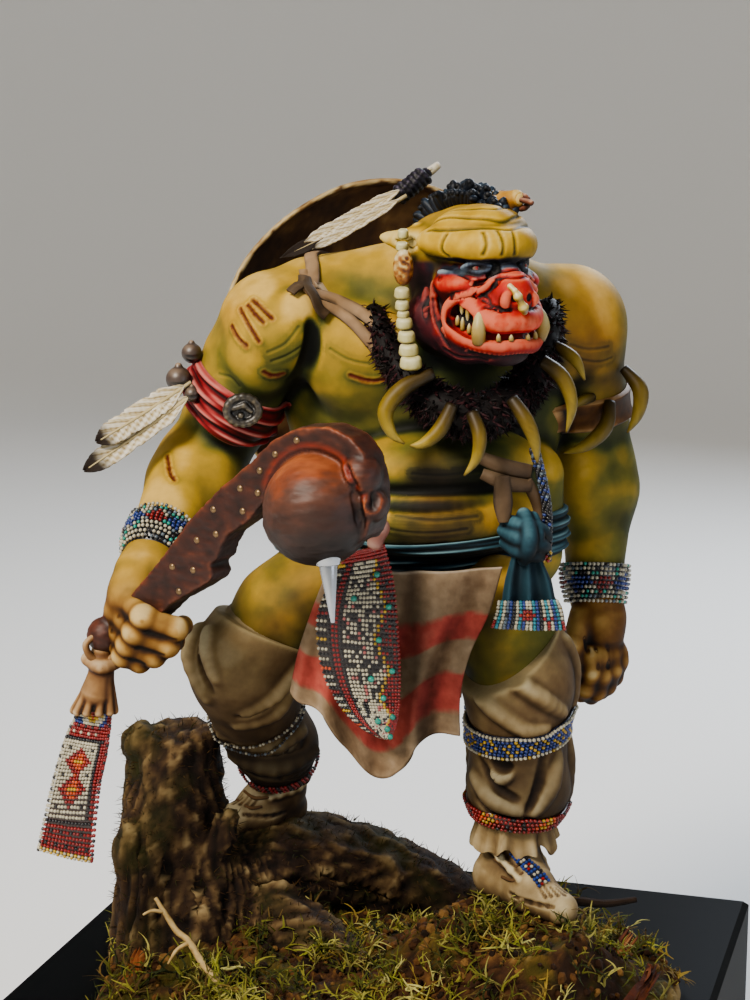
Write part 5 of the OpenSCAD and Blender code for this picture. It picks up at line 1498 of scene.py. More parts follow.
# %% Garters and ankle bands
def beaded_band(tree, a, b, rows, chart, radius, lift, colour, seed, spacing=2.15, count=96):
    """A dark strap with rows of beads; each ring is re-spaced so that beads stay even."""
    shares = np.linspace(0, 1, rows)
    strap = band(tree, a, b, np.linspace(-0.06, 1.06, 7), [lift - 0.06] + [lift] * 5
                 + [lift - 0.06],
                 thick=0.3, count=count)
    store_paint(strap, brushed(strap, [(0, "#060506"), (1, colour)], 1.0, 0.4))
    axis = (Vector(b[:3]) - Vector(a[:3])).normalized()
    bead_rows = []
    for share in shares:
        ring = around(tree, a, b, share, lift + 0.32, count)
        lengths = [(ring[(k + 1) % count] - ring[k]).length for k in range(count)]
        total = sum(lengths)
        number = int(total / (radius * spacing))
        marks = np.cumsum([0] + lengths)
        row = []
        for k in range(number):
            at = k * total / number
            j = min(int(np.searchsorted(marks, at, side="right")) - 1, count - 1)
            point = ring[j].lerp(ring[(j + 1) % count], (at - marks[j]) / max(lengths[j], 1e-6))
            centre = Vector(a[:3]) + axis * (point - Vector(a[:3])).dot(axis)
            row.append((point, (point - centre).normalized()))
        bead_rows.append(row)
    return joined([strap, beaded(bead_rows, chart, radius, seed)])


GARTER_CHART = ["wwwwwwwwwwww", "bbybbbbbybbb", "bybybbbybybb", "ybbbybybbbyb", "bybybbbybybb",
                "bbybbbbbybbb", "wwwwywwwwwyw"]
left_garter = beaded_band(left_tree, (15.0, -3.7, 30.5), (15.25, -3.3, 28.3), 7, GARTER_CHART, 0.2,
                          0.06, "#20263c", 5)
placed("left_beaded_garter", left_garter, glass_beads, ["left_garter"])
right_garter = beaded_band(right_tree, (-11.3, 2.6, 29.3), (-11.1, 3.1, 28.6), 2,
                           ["wkwkwwkw", "gkgwkgkk"], 0.16, -0.05, "#2a2018", 6)
placed("right_beaded_garter", right_garter, glass_beads, ["right_garter"])
ankle_left = beaded_band(left_tree, (15.0, -2.1, 20.9), (14.9, -2.0, 19.5), 4,
                         ["rrrrrkrrroyoyr", "rrkrrrrroyyoor", "rkrrrkrrroyyor", "rrrkrrkrrrrrrr"],
                         0.2,
                         0.0, "#3a1412", 7)
ankle_right = beaded_band(right_tree, (-9.3, 6.8, 22.3), (-9.15, 7.3, 21.4), 3,
                          ["rkrrkr", "krrkrr", "rrkrrk"], 0.18, -0.05, "#2a1210", 8)
placed("ankle_bead_bands", joined([ankle_left, ankle_right]), glass_beads,
       ["ankle_bands"])

# %% [markdown]
# ## Moccasins
# Each moccasin is one soft hide foot with a puckered seam, a low collar and a lace, and the left
# one has a strip of beads along the instep. The frill above the left one is the torn hem of the
# legging.

# %% Moccasins
def foot(toe, heel, ankle, hollow, puckers):
    t, h, k = (np.array(p[:3]) for p in (toe, heel, ankle))
    ahead = (t - h) / np.linalg.norm(t - h)
    side = np.cross(ahead, [0, 0, 1])
    mid = h + (t - h) * 0.55
    base = [rod([*(t - ahead * 0.4), toe[3] + 0.15], [*(mid + [0, 0, 0.5]), toe[3] + 0.75]),
            rod([*(mid + [0, 0, 0.5]), toe[3] + 0.7], [*(h + [0, 0, 0.3]), heel[3] + 0.3]),
            rod([*(mid + [0, 0, 1.4]), 1.9], [*(k + [0, 0, -0.6]), 2.5]),
            rod([*(h + [0, 0, 1.0]), heel[3]], [*k, 2.5])]
    forms = list(base)
    for s in np.linspace(-1, 1, puckers):
        at = t - ahead * (1.0 + 1.2 * abs(s)) + side * s * 1.5
        forms += cut(line(onto(base, [[*(at + [0, 0, 2.4]), 0.05],
                                      [*(at + ahead * 1.0 + [0, 0, 1.4]), 0.16]], 0.8)), 0.22)
    for s in (-1, 1):
        seam = [[*(t - ahead * 5.2 + side * s * 2.4 + [0, 0, 0.6]), 0.12],
                [*(t - ahead * 2.6 + side * s * 2.2 + [0, 0, 0.4]), 0.16],
                [*(t - ahead * 0.2 + side * s * 0.9 + [0, 0, 0.4]), 0.12]]
        forms += groove(onto(base, seam, 0.8), 0.25, 3)
        flap = [[*(mid + side * s * 1.9 + [0, 0, 2.2]), 0.25], [*(k + side * s * 1.9), 0.4],
                [*(k - ahead * 1.2 + side * s * 1.6 + [0, 0, 0.8]), 0.3]]
        forms += line(curve(onto(base, flap, 0.8), 3), 0.4)
    return putty(forms + [half(hollow, (0, 0, -1))], soft=0.8, voxel=0.2), base


left_foot, left_foot_base = foot([19.4, -9.4, 12.1, 1.5], [13.0, -2.0, 12.5, 1.9],
                                 [14.6, -2.0, 16.2], [15, -5, 10.6], 7)
right_foot, right_foot_base = foot([-13.7, 3.8, 16.9, 1.5], [-8.4, 9.2, 15.8, 1.8],
                                   [-8.9, 7.8, 19.4], [-11, 6, 14.4], 7)
for mesh, shade in ((left_foot, 1.0), (right_foot, 0.72)):
    store_paint(mesh, shade * brushed(mesh, BUCKSKIN, 3.2, 0.40, 0.10, 1.4, 33, (3, 14), base=0.5))
hem = []
for k in range(73):
    a = 2 * math.pi * k / 72
    flare = 0.42 * math.sin(9 * a) + 0.22 * math.sin(16 * a + 1)
    rag = 0.35 * math.sin(7 * a + 2) + 0.3 * math.sin(13 * a)
    hem.append([(14.9 + (r + flare * t) * math.cos(a), -2.0 + (r + flare * t) * math.sin(a),
                 z + rag * t)
                for r, z, t in ((3.9, 19.6, 0), (3.9, 18.6, 0.3), (4.05, 17.7, 0.7),
                                (4.3, 16.5, 1.0))])
frill = sheet([[row[i] for row in hem[:-1]] for i in range(4)], closed=True, thick=0.3, ease=0.05)
bm = bmesh.new()
bm.from_mesh(frill)
bmesh.ops.subdivide_edges(bm, edges=bm.edges, cuts=1, use_grid_fill=True, smooth=0.6)
frill = from_bmesh(bm)
store_paint(frill, brushed(frill, BUCKSKIN, 1.6, 0.42, 0.06, 1, 34, (1, 4), base=0.52))
left_foot_tree = tree_of(left_foot)
strip_rows = []
for i in range(13):
    at = Vector((14.6, -5.2, 16.6)).lerp(Vector((17.4, -8.0, 14.2)), i / 12)
    row = []
    for k in (-1.5, -0.5, 0.5, 1.5):
        hit, normal = left_foot_tree.find_nearest(at + Vector((0.72, 0.69, 0)) * k * 0.36)[:2]
        row.append((hit + normal * 0.12, normal))
    strip_rows.append(row)
strip_back = sheet([[p for p, n in row] for row in strip_rows], thick=0.25, ease=0.04)
store_paint(strip_back, brushed(strip_back, [(0, "#08080e"), (1, "#1c2036")], 1, 0.4))
instep = joined([strip_back, beaded(strip_rows, ["bbbb", "bwrb", "brwb", "bbbb", "kwwk"], 0.19,
                                    9)])
lace_paths = [[[12.0, -5.0, 15.6, 0.16], [13.6, -6.4, 15.4, 0.2], [15.2, -6.4, 15.8, 0.16]],
              [[12.6, -6.2, 14.4, 0.16], [14.2, -7.2, 14.4, 0.2], [15.6, -7.0, 15.0, 0.16]]]
laces = joined([tube(onto(left_foot_base, p, 0.8), 5, 8) for p in lace_paths]
               + [tube(onto(right_foot_base, p, 0.8), 5, 8) for p in
                  ([[-12.6, 5.6, 19.0, 0.16], [-11.6, 4.6, 18.6, 0.22], [-10.0, 4.6, 18.8, 0.16]],
                   [[-13.4, 4.6, 18.4, 0.16], [-12.2, 3.8, 17.8, 0.2], [-10.8, 4.0, 18.0, 0.16]])])
store_paint(laces, brushed(laces, [(0, "#0a0706"), (0.5, "#2a1c14"), (1, "#6e5238")], 0.6, 0.45))
placed("left_moccasin_foot", joined([left_foot, frill, instep, laces]), hide_acrylic,
       ["left_moccasin"])
placed("right_moccasin_foot", right_foot, hide_acrylic, ["right_moccasin"])

# %% [markdown]
# ## Breechcloth
# A length of striped trade wool passes under the belt and hangs in front and behind. The front is
# a patch stretched between four drawn edges, with soft folds that deepen towards the hem. Stripes
# are painted across the weave, so they follow the cloth's own rows.

# %% Breechcloth
WOOL = [(-0.2, "#0b0706"), (0.12, "#20150f"), (0.34, "#463527"), (0.54, "#745f4b"),
        (0.72, "#9d8870"), (0.9, "#c0ab93"), (1.1, "#e0d0ba")]
WOOL_RED = [(-0.2, "#0a0505"), (0.12, "#26100d"), (0.34, "#50241d"), (0.54, "#8a3e3a"),
            (0.72, "#b85c54"), (0.9, "#d27c70"), (1.1, "#eaa89c")]


def along(points, shares):
    """Smooth points at shares of the way along a curve through (x, z) pairs."""
    path = np.array(curve([[x, 0, z, 0] for x, z in points], 10))[:, [0, 2]]
    places = np.linspace(0, 1, len(path))
    return np.stack([np.interp(shares, places, path[:, i]) for i in (0, 1)], axis=1)


def hanging_cloth(top, hem, left, right, depth, thick=0.4, columns=64, rows=52):
    """A patch between four edges in x and z, with folds given by a depth function."""
    us, vs = np.linspace(0, 1, columns + 1), np.linspace(0, 1, rows + 1)
    top, hem, left, right = along(top, us), along(hem, us), along(left, vs), along(right, vs)
    grid = []
    for i, v in enumerate(vs):
        row = []
        for k, u in enumerate(us):
            flat = (1 - v) * top[k] + v * hem[k]
            flat += (1 - u) * (left[i] - (1 - v) * top[0] - v * hem[0])
            flat += u * (right[i] - (1 - v) * top[-1] - v * hem[-1])
            row.append(Vector((flat[0], depth(u, v), flat[1])))
        grid.append(row)
    mesh = sheet(grid, thick=thick)
    share = np.array([i / rows for i in range(rows + 1) for _ in range(columns + 1)])
    return mesh, share


def wool_paint(mesh, share, shade=1.0):
    """Tan wool with two dull red stripes across it."""
    co = points_of(mesh)
    both = np.concatenate([share, share])[:len(co)]
    plain = brushed(mesh, WOOL, 0.5, 0.44, 0.10, 0.9, 41, (2, 12), base=0.42)
    red = brushed(mesh, WOOL_RED, 0.5, 0.44, 0.10, 0.9, 41, (2, 12), base=0.42)
    wave = both + 0.012 * cloudy(co, 1.0, 42, 2)
    stripes = np.clip(np.minimum(wave - 0.25, 0.41 - wave) / 0.012 + 0.5, 0, 1) \
        + np.clip(np.minimum(wave - 0.62, 0.85 - wave) / 0.012 + 0.5, 0, 1)
    return mix(plain, red, stripes) * shade


def front_depth(u, v):
    fold = 0.75 * math.cos(RIPPLE * 2.1 * u + 0.4) + 0.45 * math.cos(RIPPLE * 4.4 * u + 1.6)
    tuck = 1.5 * math.exp(-((u - 0.56 + 0.05 * v) / 0.06) ** 2)
    return -9.0 - 0.7 * v + fold * (0.15 + 0.75 * v) + tuck * (0.35 + 0.65 * v) \
        - 0.6 * math.sin(HALF_RIPPLE * u)


front, front_share = hanging_cloth(
    [(-3.6, 46.2), (4, 46.0), (13.0, 46.4)],
    [(-7.3, 34.2), (-6.2, 33.3), (-4.3, 32.6), (-2.0, 28.8), (0.8, 25.5), (3.2, 26.6),
     (5.0, 29.4), (7.0, 30.0), (9.1, 29.9)],
    [(-3.6, 46.2), (-5.2, 42.0), (-6.5, 38.0), (-7.3, 34.2)],
    [(13.0, 46.4), (11.8, 42.0), (10.0, 38.0), (9.1, 34.0), (9.1, 29.9)], front_depth)
front_paint = wool_paint(front, front_share)
co = points_of(front)
shadow = np.clip(1 - np.abs(co[:, 0] - 4.6 - 0.04 * (40 - co[:, 2])) / 2.2, 0, 1)
store_paint(front, mix(front_paint, front_paint * 0.3, shadow))
wool_acrylic = acrylic("matt acrylic wool cloth", roughness=0.88, sheen=0.12, mottle=0.2,
                       stroke_mm=0.16, relief=0.05)
placed("breechcloth_front_wool", front, wool_acrylic, ["breechcloth_front"])

rear, rear_share = hanging_cloth(
    [(-1.4, 46.4), (5, 46.4), (11.4, 46.4)], [(-2.2, 28.4), (1.6, 26.8), (5.4, 26.2), (9.8, 28.0)],
    [(-1.4, 46.4), (-2.0, 36.0), (-2.2, 28.4)], [(11.4, 46.4), (10.6, 36.0), (9.8, 28.0)],
    lambda u, v: 11.0 + 0.9 * v * math.cos(RIPPLE * 2.6 * u) + 0.5 * math.sin(HALF_RIPPLE * u)
                                 - 0.6 * (1 - v))
store_paint(rear, wool_paint(rear, rear_share))
placed("breechcloth_rear_wool", rear, wool_acrylic, ["breechcloth_rear"])

# %% [markdown]
# ## Sash
# A long cotton sash goes twice round the waist and is knotted at the hip. It is a band of many
# rings, and each ring stands off the body by a wave, which gives the gathered folds. The tail
# hangs from the knot and ends in a panel of beads.

# %% Sash, knot and tail
SASH = [(-0.2, "#020405"), (0.15, "#050a0d"), (0.36, "#0b161c"), (0.56, "#162a34"),
        (0.74, "#2a4652"), (0.9, "#4a6c78"), (1.1, "#86a6ac")]


def wound_cloth(a, b, rows, count, folds, reach):
    """A scarf round the body: slanting folds that run into one another and flatten towards its
    edges.
    """
    a, b = Vector(a), Vector(b)
    axis = (b - a).normalized()
    rings = []
    for i in range(rows):
        t = i / (rows - 1)
        ring = around(body_tree, a, b, t, 0.1, count, reach)
        for k, p in enumerate(ring):
            turn = 2 * math.pi * k / count
            wave = 0.46 + 0.26 * math.sin(2 * math.pi * (folds * t + 0.3 * math.sin(turn + 0.4))
                                          + 0.9 * math.sin(2 * turn))
            wave += 0.12 * math.sin(2 * math.pi * 2.2 * folds * t + 2 * turn)
            centre = a + axis * (p - a).dot(axis)
            ring[k] = p + (p - centre).normalized() * wave * (1 - abs(2 * t - 1) ** 6) \
                + axis * 0.3 * math.sin(turn + 0.6)
        rings.append(ring)
    return sheet(rings, closed=True, thick=0.32)


sash = wound_cloth((6.2, 1.6, 48.9), (6.6, 1.6, 44.5), 34, 160, 3.6, 16)
store_paint(sash, brushed(sash, SASH, 2.6, 0.42, 0.06, 1.2, 43, (2, 6), base=0.42))
cotton_acrylic = acrylic("matt acrylic sash cloth", roughness=0.72, sheen=0.15, mottle=0.16,
                         stroke_mm=0.25, relief=0.03)
placed("sash_wrapped", sash, cotton_acrylic, ["sash"])

knot_rolls = [
    [[13.2, -9.0, 50.9, 0.6], [14.6, -10.5, 50.7, 0.8], [16.4, -10.0, 50.2, 0.7],
     [17.2, -8.8, 49.2, 0.5]],
    [[13.0, -9.2, 50.0, 0.6], [14.4, -10.9, 49.6, 0.85], [16.2, -10.5, 49.0, 0.75],
     [17.1, -9.0, 48.2, 0.5]],
    [[13.2, -9.4, 48.9, 0.6], [14.4, -10.8, 48.5, 0.8], [15.8, -10.4, 48.0, 0.7],
     [16.6, -9.2, 47.4, 0.5]],
    [[14.9, -9.6, 51.6, 0.7], [15.3, -11.2, 50.2, 0.75], [15.2, -11.3, 48.8, 0.75],
     [14.9, -10.2, 47.4, 0.6]],
    [[15.8, -9.4, 51.4, 0.5], [16.2, -10.7, 50.0, 0.5], [16.0, -10.6, 48.4, 0.45]]]
knot = putty([lump([15.1, -9.2, 49.4], [1.9, 1.3, 1.8], (0, -12, 12))]
             + [form for roll in knot_rolls for form in line(curve(roll, 5), 0.22)],
             soft=0.6, voxel=0.14)
store_paint(knot, brushed(knot, SASH, 3.4, 0.42, 0.05, 1.2, 44, (3, 12), base=0.44))
placed("sash_knot_tied", knot, cotton_acrylic, ["sash_knot"])


def tail_depth(u, v):
    return -9.9 - 0.35 * v + 0.42 * math.cos(RIPPLE * 2.7 * u + 0.6) * (0.5 + 0.5 * v)


tail, share = hanging_cloth([(13.9, 48.0), (15.2, 48.1), (16.4, 47.8)],
                            [(12.9, 43.2), (15.4, 42.9), (18.0, 43.3)],
                            [(13.9, 48.0), (13.2, 45.4), (12.9, 43.2)],
                            [(16.4, 47.8), (17.5, 45.4), (18.0, 43.3)], tail_depth, 0.5, 40, 20)
store_paint(tail, brushed(tail, SASH, 1.0, 0.42, 0.05, 1.2, 45, (2, 6), base=0.42))
placed("sash_tail_cloth", tail, cotton_acrylic, ["sash_tail"])
tail_rows = between_curves([(12.6, -10.5, 43.4), (12.4, -10.6, 42.2), (12.0, -10.6, 41.0)],
                           [(18.1, -10.5, 43.5), (18.5, -10.6, 42.2), (18.8, -10.6, 40.8)], 9, 20,
                           bulge=0.5)
tail_back = backing(tail_rows, 0.8)
store_paint(tail_back, brushed(tail_back, [(0, "#040608"), (1, "#16222c")], 1, 0.4))
TAIL_CHART = ["wcwgbkwcbwwcbkwcwbcw"] * 3 + ["wcwgbkwcrrrcbkwcwbcw", "wcwkbkwrrorrbkwcwbcw",
                                            "wcwgbkwcrrrcbkrcrbcw"] + ["rcwgbkwcbwwcbkwrwbcr"] * 3
placed("sash_tail_beads", joined([tail_back, beaded(tail_rows, TAIL_CHART, 0.19, 10)]),
       glass_beads,
       ["sash_tail_beadwork"])

# %% [markdown]
# ## Knife sheath
# The sheath is a stiff hide case covered with beads: a ladder of long beads down its outer edge,
# a red line, a speckled white field, and a zigzag of amber beads with turquoise at the corners.

# %% Sheath
sheath_left = [(-1.6, -12.0, 48.4), (-3.6, -12.3, 45.0), (-4.5, -12.4, 41.7), (-4.0, -12.5, 37.3),
               (-2.4, -12.4, 33.9), (-0.4, -12.3, 31.7), (1.5, -12.2, 30.6)]
sheath_right = [(1.7, -12.0, 49.2), (2.6, -12.3, 45.6), (3.0, -12.4, 41.0), (3.2, -12.4, 37.0),
                (3.1, -12.3, 33.6), (2.8, -12.2, 31.8), (2.4, -12.2, 30.7)]
sheath_rows = between_curves(sheath_left, sheath_right, 58, 22, bulge=0.35)
dice = random.Random(11)
SHEATH_CHART, corners = [], []
for i in range(58):
    ladder = "wkwkykwkwkokwkwkrk"[i % 18]
    turn = abs((i % 14) - 7)
    zig = 15 + round(turn * 0.42)
    field = "".join(dice.choice("wwwwwkwwkwp") if dice.random() < 0.9 else "k"
                    for _ in range(zig - 7))
    right = "".join(dice.choice("rrrrk") for _ in range(20 - zig))
    row = ladder * 3 + "kr" + "rk" + field + "y" + right + "ry"
    SHEATH_CHART.append("r" * 22 if i < 4 else row[:22])
    if i % 7 == 0 and i > 3:
        corners.append((sheath_rows[i][min(zig + 1, 21)], i))
sheath_back = backing(sheath_rows, 0.7)
store_paint(sheath_back, brushed(sheath_back, [(0, "#060405"), (1, "#241a1c")], 1, 0.4))
stones = [(p, n) for (p, n), i in corners]
stones += [sheath_rows[i][k] for i, k in ((12, 9), (30, 13), (44, 12))]
stone_mesh = beaded([[(p + n * 0.15, n)] for p, n in stones], ["t"], 0.33, 12, 0.0)
sheath = joined([sheath_back, beaded(sheath_rows, SHEATH_CHART, 0.175, 13), stone_mesh])
placed("knife_sheath_beaded", sheath, glass_beads, ["knife_sheath"])
hilt = putty([rod([0.9, -12.0, 49.4, 0.75], [1.3, -11.9, 50.6, 0.8]),
              ball(1.3, -12.0, 50.9, 0.95)],
             soft=0.5, voxel=0.14)
store_paint(hilt, brushed(hilt, [(0, "#3a1614"), (0.5, "#9a6458"), (1, "#e6bfb0")], 3, 0.4))
placed("knife_hilt_bone", hilt, ivory_acrylic, ["knife_hilt"])

# %% [markdown]
# ## Hair, feathers and the shield
# The crest is a row of stiff greased locks along the middle of the skull. Each lock is a short
# curled tube. Feathers have a quill and two vanes, and the vanes are sheets whose edges are
# nicked where barbs have parted.

# %% Hair crest
hair_line = curve([[12.3, -7.4, 79.8, 0], [11.3, -5.4, 80.8, 0], [10.0, -3.2, 81.1, 0],
                   [8.6, -1.0, 80.8, 0], [7.2, 1.2, 79.6, 0], [6.2, 3.0, 77.6, 0],
                   [5.8, 4.4, 75.2, 0]], 4)
NEAR_SIDE = np.array([-0.69, -0.72, 0.0])
skull = np.array([9.4, -2.6, 75.4])
dice = random.Random(17)
locks = []
for i, p in enumerate(hair_line):
    for side in (-1.5, -0.5, 0.5, 1.5):
        root = p[:3] + NEAR_SIDE * side * 0.95 - np.array([0, 0, 0.25 * side * side])
        out = (root - skull) / np.linalg.norm(root - skull)
        out = out + NEAR_SIDE * side * 0.18 + np.array([dice.uniform(-0.2, 0.2) for _ in range(3)])
        long = dice.uniform(0.9, 1.5)
        curl = NEAR_SIDE * dice.uniform(0.1, 0.6) * (1 if side > 0 else -0.6)
        locks.append(tube([[*(root - out * 0.9), 0.5], [*(root + out * 0.1), 0.55],
                           [*(root + out * long * 0.75 + curl * 0.2), 0.46],
                           [*(root + out * long + curl * 0.9 - [0, 0, 0.15]), 0.2]], 4, 8))
hair = joined(locks)
HAIR = [(-0.2, "#010203"), (0.2, "#030406"), (0.45, "#080b12"), (0.66, "#131b28"),
        (0.84, "#334456"), (1.0, "#7c92a2")]
store_paint(hair, brushed(hair, HAIR, 1.2, 0.42, 0.10, 0.5, 51, (2, 5), base=0.38))
hair_acrylic = acrylic("satin acrylic hair", roughness=0.5, sheen=0.2, mottle=0.15,
                       stroke_mm=0.2, relief=0.03)
placed("hair_crest_locks", hair, hair_acrylic, ["hair_crest"])

ring_at = Vector((14.5, -6.5, 80.6))
plug = putty(line([[ring_at.x + 0.75 * math.cos(a) * 0.8, ring_at.y + 0.75 * math.cos(a) * -0.5,
                    ring_at.z + 0.6 * math.sin(a), 0.26] for a in np.linspace(0, FULL_TURN, 13)],
                  0.15)
             + [rod([14.2, -6.9, 80.9, 0.24], [15.3, -7.5, 80.6, 0.3], 0.15)], soft=0.15,
             voxel=0.1)
store_paint(plug, brushed(plug, [(0, "#0a0504"), (0.5, "#341a12"), (0.8, "#7a4a38"),
                                 (1, "#dcb8a0")], 3, 0.4))
placed("ear_plug_ring", plug, leather_acrylic, ["ear_plug"])

# %% Feathers
FEATHER = [(-0.2, "#2a1c10"), (0.15, "#5a4630"), (0.4, "#8c7850"), (0.6, "#c2b088"),
           (0.8, "#efe6ca"), (1.0, "#fffaf0")]


def feather(root, tip, width, facing, dark_tip, seed, droop=0.6):
    """A quill with two nicked vanes, painted with slanting barbs."""
    dice = random.Random(seed)
    a, b = Vector(root), Vector(tip)
    way = (b - a).normalized()
    up = Vector(facing).normalized()
    side = way.cross(up).normalized()
    rows, columns = 56, 10
    grid, places = [], []
    nick = 0.0
    for i in range(rows + 1):
        t = i / rows
        outline = min(1, (t / 0.16) ** 0.7) * (1 - max(0, (t - 0.72) / 0.28) ** 2.2)
        nick = nick * 0.55 + dice.choice((0, 0, 0, 0.16, 0.3)) * 0.45
        row = []
        for k in range(columns + 1):
            s = 2 * k / columns - 1
            reach = width / 2 * (outline * (1 - (nick if s > 0 else nick * 0.7)) + 0.04)
            sag = up * droop * math.sin(HALF_RIPPLE * t) * 0.4
            point = a.lerp(b, t) + side * s * reach + up * (0.22 * abs(s) ** 1.3 * width * 0.5) \
                + way * abs(s) * width * 0.28 * outline - sag
            row.append(point)
            places.append((t, s))
        grid.append(row)
    vane = sheet(grid, thick=0.12)
    places = np.array(places + places)
    t, s = places[:, 0], np.abs(places[:, 1])
    barbs = np.sin(110 * (t - 0.16 * s)) * 0.2 + np.sin(43 * (t - 0.16 * s) + seed) * 0.2
    # Vanes are a little lighter where they face the light: painted highlight.
    tone = 0.66 + barbs + 0.2 * (s - 0.5) + 0.10 * lit(vane)[:len(t)]
    paint = ramp(tone, FEATHER)
    dusk = np.clip((t - (1 - dark_tip)) / 0.12 + 0.6 * (s - 0.5), 0, 1)
    store_paint(vane, mix(paint, rgb("#20160f"), dusk))
    shaft = tube([[*(a - way * 0.8), 0.2], [*a.lerp(b, 0.5) - up * droop * 0.36, 0.15],
                  [*a.lerp(b, 0.96), 0.07]], 6, 6)
    store_paint(shaft, np.ones((len(shaft.vertices), 1)) * rgb("#d9c9a0"))
    return joined([vane, shaft])


toward = (0.15, -0.85, 0.45)
crest_feathers = joined([
    feather((3.4, 4.4, 81.2), (-6.0, 2.6, 76.2), 1.3, toward, 0.06, 1),
    feather((3.3, 3.9, 80.3), (-5.2, 1.6, 75.6), 1.1, toward, 0.12, 2),
    feather((3.2, 5.0, 80.2), (-8.4, 3.2, 74.6), 1.4, toward, 0.9, 3)])
feather_acrylic = acrylic("matt acrylic feather", roughness=0.7, sheen=0.2, mottle=0.12,
                          stroke_mm=0.15, relief=0.03)
placed("crest_feathers_pair", crest_feathers, feather_acrylic,
       ["crest_feathers"])

start, end = Vector((3.2, 5.0, 80.6)), Vector((5.9, 5.7, 82.7))
way = (end - start).normalized()
side = way.cross(Vector((0, -1, 0.3))).normalized()
up = way.cross(side)
winding = [[*(start.lerp(end, t) + side * 0.72 * math.cos(40 * t) + up * 0.72 * math.sin(40 * t)),
            0.3] for t in np.linspace(0, 1, 60)]
wrap = putty(line(winding, 0.12) + [rod([*start, 0.7], [*end, 0.62])], soft=0.12, voxel=0.12)
store_paint(wrap, brushed(wrap, [(0, "#020203"), (0.5, "#0a080d"), (0.8, "#221e2a"),
                                 (1, "#5c5668")], 3, 0.42, base=0.36))
quills = joined([tube([[5.6, 5.6, 82.4, 0.42], [6.4, 6.0, 83.0, 0.46], [7.2, 6.4, 83.6, 0.36]], 3,
                      12),
                 tube([[5.2, 5.3, 82.4, 0.3], [5.8, 5.5, 82.9, 0.3], [6.5, 5.8, 83.2, 0.22]], 3,
                      10)])
store_paint(quills, brushed(quills, FEATHER, 1, 0.3, 0.3, 0.5, 52, base=0.6))
placed("feather_wrap_cord", joined([wrap, quills]), hair_acrylic, ["feather_wrap"])

# %% [markdown]
# The shield is a dished disc of rawhide, dark and smoky inside, with a thin rim that is nicked and
# scraped pale. One profile is turned into the disc; the rim wobbles because hide dries uneven.

# %% Shield
SHIELD_TO = Matrix.Translation((0.5, 20.6, 64.8)) @ Matrix.Rotation(math.radians(16), 4, "Z") \
    @ Matrix.Rotation(math.radians(96), 4, "X")
profile = [(0.01, -1.2), (6, -1.1), (11, -0.4), (14.5, 0.9), (16.4, 2.2), (17.2, 3.1),
           (17.5, 3.7), (17.4, 4.1), (17.0, 4.0), (16.6, 3.3), (15.6, 2.4), (13.6, 1.2),
           (10, 0.2), (5, -0.2), (0.01, -0.3)]
fine = np.array(curve([[x, 0, z, 0] for x, z in profile], 5))[:, [0, 2]]
turns = 180
rings = []
for x, z in fine:
    rings.append([Vector((x * (1 + 0.006 * math.sin(5 * a) * (x > 14)) * math.cos(a),
                          x * (1 + 0.006 * math.sin(5 * a) * (x > 14)) * math.sin(a),
                          z + 0.12 * math.sin(9 * a + 1) * (x > 12)
                          + (x > 16.8) * 0.12 * math.sin(47 * a) * math.sin(31 * a + 1)))
                  for a in np.linspace(0, 2 * math.pi, turns, endpoint=False)])
shield = sheet(rings, closed=True)
co = points_of(shield)
radius = np.hypot(co[:, 0], co[:, 1])
HIDE = [(-0.2, "#0a0604"), (0.15, "#1a100a"), (0.38, "#332013"), (0.56, "#4e3520"),
        (0.74, "#745636"), (0.9, "#a5875c"), (1.1, "#dcc79a")]
spots = cloudy(co, 3.0, 53)
# A little painted light on the faces turned to the light, over the hide's own mottling.
tone = 0.42 + 0.2 * spots + 0.14 * cloudy(co, 0.8, 54, 2) + 0.12 * lit(shield)
worn = np.clip((radius - 17.0 + 0.5 * cloudy(co, 0.7, 55, 2)) / 0.3, 0, 1)
tone = tone + 0.56 * worn
paint = ramp(tone, HIDE)
outside = normals_of(shield)[:, 2] < -0.2
ring_paint = sum(np.clip(1 - np.abs(radius - ring) / wide, 0, 1)
                 for ring, wide in ((12.0, 0.9), (5.0, 0.7)))
paint = mix(paint, paint * 1.35, outside * 1.0)
paint = mix(paint, rgb("#5c1712"), 0.75 * ring_paint * outside)
store_paint(shield, paint)
shield.transform(SHIELD_TO)
rawhide = acrylic("matt acrylic rawhide", roughness=0.66, sheen=0.25, mottle=0.22, stroke_mm=0.5,
                  relief=0.08)
placed("rawhide_shield", shield, rawhide, ["shield"])

# %% [markdown]
# ## Straps, beads and the fur collar
# Straps are ribbons that find the nearest skin and lie on it. The collar is a roll of dark fur:
# a core covered with blades of hair, most of them nearly black and some tipped pinkish brown.
# Bear claws are lashed to it, each a tapered tube painted from a dark root to an ochre tip.

# %% Straps and buckle
STRAP = [(-0.2, "#0d0806"), (0.12, "#281b13"), (0.34, "#4e3929"), (0.54, "#755b43"),
         (0.72, "#967a5e"), (0.9, "#b89c7e"), (1.1, "#dcc6a8")]


def edged(mesh, path, width, stops, seed):
    """Strap paint with dark lines along both edges."""
    paint = brushed(mesh, stops, 0.8, 0.36, 0.08, 1.0, seed, (1, 4), base=0.5)
    middle = near_curve(points_of(mesh), [p[:3] for p in path])
    return paint * np.clip(1.45 - (middle / (width / 2)) ** 3, 0.2, 1)[:, None]


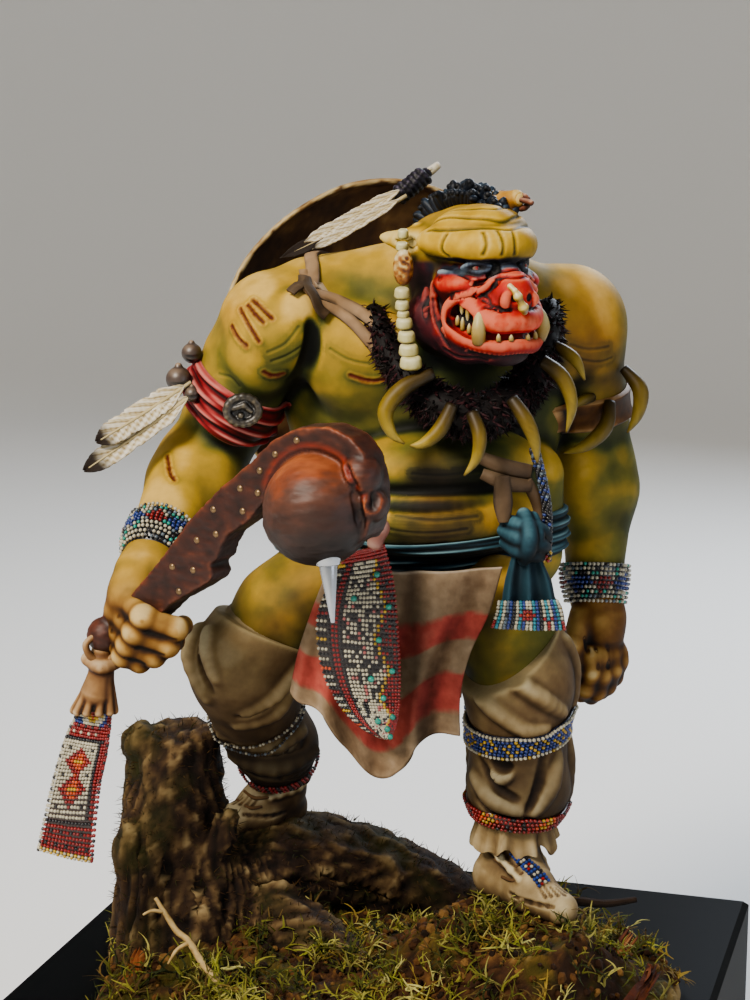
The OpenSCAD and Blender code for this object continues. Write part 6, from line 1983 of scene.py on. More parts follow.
strap_paths = [
    [[5.4, 12, 66, 1.3], [0.8, 13, 71.6, 1.3], [-3.4, 9, 75.8, 1.3], [-5.6, 2, 76.8, 1.3],
     [-4.6, -3, 75.6, 1.35], [-2.6, -4.6, 73.6, 1.4], [0.0, -5, 70.8, 1.4], [3.3, -6, 67.6, 1.4]],
    [[-5.8, -1.5, 75.8, 1.0], [-4.7, -4, 73.5, 1.15], [-2.8, -4.8, 71.3, 1.2],
     [-0.9, -5, 69.1, 1.2], [1.3, -6, 66.4, 1.2], [3.3, -7, 63.8, 1.2]],
    [[-5.6, -3, 75.4, 1.0], [-6.2, -4, 74.0, 1.25], [-7.1, -4.4, 72.0, 1.1]],
    [[-5.3, -3, 75.2, 1.0], [-4.6, -4.6, 73.0, 1.2], [-3.6, -5, 70.1, 1.1]]]
straps = []
for i, path in enumerate(strap_paths):
    strap = ribbon(path, 0.32, body_tree, 0.42 if i < 2 else 0.72, across=7, crown=0.08)
    middle = [list(body_tree.find_nearest(Vector(p[:3]))[0]) + [0] for p in curve(path, 4)]
    store_paint(strap, edged(strap, middle, path[1][3] * 1.2, STRAP, 56 + i))
    straps.append(strap)
placed("chest_straps_pair", joined(straps), leather_acrylic, ["chest_straps"])

flaps = []
for path in ([[10.7, -8.9, 57.0, 1.2], [13.1, -9.2, 56.1, 1.6], [15.7, -8.0, 55.4, 1.4]],
             [[10.9, -9.3, 55.5, 1.1], [13.3, -9.6, 54.6, 1.5], [15.7, -8.3, 54.1, 1.2]],
             [[12.8, -9.9, 55.4, 1.4], [12.9, -10.2, 52.9, 1.9], [13.0, -10.4, 51.0, 1.1]],
             [[15.2, -8.4, 54.6, 1.2], [16.4, -7.9, 52.0, 1.2], [16.8, -8.6, 48.6, 0.9]]):
    flap = ribbon(path, 0.35, facing=(0.05, -1, 0.15), across=7, crown=0.3)
    store_paint(flap, edged(flap, curve(path, 4), 1.6, STRAP, 60) * 0.36)
    flaps.append(flap)
placed("strap_buckle_flaps", joined(flaps), leather_acrylic, ["strap_toggle"])

cord_path = [Vector(p[:3]) for p in curve([[15.9, -8.4, 57.6, 0], [16.7, -8.0, 54.6, 0],
                                           [17.2, -8.4, 51.4, 0], [17.1, -9.4, 47.2, 0]], 14)]
cord_places, cord_colours = [], []
dice = random.Random(61)
for i, p in enumerate(cord_path):
    for k in range(5):
        a = FULL_TURN * k / 5 + i * 0.9
        letter = dice.choice("kkbkg") if i < len(cord_path) - 7 else dice.choice("ryrk")
        cord_places.append(p + Vector((0.36 * math.cos(a), 0.36 * math.sin(a), 0)))
        cord_colours.append(rgb(BEAD_COLOURS[letter]) * dice.uniform(0.6, 1.1))
placed("bead_cord_string", scattered(BEAD, cord_places, [[0.21] * 3] * len(cord_places),
                                     cord_colours), glass_beads, ["bead_cord"])

# %% Bone drop
drop = [putty([lump([3.5, -9.7, 74.8], [0.95, 0.75, 1.7], (6, 0, 0))]
              + cut(line([[2.9, -10.5, 75.9, 0.1], [3.5, -10.6, 75.3, 0.22],
                          [4.1, -10.4, 75.0, 0.1]]), 0.2)
              + cut(line([[2.8, -10.5, 74.9, 0.1], [3.6, -10.7, 74.5, 0.24],
                          [4.2, -10.5, 74.2, 0.1]]), 0.2)
              + cut([ball(3.2, -10.6, 73.9, 0.3), ball(3.9, -10.5, 75.7, 0.25)], 0.15),
              soft=0.3, voxel=0.11)]
CARVED = [(-0.2, "#1c0d04"), (0.2, "#5a3010"), (0.42, "#a56a2c"), (0.6, "#d9b77c"),
          (0.9, "#fff2cc")]
store_paint(drop[0], brushed(drop[0], CARVED, 5, 0.4, 0.3, 0.5, 62, (3, 10), base=0.32))
BONE = [(-0.2, "#221a08"), (0.2, "#5e5228"), (0.42, "#a89a5c"), (0.62, "#d8cf94"),
        (0.9, "#fbf6cc")]
for x, y, z, r, h in ((3.4, -9.9, 72.5, 0.78, 0.5), (3.4, -10.2, 71.4, 0.7, 0.45),
                      (3.5, -10.4, 70.6, 0.62, 0.3), (3.6, -10.6, 69.8, 0.82, 0.5),
                      (3.8, -10.9, 68.6, 0.86, 0.52), (4.0, -11.2, 67.4, 0.96, 0.55),
                      (4.2, -11.5, 66.3, 1.08, 0.6), (3.5, -8.2, 77.8, 0.55, 0.45),
                      (3.4, -8.9, 76.7, 0.62, 0.4)):
    bm = bmesh.new()
    bmesh.ops.create_cone(bm, cap_ends=True, segments=20, radius1=r, radius2=r * 0.86, depth=h * 2,
                          matrix=Matrix.Translation((x, y, z)) @ Matrix.Rotation(0.2, 4, "X"))
    rims = [e for e in bm.edges if e.calc_face_angle(0) > 1]
    bmesh.ops.bevel(bm, geom=rims, offset=h * 0.55, affect="EDGES", segments=3, profile=0.5,
                    material=-1)
    disc = from_bmesh(bm)
    store_paint(disc, brushed(disc, BONE, 2.0, 0.5, 0.2, 0.5, 63, (1, 3), base=0.42))
    drop.append(disc)
placed("bone_bead_string", joined(drop), ivory_acrylic, ["bone_bead_drop"])

# %% Fur collar and claws
collar_core = [[0.8, -2.6, 69.8, 1.0], [2.2, -5.2, 66.6, 1.3], [4.4, -7.8, 63.8, 1.6],
               [7.2, -9.2, 61.8, 1.8], [10.2, -9.4, 61.0, 1.9], [13, -8.4, 61.8, 1.8],
               [15.4, -6.4, 63.8, 1.6], [17.2, -3.2, 66.8, 1.4], [17.8, 1.0, 69.8, 1.2]]
core = putty(line(curve(collar_core, 4)), soft=0.5, voxel=0.3)
core_co, core_n = points_of(core), normals_of(core)
dice = np.random.default_rng(64)
HAIRS = 3400
picks = dice.choice(len(core_co), HAIRS)
ways = core_n[picks] * 0.5 + np.array([0, -0.2, -0.6]) + dice.normal(0, 0.4, (HAIRS, 3))
lengths = dice.uniform(0.4, 1.2, HAIRS)
shade = dice.random(HAIRS)
tints = np.where(shade[:, None] < 0.6, rgb("#0d0708"), rgb("#3c2226")) \
    * dice.uniform(0.6, 1.5, HAIRS)[:, None]
fur = scattered(BLADE, core_co[picks] - core_n[picks] * 0.2,
                np.stack([lengths * 0 + 0.17, lengths * 0 + 0.17, lengths], 1), tints, ways,
                dice.uniform(0, 6, HAIRS), fade=(rgb("#7a4c4c"), 2.5))
store_paint(core, np.ones((len(core_co), 1)) * rgb("#0a0506"))
fur_acrylic = acrylic("satin acrylic fur", roughness=0.6, sheen=0.15, mottle=0.2, stroke_mm=0.2,
                      relief=0.02)
placed("fur_collar", joined([core, fur]), fur_acrylic, ["necklace_collar"])

CLAW = [(0, "#1e160a"), (0.2, "#4c3c1a"), (0.5, "#8a7434"), (0.85, "#b8a258"), (1, "#7a6430")]


def claw(points, steps=6):
    """A hooked claw: a tube darker at the root, with painted shade in the hollow and along its
    underside and painted highlight where it faces the light.
    """
    mesh = tube(points, steps, 14)
    path = [p[:3] for p in curve(points, steps)]
    co = points_of(mesh)
    place = np.argmin([np.linalg.norm(co - p, axis=1) for p in path], axis=0) / (len(path) - 1)
    paint = ramp(place, CLAW)
    tone = 0.6 + 0.6 * lit(mesh) + 0.25 * cloudy(co * [1.6, 1.6, 0.5], 0.5, 65, 2)
    store_paint(mesh, paint * np.clip(tone, 0.15, 1.5)[:, None])
    return mesh


claws = joined([
    claw([[6.3, -11.2, 65.2, 0.55], [3.6, -11.7, 64.0, 0.8], [1.9, -12.1, 61.9, 0.78],
          [2.4, -12.6, 59.9, 0.5], [3.6, -12.7, 58.9, 0.1]]),
    claw([[8.0, -12.0, 62.4, 0.6], [6.9, -12.8, 60.3, 0.72], [5.4, -13.1, 59.0, 0.55],
          [4.1, -13.2, 58.8, 0.1]]),
    claw([[9.8, -12.0, 61.7, 0.6], [10.5, -12.9, 59.7, 0.68], [10.2, -13.2, 57.6, 0.5],
          [9.1, -13.2, 56.0, 0.1]]),
    claw([[13.5, -11.6, 62.9, 0.6], [14.8, -12.5, 61.0, 0.72], [15.6, -12.5, 59.0, 0.55],
          [15.9, -12.2, 57.0, 0.1]]),
    claw([[16.4, -9.4, 66.2, 0.6], [18.3, -9.9, 64.6, 0.75], [19.2, -9.9, 62.1, 0.55],
          [18.8, -9.4, 59.4, 0.1]]),
    claw([[18.0, -4.4, 67.0, 0.5], [19.8, -5.4, 65.8, 0.6], [20.8, -5.6, 63.8, 0.1]])])
claw_acrylic = acrylic("satin acrylic claw", roughness=0.5, sheen=0.25, mottle=0.12, stroke_mm=0.3,
                       relief=0.02, stretch=(1, 1, 0.3))
placed("collar_claws", claws, claw_acrylic, ["necklace_claws"])

# %% [markdown]
# ## Arm bands and cuffs
# The near arm wears a twisted crimson scarf held with a pierced metal brooch, and bells and
# feathers hang behind it. The far arm wears a leather band with claws. Both wrists have cuffs
# covered in beads.

# %% Arm bands
CRIMSON = [(-0.2, "#080203"), (0.12, "#1e0407"), (0.34, "#40090e"), (0.54, "#6c141b"),
           (0.72, "#952a30"), (0.9, "#b8504e"), (1.1, "#dc8e86")]
scarf = wound_cloth((-12.1, 2.5, 63.0), (-14.4, 3.1, 58.6), 30, 144, 3.2, 9)
store_paint(scarf, brushed(scarf, CRIMSON, 2.6, 0.40, 0.06, 1.0, 66, (2, 6), base=0.46))
placed("right_scarf_armband", scarf, cotton_acrylic, ["right_armband"])

hit, normal = body_tree.find_nearest(Vector((-11.6, -5.4, 60.7)))[:2]
brooch_at = hit + normal * 1.15
brooch_turn = (normal + Vector((0, -0.4, 0))).to_track_quat("Z", "Y").to_matrix().to_4x4()
brooch_parts = line([[1.55 * math.cos(a), 1.3 * math.sin(a), 0, 0.36]
                     for a in np.linspace(0, FULL_TURN, 17)], 0.2)
brooch_parts += [lump([0, 0, -0.25], [1.3, 1.1, 0.22]),
                 rod([-0.9, 0.2, 0.1, 0.24], [0.1, 0.5, 0.2, 0.3], 0.2),
                 rod([0.1, 0.5, 0.2, 0.3], [0.8, -0.1, 0.1, 0.22], 0.2),
                 ball(-0.2, -0.5, 0.1, 0.3, 0.2)]
brooch = putty(brooch_parts, soft=0.2, voxel=0.1)
store_paint(brooch, brushed(brooch, [(-0.2, "#040303"), (0.3, "#120f0d"), (0.7, "#3c362c"),
                                     (1.0, "#9c9078")], 4.0, 0.3, 0.08, 0.6, 67, (3, 10),
                            base=0.42))
brooch.transform(Matrix.Translation(brooch_at) @ brooch_turn)
old_metal = acrylic("old metal acrylic", roughness=0.42, sheen=0.6, mottle=0.15, stroke_mm=0.25,
                    relief=0.02)
placed("armband_brooch_metal", brooch, old_metal, ["armband_brooch"])
bells = []
for x, y, z, r in ((-18.2, -0.4, 63.2, 1.25), (-17.0, 0.8, 65.6, 1.0), (-16.8, -1.6, 61.9, 0.75)):
    bell = putty([ball(x, y, z, r), ball(x, y, z + r, r * 0.3, 0.2)]
                 + cut(line([[x - r, y - r * 0.8, z - r * 0.2, 0.12],
                             [x, y - r * 1.05, z - r * 0.3, 0.16],
                             [x + r, y - r * 0.7, z - r * 0.2, 0.12]]), 0.12), soft=0.2,
                 voxel=0.11)
    store_paint(bell, brushed(bell, [(-0.2, "#040304"), (0.4, "#16110f"), (0.75, "#4e4038"),
                                     (1.0, "#b09a84")], 3.0, 0.44, base=0.42))
    bells.append(bell)
placed("armband_bells_metal", joined(bells), old_metal, ["armband_bells"])
arm_feathers = joined([feather((-17.6, -1.4, 62.6), (-25.8, -4.0, 57.6), 2.5, (-0.3, -0.9, 0.3),
                               0.22, 4),
                       feather((-17.2, -2.0, 61.6), (-27.0, -4.6, 54.9), 2.3, (-0.3, -0.9, 0.3),
                               0.26, 5)])
placed("arm_feathers_pair", arm_feathers, feather_acrylic, ["armband_feathers"])

DARK_LEATHER = [(-0.2, "#060302"), (0.2, "#190d07"), (0.45, "#3c2413"), (0.65, "#644124"),
                (0.85, "#946a42"), (1.05, "#c9a276")]
c, d = Vector((22.8, 12.0, 58.9)), Vector((0.12, 0.1, -0.98))
armband = band(body_tree, c - d * 1.7, c + d * 1.7, np.linspace(0, 1, 12),
               [0.1, 0.5, 0.42, 0.34, 0.3, 0.3, 0.3, 0.3, 0.34, 0.42, 0.5, 0.1], 0.3, 96)
store_paint(armband, brushed(armband, DARK_LEATHER, 2.4, 0.42, 0.14, 0.8, 68, (1, 4), base=0.48))
placed("left_leather_armband", armband, leather_acrylic, ["left_armband"])
left_claws = joined([
    claw([[24.6, 6.6, 59.9, 0.6], [24.0, 5.0, 57.6, 0.8], [22.0, 4.5, 55.8, 0.62],
          [19.8, 4.8, 55.0, 0.1]]),
    claw([[26.0, 7.6, 63.2, 0.5], [27.6, 6.6, 61.2, 0.82], [27.4, 6.2, 58.8, 0.62],
          [26.4, 6.4, 56.8, 0.1]]),
    claw([[22.8, 6.6, 60.4, 0.5], [21.6, 5.4, 60.2, 0.5], [20.4, 5.2, 59.4, 0.12]])])
placed("left_armband_claws", left_claws, claw_acrylic, ["left_armband_claws"])


def cuff_chart(rows, seed):
    """White and teal speckle with blue and red diamonds."""
    dice = random.Random(seed)
    chart = []
    for i in range(rows):
        row = ""
        for k in range(24):
            blue = abs(k % 12 - 5) + abs(i - rows // 2) * 1.2 < 3.4
            red = abs((k + 6) % 12 - 5) + abs(i - rows // 2) * 1.2 < 3.0
            row += "b" if blue and dice.random() < 0.85 else "r" if red and dice.random() < 0.85 \
                else dice.choice("wwwktwgw")
        chart.append(row)
    return chart


right_cuff = beaded_band(body_tree, (-20.3, -9.6, 47.5), (-19.4, -6.2, 49.2), 10,
                         cuff_chart(10, 70), 0.2, 0.12, "#14161e", 71)
tassel = [tube([[-17.2, -10.2, 48.6, 0.3], [-16.6 + 0.5 * k, -11.2, 48.2 - 0.3 * k, 0.3],
                [-15.6 + 0.4 * k, -11.4 - 0.3 * k, 47.6 + 0.5 * k, 0.2]], 3, 7)
          for k in range(-1, 3)]
tassel = joined(tassel)
store_paint(tassel, brushed(tassel, DARK_LEATHER, 0.8, 0.45))
placed("right_beaded_cuff", joined([right_cuff, tassel]), glass_beads,
       ["right_cuff"])
left_cuff = beaded_band(body_tree, (23.9, 10.9, 42.0), (23.8, 9.9, 38.4), 9, cuff_chart(9, 72),
                        0.2,
                        0.12, "#14161e", 73)
placed("left_beaded_cuff", left_cuff, glass_beads, ["left_cuff"])

# %% [markdown]
# ## Scenic base
# The figure stands on a rise of modelling earth against a piece of real root wood. Dried moss and
# lichen are glued over the front, with splinters of bark, a dead twig and crumbs of soil. The
# earth is a polar grid with heights from a few soft hills, roughened by noise. Moss is hundreds of
# small curled sprigs and thousands of stalks, so the base's edge stays fuzzy like the real one.

# %% Earth
def in_row(x, y):
    c, s = math.cos(FIGURE_TURN), math.sin(FIGURE_TURN)
    return c * x - s * y, s * x + c * y


HILLS = ((13, 110, 16.2, -5.6), (4.5, 180, -12, 4), (2.4, 70, -14, -10), (1.6, 60, -2, -16))


def earth_edge(a):
    return 29.5 + 1.8 * np.sin(3 * a + 0.35) + 1.2 * np.sin(7 * a)


def ground(x, y):
    """Height of the earth above the plinth at the sculptor's x and y."""
    u, v = in_row(np.asarray(x, float), np.asarray(y, float))
    h = 2.4 + 0.5 * np.sin(np.radians(41 * u)) * np.cos(np.radians(37 * v))
    for top, wide, cu, cv in HILLS:
        h = h + top * np.exp(-((u - cu) ** 2 + (v - cv) ** 2) / wide)
    fall = (earth_edge(np.arctan2(v, u)) - np.hypot(u, v)) / 3.2
    return np.minimum(h, 10.6) * np.clip(fall, 0, 1) ** 0.5


angles = np.linspace(0, 2 * math.pi, 240, endpoint=False)
rings = []
for share in np.linspace(0.003, 1, 96) ** 0.8:
    u, v = earth_edge(angles) * share * np.cos(angles), earth_edge(angles) * share * np.sin(angles)
    x, y = math.cos(FIGURE_TURN) * u + math.sin(FIGURE_TURN) * v, \
        -math.sin(FIGURE_TURN) * u + math.cos(FIGURE_TURN) * v
    rings.append(np.stack([x, y, ground(x, y)], 1))
rings.append(rings[-1] * [0.02, 0.02, 0])
earth = sheet(rings, closed=True)
co = points_of(earth)
rough = 0.5 * cloudy(co, 2.2, 81) + 0.35 * np.abs(cloudy(co, 0.8, 82, 2)) - 0.1
co[:, 2] = np.where(co[:, 2] > 0.02, np.maximum(co[:, 2] + rough, 0.03), co[:, 2])
put_points(earth, co)
EARTH = [(-0.3, "#060403"), (0.1, "#150d08"), (0.35, "#2a1b10"), (0.55, "#40291a"),
         (0.75, "#5e4128"), (0.95, "#86643e"), (1.2, "#b0946a")]
paint = brushed(earth, EARTH, 1.0, 0.22, 0.22, 2.4, 83, (1, 4), base=0.34)
green = np.clip(cloudy(co, 5.0, 84) * 1.6, 0, 0.7)
store_paint(earth, mix(paint, paint * 0.4 + rgb("#4a5220") * 0.5, green))
soil = acrylic("earth and sand", roughness=0.9, sheen=0.15, mottle=0.35, stroke_mm=0.5,
               relief=0.35)
dice = np.random.default_rng(85)


def strewn(count, reach=1.0, front=0.0):
    """Random places on the earth, more of them towards the front if asked."""
    a = dice.uniform(0, FULL_TURN, count)
    r = earth_edge(a) * np.sqrt(dice.random(count)) * reach
    u, v = r * np.cos(a), r * np.sin(a)
    x, y = math.cos(FIGURE_TURN) * u + math.sin(FIGURE_TURN) * v, \
        -math.sin(FIGURE_TURN) * u + math.cos(FIGURE_TURN) * v
    keep = dice.random(count) < 1 - front * np.clip((y + 8) / 20, 0, 1)
    return np.stack([x, y, ground(x, y)], 1)[keep]


crumbs = strewn(1500)
sizes = dice.uniform(0.18, 0.62, (len(crumbs), 1)) * dice.uniform(0.6, 1.3, (len(crumbs), 3))
tints = dice.choice(np.array([rgb(c) for c in ("#1d120a", "#3a2414", "#5c3f26", "#7a5c3a",
                                               "#2c1b10")]), len(crumbs))
crumb_mesh = scattered(BEAD, crumbs + [0, 0, 0.15], sizes, tints,
                       dice.normal(0, 1, (len(crumbs), 3)))
placed("earth_and_crumbs", joined([earth, crumb_mesh]), soil, ["groundwork"], False)

# %% [markdown]
# The stump is weathered root wood: dark, fibrous and split along the grain. Clay limbs give its
# mass, cuts open the splits, and a stretched noise raises the fibres.

# %% Driftwood
wood_forms = line(curve([[-19.6, 6.4, 22.4, 4.3], [-20.0, 5.4, 18.4, 4.9], [-19.4, 3.4, 12, 6.2],
                         [-18.6, 2.2, 6, 7.0], [-18.4, 2, 2, 7.4]], 3), 1.0)
wood_forms += line(curve([[-18.6, 3, 9.6, 6.0], [-13, 6.0, 10.2, 5.4], [-7, 8.6, 9.6, 5.2],
                          [-1, 10.6, 8.4, 4.6], [5, 11.8, 6.2, 3.6], [10, 12.4, 4.4, 2.6]], 3),
                   1.6)
wood_forms += line(curve([[-12, 3.6, 7, 4.2], [-6.6, -0.6, 5.0, 3.4], [-1.4, -3, 3.4, 2.2]], 3),
                   1.6)
wood_forms += [lump([-23.2, 5.6, 24.4], [1.9, 2.4, 2.2], (0, 10, 20), 0.8),
               lump([-17.0, 6.4, 24.6], [2.4, 2.4, 1.7], (10, 0, 0), 0.8),
               lump([-24.0, 0.6, 14.4], [1.6, 2.0, 3.6], (0, 0, 0), 1.2),
               lump([-14.6, -0.8, 16.4], [1.5, 1.2, 3.2], (0, 20, 0), 1.0)]
wood_forms += cut([lump([-20.0, 5.2, 27.4], [3.2, 2.8, 1.6], (12, 6, 0))], 0.8)
for x, y, low, high in ((-23.0, -0.6, 6, 21), (-20.4, -1.8, 8, 24), (-17.4, -2.2, 4, 20),
                        (-14.0, -1.2, 8, 17), (-24.8, 4.0, 9, 22), (-15.2, 6.8, 14, 26)):
    wood_forms += cut(line([[x, y, high, 0.2], [x + 0.5, y - 0.6, (low + high) / 2, 0.6],
                            [x - 0.6, y - 1.6, low, 0.3]]), 0.4)
for y, z, low, high in ((1.2, 10.4, -12, 2), (4.6, 12.6, -14, 4), (4.0, 7.0, -9, 4)):
    wood_forms += cut(line([[low, y, z, 0.2], [(low + high) / 2, y + 3, z - 0.4, 0.6],
                            [high, y + 6, z - 3.2, 0.2]]), 0.4)
wood = putty(wood_forms, soft=1.2, voxel=0.42)
co, n = points_of(wood), normals_of(wood)
upright = np.clip((-10 - co[:, 0]) / 5, 0, 1)
grain = mix(co * [0.22, 1, 1], co * [1, 1, 0.22], upright)
fibre = cloudy(grain, 1.1, 86, 4)
knots = cloudy(co, 4.5, 87)
put_points(wood, co + n * (0.42 * fibre + 0.5 * knots)[:, None])
BARK = [(-0.4, "#030202"), (0.0, "#0b0805"), (0.25, "#18110c"), (0.45, "#281c14"),
        (0.65, "#3e2e20"), (0.85, "#66523a"), (1.1, "#9a8664")]
# Lighter on faces turned to the light and on points that stand proud, darker in the splits and
# hollows: painted highlight and painted shade over the wood's own fibre and knots.
t = 0.30 + 0.30 * lit(wood) + 0.34 * fibre + 0.16 * knots + 1.0 * proud(wood, 3)
paint = ramp(t, BARK)
moss_film = np.clip(0.9 * cloudy(co, 6.0, 88) + 0.35 * n[:, 2] - 0.1, 0, 0.65)
store_paint(wood, mix(paint, paint * 0.5 + rgb("#3c4018") * 0.5, moss_film))
root_wood = acrylic("weathered root wood", roughness=0.88, sheen=0.15, mottle=0.3, stroke_mm=0.3,
                    relief=0.3)
fuzz = dice.choice(len(co), 3600)
fuzz = fuzz[(n[fuzz, 1] < 0.75)]
fuzz_tints = dice.choice(np.array([rgb(c) for c in ("#22160c", "#3a2817", "#4e3a20", "#2e3012")]),
                         len(fuzz))
fibres = scattered(BLADE, co[fuzz], np.stack([np.full(len(fuzz), 0.045), np.full(len(fuzz), 0.045),
                                              dice.uniform(0.35, 1.2, len(fuzz))], 1),
                   fuzz_tints, n[fuzz] + dice.normal(0, 0.6, (len(fuzz), 3)))
placed("root_wood_stump", joined([wood, fibres]), root_wood, ["driftwood"])

# %% [markdown]
# Moss and lichen are dried plants. A sprig has curled strands that branch; it is turned, scaled
# and tinted at random. Stalks between them hide the glue. Both are set in loose clumps.

# %% Moss and lichen
def sprig_shape(seed, strands=5, rings=5):
    """A curled sprig one unit long, made of three-sided strands."""
    dice = random.Random(seed)
    points, faces = [], []
    spots = [Vector((0, 0, 0))]
    for k in range(strands):
        at = spots[min(k, len(spots) - 1)].copy()
        way = Vector((dice.uniform(-1, 1), dice.uniform(-1, 1), 1.2)).normalized()
        bend = Vector((dice.uniform(-1, 1), dice.uniform(-1, 1), dice.uniform(-0.7, 0.3)))
        first, reach = len(points), 1.0 if k == 0 else dice.uniform(0.4, 0.8)
        for i in range(rings):
            wide = 0.05 * (1 - 0.7 * i / (rings - 1))
            points += [[at.x + wide * math.cos(a), at.y + wide * math.sin(a), at.z]
                       for a in (0, 2.1, 4.2)]
            if k == 0:
                spots.append(at.copy())
            way = (way + bend * 0.7).normalized()
            at = at + way * reach / (rings - 1)
        faces += [[first + 3 * i + j, first + 3 * i + (j + 1) % 3,
                   first + 3 * i + 3 + (j + 1) % 3, first + 3 * i + 3 + j]
                  for i in range(rings - 1) for j in range(3)]
    return np.array(points), faces


def clumps(count, each, spread, front, reach=0.98):
    """Places gathered in clumps, on the earth."""
    centres = strewn(count, reach, front)
    spots = []
    for centre in centres:
        p = centre + dice.normal(0, spread, (each, 3))
        p[:, 2] = ground(p[:, 0], p[:, 1])
        spots.append(p[p[:, 2] > 0.4])
    return np.vstack(spots)


GREENS = np.array([rgb(c) for c in ("#2c3216", "#4a4e22", "#6c6c34", "#8e8a48", "#aaa264",
                                    "#5c4a2a")])
GOLDS = np.array([rgb(c) for c in ("#8e9048", "#aca860", "#c2bc7c", "#9a8448", "#746238")])
def sprigs(seed, spots, lift, size, greens, tone, lean, upright):
    """One kind of sprig on many spots, each lifted, sized, tinted and tilted by chance."""
    n = len(spots)
    return scattered(sprig_shape(seed), spots + dice.uniform(*lift, (n, 1)) * [0, 0, 1],
                     dice.uniform(*size, (n, 1)) * np.ones((1, 3)),
                     dice.choice(greens, n) * dice.uniform(*tone, (n, 1)),
                     dice.normal(0, lean, (n, 3)) + upright, dice.uniform(0, 6, n))


parts = [sprigs(seed, clumps(44, 10, 1.3, 0.7), (-0.1, 0.7), (1.3, 3.2), GREENS, (0.6, 1.25),
                0.6, [0, -0.25, 0.9]) for seed in range(3)]
stalks = clumps(80, 22, 1.1, 0.5)
n = len(stalks)
parts.append(scattered(BLADE, stalks,
                       np.stack([np.full(n, 0.07), np.full(n, 0.07), dice.uniform(0.4, 1.3, n)],
                                1),
                       dice.choice(GREENS[:3], n) * dice.uniform(0.5, 1.1, (n, 1)),
                       dice.normal(0, 0.5, (n, 3)) + [0, 0, 0.8]))
dry_moss = acrylic("dried moss", roughness=0.85, sheen=0.2, mottle=0.3, stroke_mm=0.6, relief=0.05)
placed("moss_sprigs", joined(parts), dry_moss, ["moss_tufts"], False)
parts = [sprigs(seed, clumps(16, 13, 1.2, 0.85), (0.2, 1.2), (1.5, 3.0), GOLDS, (0.7, 1.3),
                0.8, [0, -0.2, 0.6]) for seed in range(3, 6)]
placed("lichen_sprigs", joined(parts), dry_moss, ["lichen_tufts"], False)

# %% [markdown]
# Bark splinters are flat, split along the grain and broken square at the ends.

# %% Bark, twig, plinth and pins
SPLINTER = [(-0.3, "#0a0504"), (0.1, "#22100a"), (0.4, "#4a2416"), (0.6, "#6e3c24"),
            (0.85, "#9c6844"), (1.1, "#c89a70")]


def splinter(a, b, width, facing, seed):
    """A shard of bark between two points with ragged ends and a raised grain."""
    dice = random.Random(seed)
    a, b = Vector(a), Vector(b)
    side = (b - a).cross(Vector(facing)).normalized()
    up = side.cross(b - a).normalized()
    columns = 12
    starts = [dice.uniform(-0.06, 0.06) for _ in range(columns + 1)]
    ends = [dice.uniform(-0.09, 0.09) for _ in range(columns + 1)]
    ridges = [dice.uniform(-0.12, 0.12) for _ in range(columns + 1)]
    rows = []
    for i in range(25):
        t = i / 24
        wide = width * (0.7 + 0.3 * math.sin(3 * t + seed)) * (1 - 0.25 * t)
        rows.append([a.lerp(b, t * (1 + ends[k]) + (1 - t) * starts[k])
                     + side * wide * (k / columns - 0.5)
                     + up * (ridges[k] + 0.25 * math.sin(2.4 * t * 3.1 + seed)
                             + 0.5 * (0.25 - (k / columns - 0.5) ** 2) * width * 0.4)
                     for k in range(columns + 1)])
    mesh = sheet(rows, thick=0.55)
    grain = np.array([r * 3 for r in ridges for _ in (0,)])
    stripe = np.tile(grain, 25 * 2)[:len(mesh.vertices)]
    # Lighter where the shard faces the light: painted highlight, over its grain stripes.
    store_paint(mesh, ramp(0.36 + 0.3 * lit(mesh) + 0.7 * stripe
                           + 0.2 * cloudy(points_of(mesh), 0.8, seed, 2),
                           SPLINTER))
    return mesh


bark = joined([splinter((20.6, -13.0, 3.4), (26.4, -5.0, 7.6), 4.6, (0.5, -0.6, 0.7), 90),
               splinter((23.6, -16.6, 2.6), (28.0, -10.0, 5.8), 3.4, (0.6, -0.5, 0.7), 91),
               splinter((15.6, -17.4, 2.6), (21.6, -16.8, 5.0), 3.0, (-0.2, -0.7, 0.7), 92),
               splinter((-15.0, -18.8, 2.6), (-10.4, -18.2, 5.2), 2.6, (0.1, -0.8, 0.6), 93),
               splinter((-9.6, -20.6, 2.2), (-6.6, -16.4, 4.6), 2.2, (-0.5, -0.6, 0.7), 94),
               splinter((-24.4, -10.2, 2.4), (-22.8, -5.4, 6.0), 2.4, (-0.4, -0.8, 0.3), 95),
               splinter((3.6, -19.6, 2.4), (8.4, -20.4, 3.8), 2.0, (0, -0.6, 0.8), 96)])
stick = tube([[17.2, -1.8, 9.2, 0.4], [20.8, -1.6, 9.9, 0.5], [24.4, -1.0, 9.4, 0.42],
              [27.6, -0.4, 9.6, 0.3]], 6, 9)
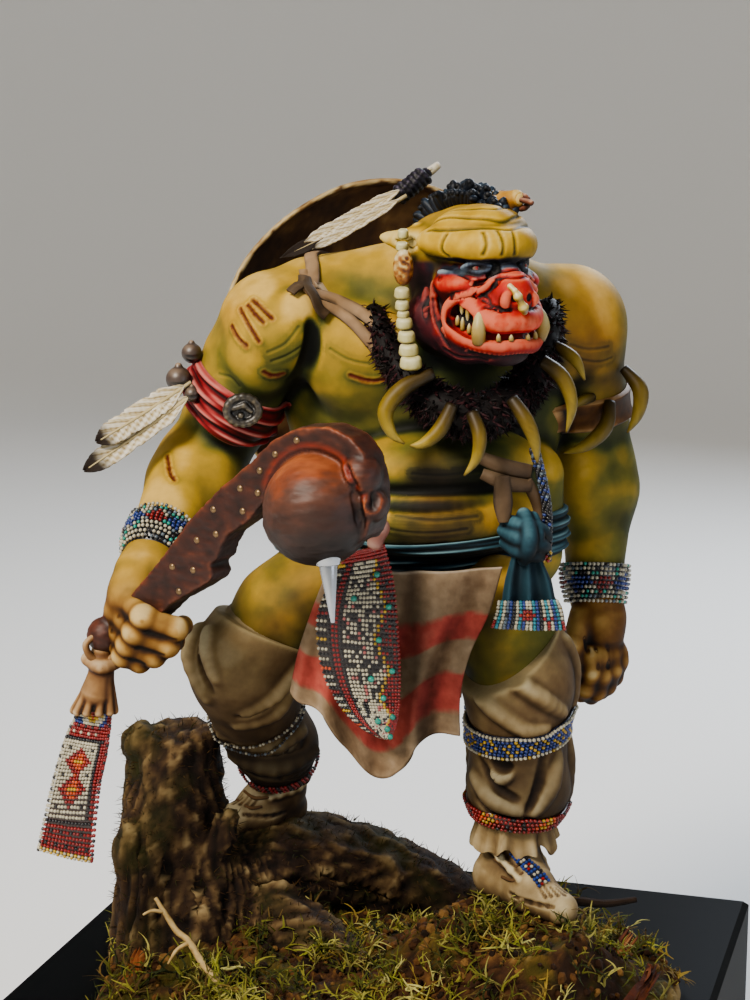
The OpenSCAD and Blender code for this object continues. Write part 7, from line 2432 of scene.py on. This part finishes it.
# Dark bark, lighter where the stick faces the light: painted highlight.
store_paint(stick, ramp(0.2 + 0.3 * lit(stick), BARK))
bark_stuff = acrylic("dry bark", roughness=0.85, sheen=0.15, mottle=0.3, stroke_mm=0.3,
                     relief=0.2, stretch=(1, 1, 0.4))
placed("bark_splinters", joined([bark, stick]), bark_stuff, ["bark_pieces"], False)

twig_lines = [[[-20.7, -8, 12.8, 0.2], [-19.8, -8.6, 11.6, 0.26], [-18.6, -9.2, 9.9, 0.32],
               [-17.2, -10.0, 9.0, 0.34], [-15.9, -11.1, 7.2, 0.36], [-14.4, -12.4, 5.8, 0.34],
               [-13.5, -13.6, 3.4, 0.36]],
              [[-19.8, -8.6, 11.6, 0.24], [-20.9, -9.0, 11.9, 0.18], [-21.8, -9.4, 11.6, 0.1]],
              [[-17.2, -10.0, 9.0, 0.26], [-18.4, -10.9, 8.6, 0.2], [-19.2, -12.0, 7.6, 0.12]]]
TWIG = [(-0.2, "#2c1c0c"), (0.3, "#6e5230"), (0.6, "#a88a5a"), (1.0, "#dcc596")]
twigs = []
for i, path in enumerate(twig_lines):
    twig = tube(path, 6, 9)
    bumps = 0.05 * cloudy(points_of(twig), 0.5, 97 + i, 2)
    put_points(twig, points_of(twig) + normals_of(twig) * bumps[:, None])
    # Lighter where the twig faces the light and on the knobs that stand out: painted highlight.
    store_paint(twig, ramp(0.55 + 0.35 * lit(twig) + 4 * bumps, TWIG))
    twigs.append(twig)
placed("pale_dead_twig", joined(twigs), bark_stuff, ["pale_twig"])


def bare(name, colour, roughness, metallic, coat, grain_mm, relief, sheen):
    """A material with no painted points: lacquer on wood, or drawn wire."""
    return acrylic(name, roughness=roughness, sheen=sheen, mottle=0.07, stroke_mm=grain_mm,
                   relief=relief, colour=colour, coat=coat, metallic=metallic)


lacquer = bare("black satin lacquer", "#020304", 0.5, 0.0, 0.0, 1.5, 0.012, 0.02)
drawn_steel = bare("drawn steel wire", "#9ea2a6", 0.3, 1.0, 0.0, 0.3, 0.02, 0.5)
for node, material in (("plinth", lacquer), ("foot_pins", drawn_steel),
                       ("shield_pin", drawn_steel)):
    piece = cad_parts[node]
    for holder in piece.material_slots:
        holder.material = material
    print(node, "keeps its shape:", len(piece.material_slots), "material slot")
